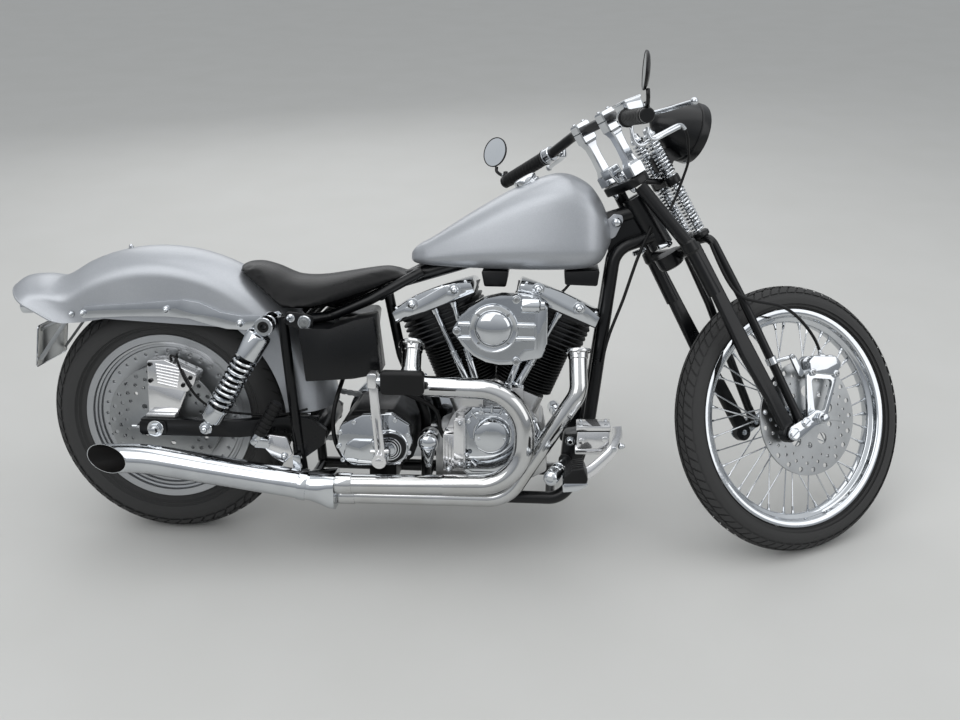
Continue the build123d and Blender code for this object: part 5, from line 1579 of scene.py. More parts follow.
class PassengerPegs:
    """Folding pegs: ribbed black rubber in a chrome clevis, on an alloy plate."""

    def build(self, shop: Shop) -> None:
        """Builds both pegs in place of their plain solids."""
        rubber = [Bench.bar("core", (269, -160, 314), (318, -160, 398), 14.5)]
        along = (Vector((318, -160, 398)) - Vector((269, -160, 314))).normalized()
        for k in range(7):
            middle = Vector((269, -160, 314)) + along * (8 + k * 13)
            rubber.append(Bench.lathe("rib", [(-5.6, 12), (-5.6, 16.0), (-4.6, 16.8), (4.6, 16.8),
                                              (5.6, 16.0), (5.6, 12)], middle, along, 32))
        shop.pair("peg_rubbers", rubber, SOFT_RUBBER, ["passenger_pegs"])
        clamp = [Bench.bar("clevis", (255, -160, 290), (272, -160, 318), 13, 15, rounding=1.5),
                 Bench.bar("clevis_pin", (263, -176, 300), (263, -144, 300), 6, rounding=1),
                 Bench.plate("clevis_block", [(258, 284), (262, 308), (296, 306), (296, 282)], 4, -172, -148,
                             2.0),
                 Bench.acorn("peg_nut", (330, -150, 256), RIGHT, 8)]
        shop.pair("peg_clevises", clamp, CHROME)
        outline = Bench.outline([(286, 312), (336, 306), (350, 262), (328, 236), (300, 250), (276, 278)], 7)
        plate = Bench.side_slab("peg_plate", outline, -150, -141, 2.0)
        shop.pair("peg_plates", [plate], POLISHED_ALLOY)


CRANK = Vector((855.0, 0.0, 281.0)).freeze()
VEE = (-22.5, 22.5)


class EngineCases:
    """The cast crankcase with its chrome cam cover, round ignition cover, oil pump and domed breather."""

    def build(self, shop: Shop) -> None:
        """Builds the cases and covers below the cylinders."""
        shop.reuse("crankcase_casting", "crankcase", 3, CAST_ALLOY)
        outline = Bench.outline([(770, 222), (770, 356), (800, 388), (890, 388), (962, 354), (985, 300),
                                 (960, 232), (900, 204), (790, 204)], 14)
        cover = [Bench.side_slab("cam_body", outline, -112, -72.4, 7, 3)]
        inner = Bench.outline([(780, 234), (780, 346), (806, 376), (884, 376), (950, 346), (972, 300),
                               (948, 242), (896, 216), (798, 216)], 14)
        cover.append(Bench.side_slab("cam_face", inner, -118, -100, 6, 3))
        dome = [(-6, 49), (0, 50), (2, 48), (2, 45.5), (26, 44.5), (31, 42), (33, 37), (34.5, 24), (35, 0),
                (-6, 0)]
        cover.append(Bench.lathe("points_cover", dome, (852, -117, 319), RIGHT, 96))
        for k in range(7):
            way = ray(math.radians(8 + 21 * k))
            centre = Vector((852, -117, 319))
            cover.append(Bench.bar("cam_rib", centre + way * 56, centre + way * (78 if k else 92), 3.4,
                                   sides=12, rounding=1.2))
        shop.assemble("cam_cover_chrome", cover, CHROME, ["cam_cover"])
        screws = [Bench.screw("cam_screw", (x, -118, z), RIGHT, 5.5, 4.5)
                  for x, z in ((792, 232), (792, 352), (822, 376), (940, 338), (960, 300), (940, 248),
                               (890, 226))]
        screws += [Bench.screw("points_screw", (x, -150.5, z), RIGHT, 4, 2.5)
                   for x, z in ((820, 317), (885, 318))]
        shop.assemble("cam_screws", screws, CHROME)
        pump = [Bench.plate("pump", [(729, 224), (729, 321), (758, 321), (758, 364), (784, 366), (786, 226)],
                            3, -132, -72.4, 2.0)]
        pump += [Bench.side_slab("pump_fin", [(x, 232), (x, 314), (x + 2.4, 314), (x + 2.4, 232)], -135,
                                 -131, 0.8, 1) for x in (733, 741, 749)]
        pump.append(Bench.plate("pump_step", [(756, 232), (756, 360), (782, 360), (782, 232)], 2, -138, -130,
                                1.5))
        shop.assemble("oil_pump", pump, POLISHED_ALLOY)
        fittings = []
        for x, z in ((744, 228), (772, 244), (772, 352), (790, 268)):
            fittings.append(Bench.acorn("pump_nut", (x, -134, z), RIGHT, 5.5))
        fittings.append(Bench.bar("pump_union", (800, -124, 250), (812, -130, 238), 6, sides=6, rounding=0.8))
        for x in (801, 901):
            for y in (-104, -84):
                fittings.append(Bench.bolt("tappet_bolt", (x + (22 if y < -90 else -22), y, 440), (0, 0, 1),
                                           10, 6))
        shop.assemble("case_fittings", fittings, CHROME)
        shell = [(-28, 0), (-28, 26.5), (-4, 27), (2, 26), (8, 22.5), (12, 17), (15, 9), (16, 0)]
        breather = [Bench.lathe("breather", shell, (689, -112, 291), RIGHT, 64),
                    Bench.bar("breather_tail", (689, -112, 280), (691, -112, 234), 21, 9, rounding=2),
                    Bench.ball("breather_tip", (691, -112, 232), 9)]
        shop.assemble("breather_cover", breather, CHROME)


class TopEnd:
    """The finned cylinders under their chrome rocker boxes, with the pushrod tubes."""

    def cylinders(self) -> tuple[Piece, Piece]:
        """Builds the finned barrels and heads, cut off where they meet."""
        parts = []
        heads = []
        for tilt in VEE:
            up, fore = tilted(tilt)
            side = 1 if tilt > 0 else -1

            def layer(along: float, thick: float, long: float, wide: float, corner: float,
                      rounding: float) -> Piece:
                """Adds one flat layer of the cylinder, its inner end cut off at the middle of the vee."""
                flat = Bench.oblong(long, wide, corner, 8)
                limit = (2 - side * up.x * (along + thick)) / fore.x
                rim = [CRANK + up * along + fore * side * max(side * a, limit) + LEFT * b
                       for a, b in flat]
                return Bench.slab("fin", rim, up * thick, rounding, 2)

            parts.append(Bench.bar("sleeve", CRANK + up * 158.3, CRANK + up * 292, 62))
            parts += [layer(165 + k * 8.3, 2.6, 168, 150, 61.5, 0.7) for k in range(15)]
            heads += [layer(292, 91.8, 150, 150, 48, 1.5), layer(371, 12.8, 200, 166, 42, 3)]
            heads += [layer(294.5 + k * 12.7, 3.6, 206, 172, 44, 1.2) for k in range(6)]
        return Bench.join("finned_barrels", parts), Bench.join("finned_heads", heads)

    def build(self, shop: Shop) -> None:
        """Builds both cylinders, rocker boxes and the four pushrod tubes."""
        barrels, heads = self.cylinders()
        shop.set_down(barrels, ENGINE_BLACK, ["cylinders"])
        # The heads take the lighter copy of the black enamel, a painted highlight
        shop.set_down(heads, LIT_HEAD_ENAMEL)
        shop.reuse("rocker_boxes_chrome", "rocker_boxes", 4, CHROME)
        nuts = []
        seams = []
        for tilt in VEE:
            up, fore = tilted(tilt)
            base = CRANK + up * 384.3
            corners = [base + fore * a + LEFT * b for a, b in ((-106, 73), (106, 73), (106, -109),
                                                               (-106, -109))]
            seams.append(Bench.slab("gasket", corners, up * 2.2))
            for along in (-92, -34, 34, 92):
                for y in (-96, 58):
                    drop = 31.0 if abs(along) > 60 else 40.0
                    seat = base + fore * along + up * (drop - (y + 108) * 0.22) + LEFT * y
                    nuts.append(Bench.acorn("box_nut", seat, up, 6))
        for x, z in ((755, 685), (651, 646), (959, 691), (1059, 646)):
            nuts.append(Bench.bar("box_washer", (x, -108, z), (x, -111, z), 15, rounding=0.8))
            nuts.append(Bench.acorn("box_bolt", (x, -110, z), RIGHT, 10.5))
        shop.assemble("rocker_nuts", nuts, CHROME)
        shop.assemble("rocker_gaskets", seams, ENGINE_BLACK)
        tubes = []
        for foot_x, head_x in ((790, 703), (812, 750), (888, 966), (911, 1012)):
            turn = math.radians(VEE[0] if head_x < CRANK.x else VEE[1])
            top_z = CRANK.z + 383.2 / math.cos(turn) - math.tan(turn) * (head_x - CRANK.x)
            low = Vector((foot_x, -97, 441))
            high = Vector((head_x, -95, top_z))
            reach = (high - low).length
            profile = [(0, 0), (0, 13), (5, 13.5), (9, 12.5), (10, 10), (reach * 0.30, 9.6),
                       (reach * 0.31, 11.6), (reach * 0.335, 11.6), (reach * 0.34, 9.8), (reach * 0.42, 9.6),
                       (reach * 0.43, 11), (reach * 0.45, 11), (reach * 0.455, 7.4), (reach - 14, 7.2),
                       (reach - 13, 9.5), (reach - 4, 10.5), (reach - 0.5, 10.5), (reach - 0.5, 0)]
            tubes.append(Bench.lathe("pushrod_tube", profile, low, high - low, 40))
        shop.assemble("pushrod_tubes_chrome", tubes, CHROME, ["pushrod_tubes"])
        plugs = []
        for tilt, fore_x in zip(VEE, (20, -20)):
            seat = CRANK + Vector((fore_x, 84, 0)) + tilted(tilt)[0] * 352
            plugs.append(Bench.bar("plug", seat, seat + Vector((0, 34, 6)), 8.5, 6, rounding=1))
        shop.assemble("spark_plug_caps", plugs, SOFT_RUBBER)


class AirCleaner:
    """The polished air cleaner: a stepped cover with a mirror dome, ribs and a barrel at its corner."""

    CENTRE = Vector((854, -166, 602)).freeze()

    def build(self, shop: Shop) -> None:
        """Builds the cover, the dome and its screws."""
        curve = [(900, 514), (868, 513), (836, 519), (806, 534), (780, 558), (758, 590), (757, 602),
                 (772, 627), (796, 652), (832, 674), (870, 683), (918, 683)]
        back = Bench.outline(curve + [(962, 676), (983, 650), (984, 563), (972, 528), (936, 520)],
                             [6] * 5 + [10, 10] + [6] * 5 + [8] * 5)
        front = Bench.outline(curve + [(918, 684), (960, 677), (961, 548), (934, 545), (920, 528)],
                              [6] * 5 + [10, 10] + [6] * 4 + [2, 2, 6, 8, 8, 6, 5])
        parts = [Bench.side_slab("cleaner_back", back, -152, -118, 5, 3),
                 Bench.side_slab("cleaner_front", front, -165, -140, 3, 4)]
        pocket = [(860 + (x - 860) * 0.918, 600 + (z - 600) * 0.90) for x, z in front]
        Bench.smooth(Bench.carve(parts[1], Bench.side_slab("pocket", pocket, -180, -161.6)), 30.0)
        rim = [(-4, 44), (-4, 59), (0, 60), (3.5, 58.5), (4.5, 56), (3.2, 53.5), (2.6, 47), (4.4, 45.4),
               (4.6, 43.4), (0, 43), (-4, 43)]
        parts.append(Bench.lathe("cleaner_ring", rim, self.CENTRE, RIGHT, 128))
        arc = [(1.5 + 15 * math.sin(a), 43.5 * math.cos(a)) for a in map(math.radians, range(0, 86, 7))]
        dome = [(-4, 0), (-4, 43.5), *arc, (16.5, 0)]
        parts.append(Bench.lathe("cleaner_dome", dome, self.CENTRE, RIGHT, 128, 60.0))
        for z in (577.5, 611.5):
            for low, high in ((908, 951), (772, 800)):
                parts.append(Bench.bar("cleaner_rib", (low, -164.5, z), (high, -164.5, z), 6, sides=24))
                parts.append(Bench.ball("rib_end", (low if low < 800 else high, -164.5, z), 6))
        drum = [(0, 0), (0, 16), (2, 18.6), (5, 19.4), (40, 19.4), (43, 18.6), (45, 16), (47, 13), (56, 12),
                (58, 10), (58, 0)]
        parts.append(Bench.lathe("cleaner_barrel", drum, (919, -157.5, 659), (1, 0.04, 0), 64))
        parts.append(Bench.plate("barrel_foot", [(919, 678), (962, 677), (962, 641), (921, 641)], 5, -157,
                                 -130, 2, 3))
        for x, z in ((908, 675), (766, 595), (910, 523)):
            parts.append(Bench.bar("lug", (x, -170, z), (x, -130, z), 10.5, rounding=1.5))
        for x, y_end in ((790, -84.5), (925, -84.5)):
            parts.append(Bench.bar("stay", (x, -120, 612), (x, y_end, 612), 9))
        shop.assemble("air_cleaner_chrome", parts, CHROME, ["air_cleaner"])
        inlet = Bench.bar("inlet", (855, -120, 575), (855, -30, 575), 19)
        chamber = Bench.plate("chamber", [(826, 545), (826, 600), (886, 600), (886, 545)], 8, -116, -70, 3)
        shop.assemble("carburettor", [inlet, chamber], CAST_ALLOY)
        screws = [Bench.screw("cleaner_screw", (x, -170, z), RIGHT, 6.5, 4)
                  for x, z in ((908, 675), (766, 595), (910, 523))]
        screws += [Bench.screw("dome_screw", (x, -168.6, z), RIGHT, 3.6, 2.4)
                   for x, z in ((817, 636), (889, 637), (819, 567), (890, 568))]
        shop.assemble("cleaner_screws", screws, GROUND_STEEL)


class Exhausts:
    """Two chrome header pipes in heat shields, their collector, and the slash-cut muffler."""

    REAR = ((650, -104, 545), (654, -176, 458), (934, -190, 456), (934, -190, 214), (466, -190, 203))
    FRONT = ((1059, -100, 540), (1064, -140, 440), (890, -150, 162), (466, -150, 159))

    def sections(self) -> list[list[Point]]:
        """Gives the collector's cross-sections, from the pipes to the muffler."""
        rings = []
        for x, y, z, wide, tall, corner in ((465.1, -170, 182, 96, 94, 30), (448, -171, 183, 96, 92, 32),
                                            (425, -175, 187, 86, 84, 38), (404, -178, 190, 77, 77, 38)):
            rings.append([(x, y + a, z + b) for a, b in Bench.oblong(wide, tall, corner - 0.1, 10)])
        return rings

    def build(self, shop: Shop) -> None:
        """Builds the pipes and the muffler in place of their plain solids."""
        rear = Bench.bent(self.REAR, [44, 112, 112], 18)
        front = Bench.bent(self.FRONT, [60, 90], 18)
        pipes = [Bench.tube("rear_pipe", rear, 24.0, 14), Bench.tube("front_pipe", front, 22.4, 14)]
        last = next(k for k in range(len(rear) - 1, 0, -1) if rear[k - 1].x > 735)
        shield = [*rear[1:last], Vector((735, -190, 209))]
        pipes.append(Bench.tube("rear_shield", shield, 25.6, 14))
        for route, radius in ((rear, 24), (front, 22.4)):
            start = route[0]
            away = (route[1] - start).normalized()
            flange = [(0, 0), (0, radius + 9), (2, radius + 10), (7, radius + 10), (9, radius + 8),
                      (10, radius + 2.5), (22, radius + 2.0), (24, radius), (24, 0)]
            pipes.append(Bench.lathe("flange", flange, start, away, 64))
            side = away.cross(Vector((1, 0, 0))).normalized()
            for sign in (-1, 1):
                seat = start + side * sign * (radius + 3) + away * 9
                pipes.append(Bench.acorn("flange_nut", seat, away, 4))
        for y, z, radius in ((-190, 203.9, 25.6), (-150, 159, 24.0)):
            pipes.append(Bench.lathe("sleeve", [(0, radius - 2), (0, radius), (1.5, radius + 1),
                                                (38, radius + 1), (40, radius), (40, radius - 2)],
                                     (468, y, z), (1, 0, 0.01), 64))
        shop.assemble("header_pipes", pipes, HOT_CHROME, ["exhaust_pipes"])
        # A near-black bar on the rear shield stands for its slot: painted shade of the opening
        slot_shades = [Bench.bar("slot", (704, -214.6, 460), (768, -215.4, 459), 2.2, 1.2, sides=12)]
        shop.assemble("shield_slot_shade", slot_shades, SOOT_AND_SHADE)
        route = Bench.bent([(410, -178, 188.6), (130, -190, 232), (-20, -196, 257), (-190, -214, 252)],
                           [900, 500], 14)
        normal = Vector((-0.44, -0.9, 0)).normalized()
        across = Vector((-0.9, 0.44, 0)).normalized()
        middle = Vector((-109.5, -205.5, 256))
        shells = []
        for name, radius, wall in (("muffler_tube", 37.0, 1.2), ("muffler_liner", 35.7, 0.8)):
            tube = Bench.tube(name, route, radius, 18, capped=False)
            Bench.apply(tube, "SOLIDIFY", thickness=wall, offset=-1)
            corner = middle - across * 200 + Vector((0, 0, -100))
            face = [corner, corner + across * 400, corner + across * 400 + Vector((0, 0, 200)),
                    corner + Vector((0, 0, 200))]
            Bench.carve(tube, Bench.slab("cut", face, normal * 220))
            shells.append(Bench.smooth(tube, 40.0))
        collector = Bench.skin("collector", self.sections())
        hanger = Bench.plate("hanger", [(352, 218), (352, 262), (372, 262), (372, 218)], 5, -160, -131.8,
                             1.5)
        band = Bench.lathe("band", [(0, 36), (0, 39.5), (2, 40), (20, 40), (22, 39.5), (22, 36)],
                           (392, -178.7, 191.6), (-0.985, -0.04, 0.16), 64)
        shop.assemble("muffler_chrome", [shells[0], collector, hanger, band], CHROME, ["muffler"])
        # The liner is near black: soot, and painted shade deep inside the muffler
        shop.set_down(shells[1], SOOT_AND_SHADE)


class Gearbox:
    """The gearbox with its polished side cover, ringed clutch housing and kick starter."""

    def build(self, shop: Shop) -> None:
        """Builds the gearbox, primary cover and kick starter."""
        shop.reuse("gearbox_casting", "gearbox", 2.5, ENGINE_BLACK)
        outline = Bench.outline([(460, 282), (470, 338), (527, 366), (600, 372), (645, 343), (653, 299),
                                 (638, 253), (612, 236), (484, 236)], 12)
        parts = [Bench.side_slab("gear_cover", outline, -138, -118, 4, 3)]
        cap = Bench.outline([(478, 262), (486, 292), (504, 304), (556, 304), (562, 236), (505, 234),
                             (486, 244)], 7)
        parts.append(Bench.side_slab("gear_cap", cap, -148, -132, 4, 3))
        rings = [(-4, 0), (-4, 47), (4, 47), (6, 45), (6, 42.5), (8.5, 42), (9, 41)]
        height = 9.0
        for k in range(5):
            radius = 41 - k * 5.6
            rings += [(height, radius - 2.0), (height - 2.4, radius - 2.8), (height - 2.4, radius - 4.4),
                      (height + 1.6, radius - 5.2)]
            height += 1.6
        rings += [(height + 1, 8), (height + 1, 0)]
        parts.append(Bench.lathe("clutch_rings", rings, (596, -138, 284), RIGHT, 96))
        parts.append(Bench.bar("kick_boss", (579, -176, 270), (579, -134, 270), 20, rounding=1.5))
        shop.assemble("gearbox_cover", parts, CHROME)
        screws = [Bench.screw("gear_screw", (x, -138, z), RIGHT, 6, 5)
                  for x, z in ((506, 348), (470, 320), (466, 284), (476, 248), (552, 362), (610, 356),
                               (642, 318), (644, 272), (618, 246))]
        shop.assemble("gearbox_screws", screws, CHROME)
        shop.reuse("primary_cover_chrome", "primary_cover", 4, CHROME)
        covers = [Bench.cap("clutch_cap", (560, 168, 286), LEFT, 64, 9),
                  Bench.cap("drive_cap", (875, 167, 281), LEFT, 40, 8)]
        covers += [Bench.screw("primary_screw", (560 + 52 * math.cos(a), 176, 286 + 52 * math.sin(a)), LEFT,
                               4.5, 3) for a in (math.pi * k / 2.5 for k in range(5))]
        for x, z in ((470, 330), (455, 286), (470, 240), (560, 186), (650, 184), (740, 186), (860, 200),
                     (950, 245), (950, 317), (860, 362), (740, 378), (650, 390), (560, 384)):
            covers.append(Bench.screw("primary_screw", (x, 165, z), LEFT, 5.5, 5))
        shop.assemble("primary_fittings", covers, CHROME)
        arm = Bench.plate("kick_blade", [(566, 262), (568, 299), (555, 452), (558, 480), (576, 480),
                                         (578, 452), (592, 303), (594, 262)], 5, -206, -194, 3, 3)
        Bench.carve(arm, Bench.side_slab("slit", [(576.4, 285), (575.4, 330), (578.6, 330), (579.6, 285)],
                                         -220, -180))
        eye = Bench.lathe("kick_eye", [(0, 9), (0, 17.5), (2, 18.5), (20, 18.5), (22, 17.5), (22, 9)],
                          (579, -188, 270), RIGHT, 48)
        stub = Bench.bar("kick_shaft", (579, -211, 270), (579, -174, 270), 9, rounding=1)
        pinch = Bench.bar("kick_pinch", (556, -200, 293), (603, -200, 295), 5.5, rounding=1.5)
        pivot = Bench.bar("kick_pivot", (566, -222, 482), (592, -224, 480), 9, rounding=1.5)
        fork = Bench.plate("kick_fork", [(556, 462), (556, 500), (580, 500), (580, 462)], 7, -232, -196, 3,
                           3)
        shop.assemble("kick_arm_alloy", [arm, eye, stub, pinch, fork], POLISHED_ALLOY, ["kick_starter"])
        shop.set_down(pivot, CHROME)
        pedal = [Bench.plate("kick_rubber", [(588, 449), (588, 507), (693, 507), (693, 449)], 9, -240, -209,
                             8, 4)]
        shop.assemble("kick_pedal", pedal, SOFT_RUBBER)
        shop.cable("oil_feed_hose", [(470, -56, 452), (462, -92, 420), (452, -112, 380), (446, -116, 330),
                                     (452, -100, 262), (476, -70, 210)], 5.5, SOFT_RUBBER)
        shop.cable("oil_return_hose", [(520, -40, 456), (590, -84, 430), (650, -96, 404), (700, -96, 384),
                                       (716, -92, 350), (716, -90, 318), (728, -92, 300)], 5.5, SOFT_RUBBER)


class ForwardControls:
    """Forward pegs and pedals on their black mounts, with the rear brake's master cylinder on the right."""

    def build(self, shop: Shop) -> None:
        """Builds both sides in place of their plain solids."""
        mounts = []
        for side in SIDES:
            outline = Bench.outline([(1030, 330), (1084, 340), (1090, 300), (1060, 240), (1022, 240)], 7)
            mounts.append(Bench.side_slab("mount", outline, *sorted((side * 80, side * 146)), 3.0))
            mounts.append(Bench.bar("mount_boss", (1037, side * 140, 270), (1034, side * 156, 270), 16,
                                    rounding=2))
        shop.assemble("control_mounts", mounts, BLACK_PAINT, ["forward_controls"])
        polished = [Bench.plate("cylinder_body", [(1061, 318), (1061, 361), (1139, 364), (1139, 330),
                                                  (1126, 318)], 4, -205, -152, 2.0),
                    Bench.plate("cylinder_lid", [(1058, 364), (1059, 376), (1141, 379), (1141, 367)], 3,
                                -208, -149, 2.0),
                    Bench.bar("cylinder_bore", (1057, -190, 311), (1124, -190, 313), 11.5, rounding=2),
                    Bench.bar("cylinder_boss", (1072, -208, 338), (1072, -190, 338), 7.5, rounding=1),
                    Bench.bar("cylinder_boss", (1128, -208, 344), (1128, -190, 344), 7.5, rounding=1)]
        path = Bench.rows([(1076, -236, 262), (1097, -230, 273), (1124, -224, 297), (1146, -219, 321),
                           (1157, -216, 347), (1155, -214, 380)], 4)
        rings = []
        for k, place in enumerate(path):
            ahead = Bench.heading(path, k)
            across = Vector((ahead.z, 0, -ahead.x)).normalized()
            wide = 15.0 - 4.5 * (k / len(path))
            middle = Vector(place)
            rings.append([middle + across * a * wide + LEFT * (b * 3.6)
                          for a, b in ((-1, -0.5), (-0.9, -1), (0.9, -1), (1, -0.5), (1, 0.5), (0.9, 1),
                                       (-0.9, 1), (-1, 0.5))])
        polished.append(Bench.skin("pedal_arm", rings))
        polished.append(Bench.bar("push_rod", (1120, -190, 313), (1150, -214, 326), 4.5, rounding=1))
        shop.assemble("brake_master_cylinder", polished, POLISHED_ALLOY)
        line = [Bench.side_slab("lid_gap", [(1060, 361.5), (1060, 365), (1140, 368), (1140, 364.2)], -206.4,
                                -151)]
        shop.assemble("lid_seal", line, SOFT_RUBBER)
        chrome = [Bench.screw("lid_screw", (x, y, z), (0, 0, 1), 4, 2.6)
                  for x, z in ((1070, 376.4), (1130, 378.4)) for y in (-198, -160)]
        chrome.append(Bench.acorn("pedal_tip", (1164, -218, 333), (1, -0.1, 0), 7))
        chrome.append(Bench.bar("pedal_pin", (1150, -226, 326), (1150, -208, 326), 6, rounding=1))
        for side in SIDES:
            root = Vector((1035, side * 152, 270))
            tip = Vector((1002 if side > 0 else 998, side * 301, 273))
            along = (tip - root).normalized()
            reach = (tip - root).length
            profile = [(0, 0), (0, 9), (30, 9), (56, 10), (58, 15), (62, 16.5), (74, 16.5), (76, 14.5),
                       (80, 14.5), (82, 17), (104, 17.6), (106, 15.6), (110, 15.6), (112, 18)]
            profile += [(reach - 12 + 12 * math.sin(a), 6.5 + 12 * math.cos(a))
                        for a in (math.radians(v) for v in (0, 20, 40, 60, 80))]
            profile += [(reach - 1.0, 6), (reach, 0)]
            chrome.append(Bench.lathe("peg", profile, root, along, 48))
            chrome.append(Bench.bolt("mount_bolt", (1046, side * 146, 318), (0, side, 0), 17, 9))
            chrome.append(Bench.bolt("mount_bolt", (1072, side * 146, 318), (0, side, 0), 17, 9))
        tray = Bench.outline([(1029, 243), (1028, 262), (1036, 268), (1086, 268), (1088, 262), (1064, 247)],
                             3)
        chrome.append(Bench.side_slab("pad_tray", tray, -305, -232, 2.0))
        lever = Bench.bent([(1060, 146, 300), (1085, 200, 290), (1100, 235, 262)], [25], 8)
        chrome.append(Bench.tube("shift_lever", lever, 8, 6))
        shop.assemble("control_chrome", chrome, CHROME)
        pad = Bench.outline([(1030, 264), (1032, 282), (1051, 301), (1076, 305), (1087, 278), (1085, 266)], 5)
        rubbers = [Bench.side_slab("pad_rubber", pad, -306, -234, 4.0, 3)]
        for k in range(5):
            y = -296 + k * 13
            rubbers.append(Bench.slab("pad_ridge", [(1031, y, 272), (1034, y, 285), (1052, y, 303.5),
                                                    (1076, y, 306.5), (1074, y, 300), (1036, y, 270)],
                                      (0, 6, 0), 1.2))
        rubbers.append(Bench.lathe("toe_rubber", [(0, 8), (0, 12), (3, 13.4), (20, 13.4), (22, 12), (26, 12),
                                                  (28, 13.4), (44, 13.4), (46, 12), (50, 12), (52, 13.4),
                                                  (66, 13.4), (69, 11), (69, 0), (0, 0)], (1100, 232, 262),
                                   (-0.03, 1, -0.06), 40))
        shop.assemble("pedal_rubbers", rubbers, SOFT_RUBBER)


class MidFrame:
    """What hangs on the frame: the battery box, the coil box, the ignition lock, a toggle and cables."""

    def build(self, shop: Shop) -> None:
        """Rounds the boxes and adds the lock, the toggle switch and the cables."""
        shop.reuse("battery_boxes", "battery_box", 3, BLACK_PAINT)
        shop.reuse("coil_cover", "coil_box", 3, BLACK_PAINT)
        plate = Bench.outline([(340, 596), (342, 628), (372, 626), (412, 618), (410, 582), (376, 584)], 9)
        shop.set_down(Bench.side_slab("switch_plate", plate, -144, -139, 1.5), BLACK_PAINT)
        ring = [(-4, 0), (-4, 15), (0, 17.5), (5, 17.5), (8, 15.5), (8, 12), (6.5, 11.4), (6.5, 0)]
        parts = [Bench.lathe("lock_ring", ring, (390, -144, 602), RIGHT, 48),
                 Bench.lathe("toggle_ring", [(-4, 0), (-4, 9), (0, 10.5), (4, 10), (6, 7), (6, 5), (4, 4.5),
                                             (4, 0)], (357, -144, 612), RIGHT, 40),
                 Bench.bar("toggle", (357, -148, 612), (352, -164, 616), 2.6, 3.4, rounding=1)]
        shop.assemble("lock_and_toggle", parts, CHROME)
        face = Bench.lathe("lock_face", [(6, 0), (6, 11.2), (8.2, 11), (8.6, 8), (7.6, 7.4), (7.6, 5),
                                         (9, 4.4), (9.2, 0)], (390, -144, 602), RIGHT, 40)
        key = Bench.slab("key_slot", [(389.2, -160, 598), (390.8, -160, 598), (390.8, -160, 606),
                                      (389.2, -160, 606)], (0, 8.4, 0))
        shop.set_down(Bench.carve(face, key), GROUND_STEEL)
        shop.cable("neck_cable", [(1230, -38, 836), (1212, -42, 796), (1196, -46, 752), (1182, -50, 706),
                                  (1166, -54, 652), (1146, -60, 600), (1130, -66, 552), (1120, -70, 500)],
                   4.0, SOFT_RUBBER)
        shop.cable("ignition_lead", [(1036, -40, 694), (1020, -52, 672), (990, -60, 664), (956, -62, 668),
                                     (930, -64, 660), (916, -74, 636)], 3.5, SOFT_RUBBER)


def on_steering(height: float) -> Vector:
    """Gives the point of the steering axis at a height."""
    return STEER_BASE + STEER_UP * ((height - STEER_BASE.z) / STEER_UP.z)


SPRING_FOOT = Vector((1352.0, 0.0, 817.0)).freeze()
SPRING_UP = (Vector((1236.0, 0.0, 1023.0)) - SPRING_FOOT).normalized().freeze()
LEG_FOOT = (1543.0, 307.0)
ROCKER_MID = (1582.0, 333.0)
SPRING_Y = 30.0
SPRING_TOP = 276.0
PERCH = 138.0
CROWN_Z = 926.0
LEG_Y = 95.0


def on_spring(along: float, y: float) -> Vector:
    """Gives a point of a spring's axis, from its lower end."""
    return SPRING_FOOT + SPRING_UP * along + LEFT * y


def plate_across(name: str, seat: Vector, up: Vector, wide: float, deep: float, corner: float, height: float,
                 rounding: float) -> Piece:
    """Makes a plate with rounded corners that lies square to an axis in the side view.

    Args:
        name: The piece's name.
        seat: The middle of its lower face.
        up: The axis that it is square to.
        wide: Its width across the motorcycle.
        deep: Its depth.
        corner: The radius of its corners.
        height: Its thickness.
        rounding: The rounding of its edges.

    Returns:
        The plate.
    """
    fore = Vector((up.z, 0, -up.x))
    rim = [seat + fore * a + LEFT * b for a, b in Bench.oblong(deep, wide, corner, 6)]
    return Bench.slab(name, rim, up * height, rounding)


def slotted_pin(name: str, seat: Point, side: int, radius: float, height: float) -> Piece:
    """Makes a domed pivot pin's head with a screwdriver slot."""
    profile = [(0, 0), (0, radius * 1.12), (height * 0.3, radius * 1.12), (height * 0.34, radius),
               (height * 0.7, radius), (height, radius * 0.8), (height, 0)]
    head = Bench.lathe(name, profile, seat, (0, side, 0), 40)
    y = seat[1] + side * height
    slit = Bench.slab("slit", [(seat[0] - radius * 1.5, y, seat[2] - radius),
                               (seat[0] - radius * 1.5 + 2.4, y, seat[2] - radius - 2),
                               (seat[0] + radius * 1.5, y, seat[2] + radius),
                               (seat[0] + radius * 1.5 - 2.4, y, seat[2] + radius + 2)],
                      (0, -side * height * 0.45, 0))
    return Bench.smooth(Bench.carve(head, slit), 35.0)


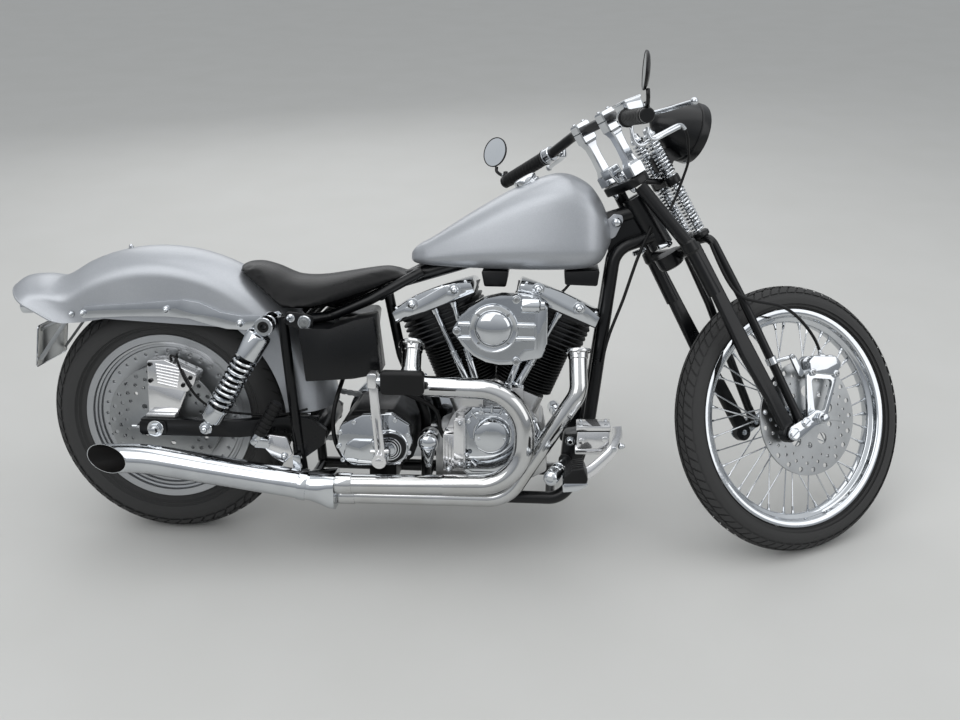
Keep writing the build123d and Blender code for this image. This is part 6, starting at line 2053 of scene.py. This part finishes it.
class RigidFork:
    """The rear, rigid legs of the springer: tubes from the top clamp that run into flat forged blades."""

    OUTLINE = ((1270, 776), (1302, 784), (1374, 655), (1563, 324), (1562, 300), (1541, 290), (1517, 325),
               (1480, 392), (1412, 500), (1336, 650))

    def build(self, shop: Shop) -> None:
        """Builds the legs, the lower crown and its fittings."""
        parts = []
        chrome = []
        tree = on_steering(726.0)
        for side in SIDES:
            start = on_steering(CROWN_Z) - STEER_UP * 5.5 + LEFT * (side * 50)
            route = Bench.bent([start, (1282, side * 88, 772), (1345, side * 92, 655)], [90], 12)
            parts.append(Bench.tube("leg_tube", route, 16.2, 10))
            outline = Bench.outline(list(self.OUTLINE), [8, 8, 40, 9, 9, 9, 12, 60, 60, 40], 5)
            parts.append(Bench.side_slab("blade", outline, side * LEG_Y - 9, side * LEG_Y + 9, 6.5, 4))
            collar = Vector((1345, side * 92, 655)) - Vector((1282, side * 88, 772))
            parts.append(Bench.lathe("collar", [(-14, 15), (-10, 19.5), (12, 20.5), (18, 17), (18, 0),
                                                (-14, 0)], Vector((1282, side * 88, 772)), collar, 40))
            parts.append(Bench.lathe("foot_eye", [(-11, 8), (-11, 20), (-9, 21.5), (9, 21.5), (11, 20),
                                                  (11, 8)], (LEG_FOOT[0], side * LEG_Y, LEG_FOOT[1]), LEFT,
                                     48))
            parts.append(Bench.bar("crown_arm", (tree.x + 4, side * 8, tree.z + 38), (1284, side * 88, 768),
                                   17, 15))
            chrome.append(Bench.bar("stop_bolt", (1214, side * 58, 772), (1238, side * 60, 780), 6.5, 6,
                                    rounding=1))
            chrome.append(Bench.acorn("stop_nut", (1240, side * 60, 781), (0.95, 0, 0.3), 7))
        low = on_steering(734.0)
        high = on_steering(766.0)
        body = (high - low).length
        parts.append(Bench.lathe("crown_hub", [(0, 0), (0, 24), (3, 30), (body * 0.3, 34), (body, 34),
                                               (body, 0)], low, high - low, 64))
        shop.assemble("rigid_fork_legs", parts, BLACK_PAINT, ["rigid_fork"], body=Body.FORK)
        shop.assemble("crown_bolts", chrome, CHROME, body=Body.FORK)


class SpringFork:
    """The sprung legs that meet in a loop under the springs, with the springs, rods and rockers."""

    def build(self, shop: Shop) -> None:
        """Builds the legs, the springs and the rockers."""
        right = [(1580, -94, 340), (1440, -70, 650), (1362, -62, 800)]
        route = Bench.bent(right + [(x, -y, z) for x, y, z in reversed(right)], [120, 24, 24, 120], 10)
        parts = [Bench.tube("loop", route, 11.0, 8)]
        for side in SIDES:
            parts.append(Bench.lathe("eye", [(-12, 7), (-12, 13), (-10, 15), (10, 15), (12, 13), (12, 7)],
                                     (ROCKER_MID[0], side * 94, ROCKER_MID[1]), LEFT, 40))
            parts.append(Bench.bar("leg_end", (1580, side * 94, 338), (1566, side * 91, 372), 13.5, 11))
            parts.append(Bench.lathe("spring_cup", [(-13, 0), (-13, 20), (-2, 21), (1, 19), (1, 0)],
                                     on_spring(0, side * SPRING_Y), SPRING_UP, 40))
        parts.append(plate_across("crown", on_spring(-13, 0), Vector(SPRING_UP), 104, 38, 14, 12.6, 3.0))
        shop.assemble("sprung_legs", parts, BLACK_PAINT, ["spring_fork"], body=Body.FORK)
        rods = []
        for side in SIDES:
            y = side * SPRING_Y
            rods.append(Bench.bar("rod", on_spring(-4, y), on_spring(SPRING_TOP, y), 6.2))
            cup = [(0, 0), (0, 15), (4, 17.5), (9, 17), (12, 13), (16, 11.5), (22, 10.5), (25, 6), (26, 0)]
            rods.append(Bench.lathe("spring_cap", cup, on_spring(SPRING_TOP - 13, y), SPRING_UP, 40))
            rods.append(Bench.lathe("spring_seat", [(0, 7), (0, 17.5), (4, 17.5), (4, 7)], on_spring(155, y),
                                    SPRING_UP, 40))
        shop.assemble("spring_rods", rods, CHROME, body=Body.FORK)
        coils = []
        for side in SIDES:
            coils.append(Bench.coil("low_spring", on_spring(3, side * SPRING_Y),
                                    on_spring(134.5, side * SPRING_Y), 15.0, 2.9, 14.5))
            coils.append(Bench.coil("high_spring", on_spring(160.5, side * SPRING_Y),
                                    on_spring(261, side * SPRING_Y), 15.0, 2.9, 11))
        shop.assemble("springer_coils", coils, CHROME, ["fork_springs"], body=Body.FORK)
        rockers = []
        for side in SIDES:
            x, z = LEG_FOOT
            shape = Bench.outline([(x - 17, z - 8), (x - 8, z + 17), (1600, 352), (1620, 364), (1648, 356),
                                   (1650, 330), (1610, 322), (x + 12, z - 19)],
                                  [10, 10, 16, 12, 14, 14, 30, 10])
            rockers.append(Bench.side_slab("rocker", shape, *sorted((side * 107.4, side * 117)), 2.4, 3))
            rockers.append(slotted_pin("foot_pin", (x, side * 117, z), side, 14.5, 8))
            rockers.append(slotted_pin("mid_pin", (ROCKER_MID[0], side * 117, ROCKER_MID[1]), side, 11.5, 8))
            for px, pz in (LEG_FOOT, ROCKER_MID):
                rockers.append(Bench.bar("pin", (px, side * 82, pz), (px, side * 110, pz), 7.5))
        shop.assemble("rocker_links", rockers, CHROME, ["fork_rockers"], body=Body.FORK)
        shop.reuse("front_axle_bar", "front_axle", 0.8, CHROME, body=Body.FORK)


class FrontBrake:
    """The drilled front disc with its chrome caliper, open bracket, torque link and hose."""

    HOSE = ((1664, -84, 503.3), (1656, -86, 534), (1602, -92, 592), (1545, -98, 626), (1462, -102, 636),
            (1408, -102, 648), (1366, -100, 705), (1340, -92, 780))

    def build(self, shop: Shop) -> None:
        """Builds the disc, the caliper with its bracket, and the hose."""
        shop.cable("front_brake_hose", self.HOSE, 4.0, SOFT_RUBBER, ["brake_hose"], body=Body.FORK)
        rings = [(21, 132, 6.4, 0), (21, 115, 4.5, 8.5), (21, 101, 3.1, 0), (5, 68, 14.5, 20),
                 (5, 70, 7.5, 56)]
        disc = bored_disc("front_disc_plate", FRONT_HUB, -68.0, 5.0, 146.0, 22.2, rings)
        shop.set_down(disc, GROUND_STEEL, ["front_disc"], body=Body.FRONT_WHEEL)
        shape = Bench.outline([(1618, 456), (1615, 486), (1632, 500), (1700, 498), (1716, 480), (1700, 446),
                               (1660, 452)], [8, 8, 8, 8, 8, 8, 30])
        body = Bench.side_slab("caliper", shape, -102, -48, 4.0, 3)
        Bench.carve(body, Bench.lathe("slot", [(-73, 60), (-73, 149), (-63, 149), (-63, 60)], FRONT_HUB,
                                      LEFT, 96))
        parts = [Bench.smooth(body, 35.0)]
        for x, z, radius in ((1636, 484, 15), (1660, 487, 16), (1684, 485, 16), (1702, 474, 13)):
            parts.append(Bench.bar("lobe", (x, -101.4, z), (x, -78, z), radius, sides=40, rounding=3))
        for x, z in ((1624, 458), (1698, 452)):
            parts.append(Bench.bar("caliper_ear", (x, -104, z), (x, -84, z), 9.5, rounding=1.5))
        bracket = Bench.plate("bracket", [(1608, 458), (1704, 448), (1662, 334), (1604, 334)],
                              [8, 8, 12, 10], -98, -87.6, 2.2, 3)
        window = Bench.plate("window", [(1620, 444), (1690, 438), (1658, 360), (1626, 360)], 10, -120, -60)
        parts.append(Bench.smooth(Bench.carve(bracket, window), 30.0))
        parts.append(Bench.bar("bracket_hub", (1626, -107, 343), (1626, -87.6, 343), 21, rounding=1.5))
        link = Bench.outline([(1551, 499), (1560, 507), (1570, 500), (1594, 456), (1586, 446), (1575, 452)],
                             5)
        parts.append(Bench.side_slab("torque_link", link, -106, -99, 1.6))
        parts.append(Bench.bar("link_arm", (1584, -100, 456), (1616, -96, 462), 6, rounding=1))
        parts.append(Bench.bar("link_stay", (1560, -98, 498), (1514, -84, 486), 5.5, rounding=1))
        parts.append(Bench.lathe("leg_clip", [(-9, 10), (-9, 14), (9, 14), (9, 10)], (1512, -82.3, 490.5),
                                 (-0.41, 0.07, 0.91), 40))
        parts.append(Bench.bar("banjo", (1664, -84, 496), (1662, -84.5, 514), 5.5, rounding=1))
        shop.assemble("front_caliper_chrome", parts, CHROME, ["front_caliper"], body=Body.FORK)
        bolts = [Bench.screw("caliper_screw", (x, -104, z), RIGHT, 5.5, 4)
                 for x, z in ((1624, 458), (1698, 452))]
        bolts.append(Bench.screw("link_screw", (1560, -106, 498), RIGHT, 5, 4))
        bolts.append(Bench.acorn("banjo_bolt", (1664, -90, 500), RIGHT, 5))
        shop.assemble("front_caliper_bolts", bolts, GROUND_STEEL, body=Body.FORK)


class TopClamp:
    """The upper crown with the spring perch, and the chrome dog-bone risers on it."""

    HEAD = Vector((1086.0, 0.0, 1075.0)).freeze()

    def riser(self, side: int) -> list[Piece]:
        """Builds one riser with its split top clamp and bolts.

        Args:
            side: -1 for the right side, 1 for the left.

        Returns:
            Its pieces.
        """
        foot = on_steering(CROWN_Z) + STEER_UP * 23.1 + LEFT * (side * 62)
        head = Vector((self.HEAD.x, side * 62, self.HEAD.z))
        up = (head - foot).normalized()
        fore = Vector((up.z, 0, -up.x))
        reach = (head - foot).length

        def ring(along: float, deep: float, wide: float) -> list[Vector]:
            """Gives one bevelled rectangular cross-section."""
            cut = 3.0
            flat = [(-deep, -wide + cut), (-deep + cut, -wide), (deep - cut, -wide), (deep, -wide + cut),
                    (deep, wide - cut), (deep - cut, wide), (-deep + cut, wide), (-deep, wide - cut)]
            return [foot + up * along + fore * a + LEFT * b for a, b in flat]

        shaft = [ring(0, 18, 16), ring(2, 20, 18), ring(26, 20, 18), ring(29, 17, 16), ring(44, 12.5, 14),
                 ring(78, 11.5, 13), ring(reach - 44, 12.5, 13.5), ring(reach - 30, 17, 16),
                 ring(reach - 26, 20, 18), ring(reach - 2, 20.5, 18), ring(reach - 0.8, 19.5, 17)]
        cap = [ring(reach + 0.8, 19.5, 17), ring(reach + 2, 20.5, 18), ring(reach + 18, 20.5, 18),
               ring(reach + 22, 17.5, 16)]
        parts = [Bench.smooth(Bench.skin(name, rings), 20.0)
                 for name, rings in (("riser", shaft), ("riser_cap", cap))]
        for offset in (-14.5, 14.5):
            parts.append(Bench.screw("cap_screw", foot + up * (reach + 21) + fore * offset, up, 4.6, 5))
        return parts

    def build(self, shop: Shop) -> None:
        """Builds the crown, its perch and both risers."""
        clamp = on_steering(CROWN_Z)
        black = [plate_across("crown_plate", clamp, STEER_UP, 150, 56, 20, 22, 3.0),
                 plate_across("perch", on_spring(PERCH, 0), Vector(SPRING_UP), 98, 38, 17, 16, 3.0),
                 Bench.bar("perch_arm", clamp + STEER_UP * 10 + STEER_OUT * 20, on_spring(146, 0), 8)]
        for side in SIDES:
            black.append(Bench.lathe("perch_collar", [(-3, 8), (-3, 18), (0, 19.5), (16, 19.5), (19, 18),
                                                      (19, 8)], on_spring(PERCH, side * SPRING_Y), SPRING_UP,
                                     40))
        shop.assemble("top_crown", black, BLACK_PAINT, ["top_clamp"], body=Body.FORK)
        bright = [Bench.acorn("stem_nut", clamp + STEER_UP * 22, STEER_UP, 15)]
        bright += [Bench.acorn("leg_nut", clamp - STEER_UP - STEER_OUT * 16 + LEFT * (side * 42),
                               -STEER_UP, 7) for side in SIDES]
        post = clamp + STEER_UP * 20 - STEER_OUT * 14
        bright.append(Bench.bar("box_post", post, post + STEER_UP * 26 - STEER_OUT * 6, 5))
        bright.append(plate_across("lamp_box", post + STEER_UP * 24 - STEER_OUT * 6, STEER_UP, 44, 34, 5,
                                   24, 2.5))
        shop.assemble("crown_chrome", bright, CHROME, body=Body.FORK)
        risers = self.riser(-1) + self.riser(1)
        shop.assemble("dog_bone_risers", risers, CHROME, ["risers"], body=Body.FORK)


class Handlebar:
    """The black drag bar with rubber grips, chrome levers and clamps, and round mirrors."""

    GRIP_START = Vector((1054.0, 204.0, 1041.0)).freeze()
    GRIP_END = Vector((1010.0, 354.0, 1006.5)).freeze()
    ELBOW = ((1066, -200, 1040), (1069, -198, 1008), (1078, -196, 987), (1096, -196, 983), (1120, -194, 998),
             (1161, -190, 1019), (1198, -184, 1037), (1214, -181, 1039), (1224, -178, 1032))
    CABLE = ((1236, -170, 1014), (1250, -150, 994), (1266, -124, 970), (1267, -96, 935), (1258, -72, 889),
             (1246, -64, 862))

    def at_side(self, place: Vector, side: int) -> Vector:
        """Gives a left-hand point on the wanted side."""
        return Vector((place.x, place.y * side, place.z))

    def build(self, shop: Shop) -> None:
        """Builds the bar with everything on it."""
        half = [(1012, -348, 1008), (1058, -190, 1044), (1086, -110, 1075)]
        route = Bench.bent(half + [(x, -y, z) for x, y, z in reversed(half)], [60] * 4, 10)
        bar = Bench.tube("drag_bar", route, 12.7, 10)
        shop.set_down(bar, BLACK_PAINT, ["handlebar"], body=Body.FORK)
        grips = []
        chrome = []
        stems = []
        shells = []
        glasses = []
        for side in SIDES:
            start = self.at_side(self.GRIP_START, side)
            end = self.at_side(self.GRIP_END, side)
            along = (end - start).normalized()
            reach = (end - start).length
            profile = [(0, 12), (0, 20), (3, 21.5), (7, 20), (10, 17.6)]
            for k in range(11):
                profile += [(14 + k * 12, 17.8), (15 + k * 12, 16.6), (17 + k * 12, 16.6),
                            (18 + k * 12, 17.8)]
            profile += [(reach - 8, 17.6), (reach - 3, 17.2), (reach, 14), (reach, 12)]
            grips.append(Bench.lathe("grip", profile, start, along, 40))
            clamp = start - along * 24
            chrome.append(Bench.lathe("lever_clamp", [(0, 12), (0, 18), (2, 20), (18, 20), (20, 18),
                                                      (20, 12)], clamp, along, 40))
            chrome.append(Bench.bar("clamp_ring", start - along * 3, start - along * 0.4, 21, rounding=0.8))
            pivot = Vector((1093, side * 188, 1050))
            chrome.append(Bench.bar("pivot_arm", clamp + along * 10, pivot, 11, 9, rounding=2))
            chrome.append(Bench.bar("pivot", pivot - Vector((0, 0, 12)), pivot + Vector((0, 0, 12)), 10,
                                    rounding=2))
            path = Bench.rows([(1093, 188, 1050), (1113, 214, 1052), (1125, 256, 1051), (1128, 300, 1048),
                               (1134, 344, 1046)], 6)
            rings = []
            for k, place in enumerate(path):
                ahead = Bench.heading(path, k)
                out = Vector((ahead.y, -ahead.x, 0)).normalized()
                wide = 7.5 - 2.6 * k / len(path)
                ring = [Vector(place) + out * wide * math.cos(a) + Vector((0, 0, 5.2 * math.sin(a)))
                        for a in (math.pi * step / 6 for step in range(12))]
                rings.append([self.at_side(point, side) for point in ring])
            chrome.append(Bench.skin("lever", rings))
            chrome.append(Bench.ball("lever_ball", (1135, side * 350, 1046), 8.5))
            band = end + along * 0.5
            stems.append(Bench.lathe("bar_end", [(0, 0), (0, 14), (2, 16.5), (10, 16.5), (13, 14), (13, 0)],
                                     band, along, 40))
            stems.append(Bench.bar("stem_boss", band + along * 6 + Vector((0, 0, 10)),
                                   band + along * 6 + Vector((0, 0, 28)), 7.5, 6, rounding=1.5))
            centre = Vector((998, side * 390, 1090))
            facing = Vector((-0.9, -0.42 * side, 0.1)).normalized()
            route = Bench.rows([tuple(band + along * 6 + Vector((0, 0, 20))), (1003, side * 374, 1026),
                                tuple(centre + facing * 3 - Vector((0, 0, 52))),
                                tuple(centre + facing * 3 - Vector((0, 0, 39)))], 5)
            stems.append(Bench.tube("stem", route, 4.4, 5))
            shell = [(-2, 0), (-2, 20), (0, 32), (3, 39), (6, 40.8), (9, 40.8), (9.4, 40), (9.4, 38.2),
                     (8, 38), (8, 0)]
            shells.append(Bench.lathe("mirror_shell", shell, centre, facing, 64))
            glasses.append(Bench.lathe("mirror_glass", [(7.8, 0), (7.8, 38.2), (8.6, 38.2), (8.7, 0)],
                                       centre, facing, 64))
            chrome.append(Bench.screw("boss_screw", band + along * 10 + Vector((-5, 0, 20)), (-1, 0, 0), 3.5,
                                      3))
        box = Bench.plate("reservoir", [(1043, 1074), (1084, 1090), (1093, 1066), (1054, 1050)], 3, -216,
                          -166, 2.0)
        lid = Bench.plate("reservoir_lid", [(1039, 1076), (1083, 1094), (1085.6, 1088), (1041.6, 1070)], 2,
                          -219, -163, 1.5)
        chrome += [box, lid]
        spare = [(1104, -206, 1022), (1110, -206, 1000), (1126, -204, 997), (1154, -200, 1010),
                 (1200, -192, 1032)]
        for route in (self.ELBOW, spare):
            chrome.append(Bench.tube("throttle_elbow", Bench.rows(route, 3), 4.6, 6))
        shop.cable("throttle_cable", Bench.rows(self.ELBOW + self.CABLE, 3), 3.3, SOFT_RUBBER, body=Body.FORK)
        shop.assemble("hand_grips", grips, SOFT_RUBBER, body=Body.FORK)
        shop.assemble("hand_levers", chrome, CHROME, body=Body.FORK)
        shop.assemble("mirror_shells", shells + stems, BLACK_PAINT, ["mirrors"], body=Body.FORK)
        shop.assemble("mirror_glasses", glasses, MIRROR_GLASS, body=Body.FORK)


class Headlight:
    """The black bullet lamp with its bezel, reflector and glass, on its post."""

    FRONT = Vector((1368.0, 0.0, 1070.0)).freeze()
    AXIS = Vector((0.971, 0.0, -0.238)).freeze()

    def build(self, shop: Shop) -> None:
        """Builds the lamp in place of its plain solid."""
        shell = [(-125, 0), (-124, 9), (-121, 16), (-112, 27), (-98, 39), (-78, 52), (-56, 62.5),
                 (-36, 69.5), (-24, 72.6), (-23.4, 75.6), (-21, 76.8), (-2, 77), (1, 76), (2.4, 73),
                 (2.2, 69), (0, 67.6), (-4, 67.2), (-10, 66), (-30, 58), (-60, 38), (-76, 12), (-78, 0)]
        lamp = [Bench.lathe("lamp_shell", shell, self.FRONT, self.AXIS, 128, 25.0)]
        post = [Bench.bar("lamp_post", on_spring(160, 0), (1314, 0, 1030), 8),
                Bench.plate("lamp_bracket", [(1262, 962), (1240, 1000), (1256, 1024), (1318, 1034),
                                             (1330, 1010), (1286, 990)], 7, -11, 11, 3.0)]
        shop.assemble("headlight_shell", lamp + post, BLACK_PAINT, ["headlight"], body=Body.FORK)
        bowl = [(-3, 66.4), (-12, 63), (-32, 53), (-52, 36), (-62, 14), (-63, 0), (-64.5, 0), (-63.5, 15),
                (-53, 38), (-33, 55), (-13, 64.6), (-3, 67)]
        bulb = Bench.lathe("bulb", [(-62, 0), (-62, 6), (-44, 6), (-38, 4), (-36, 0)], self.FRONT, self.AXIS,
                           24)
        shop.assemble("lamp_reflector", [Bench.lathe("bowl", bowl, self.FRONT, self.AXIS, 96), bulb], CHROME,
                      body=Body.FORK)
        glass = [(-3, 66.8), (2, 66), (7, 55), (10.5, 34), (12, 0), (9, 0), (7.5, 33), (4, 53), (-1, 63.6),
                 (-3, 64)]
        shop.set_down(Bench.lathe("lamp_glass", glass, self.FRONT, self.AXIS, 96), CLEAR_GLASS,
                      body=Body.FORK)
        nuts = [Bench.acorn("lamp_nut", (1256, -11, 1000), RIGHT, 9),
                Bench.acorn("lamp_nut", (1256, 11, 1000), LEFT, 9),
                Bench.screw("bezel_screw", self.FRONT + Vector((-29, 0, -72)), (-0.238, 0, -0.971), 4, 3)]
        shop.assemble("lamp_nuts", nuts, CHROME, body=Body.FORK)


class SideStand:
    """The side stand's leg and foot, already where it rests on the floor."""

    def build(self, shop: Shop) -> None:
        """Copies the stand with its edges rounded."""
        shop.reuse("side_stand_leg", "side_stand", 1.4, CHROME, body=Body.STAND)


ASSEMBLIES: tuple[Callable, ...] = (FrontBrake, front_tyre, rear_tyre, FrontWheel, RearWheel, FuelTank,
                                    RearFender, Seat, FenderStruts, Shocks, Swingarm, RearBrake, TailPieces,
                                    DriveChain, PassengerPegs, EngineCases, TopEnd, AirCleaner, Exhausts,
                                    Gearbox, ForwardControls, MidFrame, RigidFork, SpringFork, TopClamp,
                                    Handlebar, Headlight, SideStand)


class Studio:
    """The pale floor, the soft lamps and the camera at the photograph's place."""

    CAMERA_OFFSET = Vector((0.997, -2.4935, 1.379))
    YAW = math.radians(4.18)
    PITCH = math.radians(25.83)
    ROLL = math.radians(-0.73)
    LENS = 40.93

    def __init__(self, stance: Stance) -> None:
        """Keeps the stance that the camera is placed from."""
        self.stance = stance

    def camera(self) -> None:
        """Sets the camera where the photograph was taken from."""
        data = bpy.data.cameras.new("camera")
        data.lens = self.LENS
        data.clip_end = 60.0
        camera = bpy.data.objects.new("camera", data)
        bpy.context.scene.collection.objects.link(camera)
        turn = Matrix.Rotation(self.YAW, 3, "Z") @ Matrix.Rotation(-self.PITCH, 3, "X")
        right, ahead, up = turn.col[0], turn.col[1], turn.col[2]
        level = math.cos(self.ROLL) * right + math.sin(self.ROLL) * up
        rise = -math.sin(self.ROLL) * right + math.cos(self.ROLL) * up
        view = Matrix((level, rise, -ahead)).transposed().to_4x4()
        camera.matrix_world = Matrix.Translation(self.stance.rear_hub + self.CAMERA_OFFSET) @ view
        bpy.context.scene.camera = camera

    def lamp(self, name: str, place: Point, target: Point, size: float, power: float) -> None:
        """Adds a square soft lamp.

        Args:
            name: The lamp's name.
            place: Where it hangs, in metres.
            target: What it points at.
            size: The side of the square.
            power: Its power in watts.
        """
        data = bpy.data.lights.new(name, "AREA")
        data.shape = "SQUARE"
        data.size = size
        data.energy = power
        lamp = bpy.data.objects.new(name, data)
        bpy.context.scene.collection.objects.link(lamp)
        lamp.location = place
        lamp.rotation_euler = (Vector(target) - Vector(place)).to_track_quat("-Z", "Y").to_euler()

    def floor(self) -> None:
        """Lays a wide pale floor."""
        bpy.ops.object.select_all(action="DESELECT")
        bpy.ops.mesh.primitive_plane_add(size=60.0, location=(0, 0, 0))
        floor = Bench.named("studio_floor")
        material = bpy.data.materials.new("studio_floor_paint")
        material.use_nodes = True
        tree = material.node_tree
        shader = tree.nodes["Principled BSDF"]
        shader.inputs["Roughness"].default_value = 0.75
        shader.inputs["Specular IOR Level"].default_value = 0.2
        where = add_node(tree, "ShaderNodeTexCoord").outputs["Object"]
        noise = add_node(tree, "ShaderNodeTexNoise", {"Scale": 3.0}, {"Vector": where})
        colour = add_node(tree, "ShaderNodeMix",
                          {"data_type": "RGBA", MIX_A: hex_linear("#c6c6c3"), MIX_B: hex_linear("#ccccca")},
                          {"Factor": noise.outputs["Fac"]})
        tree.links.new(colour.outputs[MIX_RESULT], shader.inputs["Base Color"])
        floor.data.materials.append(material)

    def world(self) -> None:
        """Sets a soft sky, pale above and greyer towards the horizon where metal and the camera see it."""
        world = bpy.data.worlds.new("studio")
        bpy.context.scene.world = world
        world.use_nodes = True
        tree = world.node_tree
        back = tree.nodes["Background"]
        back.inputs["Color"].default_value = hex_linear("#e9ecef")
        back.inputs["Strength"].default_value = 0.66
        height = add_node(tree, "ShaderNodeSeparateXYZ",
                          links={"Vector": add_node(tree, "ShaderNodeTexCoord").outputs["Generated"]})
        rise = add_node(tree, "ShaderNodeMapRange", {"From Min": 0.0, "From Max": 0.6},
                        {"Value": height.outputs["Z"]})
        sky = add_node(tree, "ShaderNodeMix",
                       {"data_type": "RGBA", MIX_A: hex_linear("#9a9ea3"), MIX_B: hex_linear("#eef1f4")},
                       {"Factor": rise.outputs["Result"]})
        bright = add_node(tree, "ShaderNodeBackground", {"Strength": 0.9}, {"Color": sky.outputs[MIX_RESULT]})
        path = add_node(tree, "ShaderNodeLightPath")
        first = add_node(tree, "ShaderNodeMath", {"operation": "MAXIMUM"},
                         {0: path.outputs["Is Camera Ray"], 1: path.outputs["Is Glossy Ray"]})
        seen = add_node(tree, "ShaderNodeMath", {"operation": "MAXIMUM"},
                        {0: first.outputs["Value"], 1: path.outputs["Is Transmission Ray"]})
        mix = add_node(tree, "ShaderNodeMixShader", None,
                       {0: seen.outputs["Value"], 1: back.outputs["Background"],
                        2: bright.outputs["Background"]})
        tree.links.new(mix.outputs["Shader"], tree.nodes["World Output"].inputs["Surface"])

    def build(self) -> None:
        """Sets up the whole studio."""
        bpy.context.scene.view_settings.view_transform = "Standard"
        self.camera()
        self.floor()
        self.world()
        self.lamp("key_softbox", (-1.6, -2.6, 3.6), (0.1, 0, 0.5), 3.4, 56.0)
        self.lamp("top_softbox", (0.6, 0.4, 4.0), (0, 0, 0.4), 4.0, 54.0)
        self.lamp("side_softbox", (3.6, -1.6, 2.2), (0.3, 0, 0.6), 2.6, 24.0)
        self.lamp("rear_softbox", (-1.2, 3.4, 2.6), (0, 0, 0.6), 3.0, 32.0)


FINISHES = {finish.slot: finish for finish in (
    SILVER_PAINT, BLACK_PAINT, ENGINE_BLACK, CHROME, POLISHED_ALLOY, CAST_ALLOY, GROUND_STEEL, TYRE_RUBBER,
    SOFT_RUBBER, SEAT_VINYL, PLATE_WHITE)}


def dress_nodes(frame: dict) -> None:
    """Gives every CAD node the finish that its record names.
    """
    for row in frame["record"]["subparts"]:
        node = frame["nodes"][row["node"]]
        finish = FINISHES[row["material_slot"]]
        node.data.materials.clear()
        node.data.materials.append(finish.material())
        log.info("node %s: %s", row["node"], finish.name)


def corners(box: Iterable[Vector]) -> list[list[float]]:
    """Gives a box's corners as plain numbers."""
    return [[float(value) for value in corner] for corner in box]


def main() -> None:
    """Builds the studio and every sub-assembly, in order."""
    logging.basicConfig(level=logging.INFO, format="%(name)s %(message)s")
    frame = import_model()
    stance = Stance(frame)
    Studio(stance).build()
    dress_nodes(frame)
    shop = Shop(stance, frame["nodes"])
    for assembly in ASSEMBLIES:
        log.info("building %s", assembly.__name__)
        assembly().build(shop)


if __name__ == "__main__":
    main()
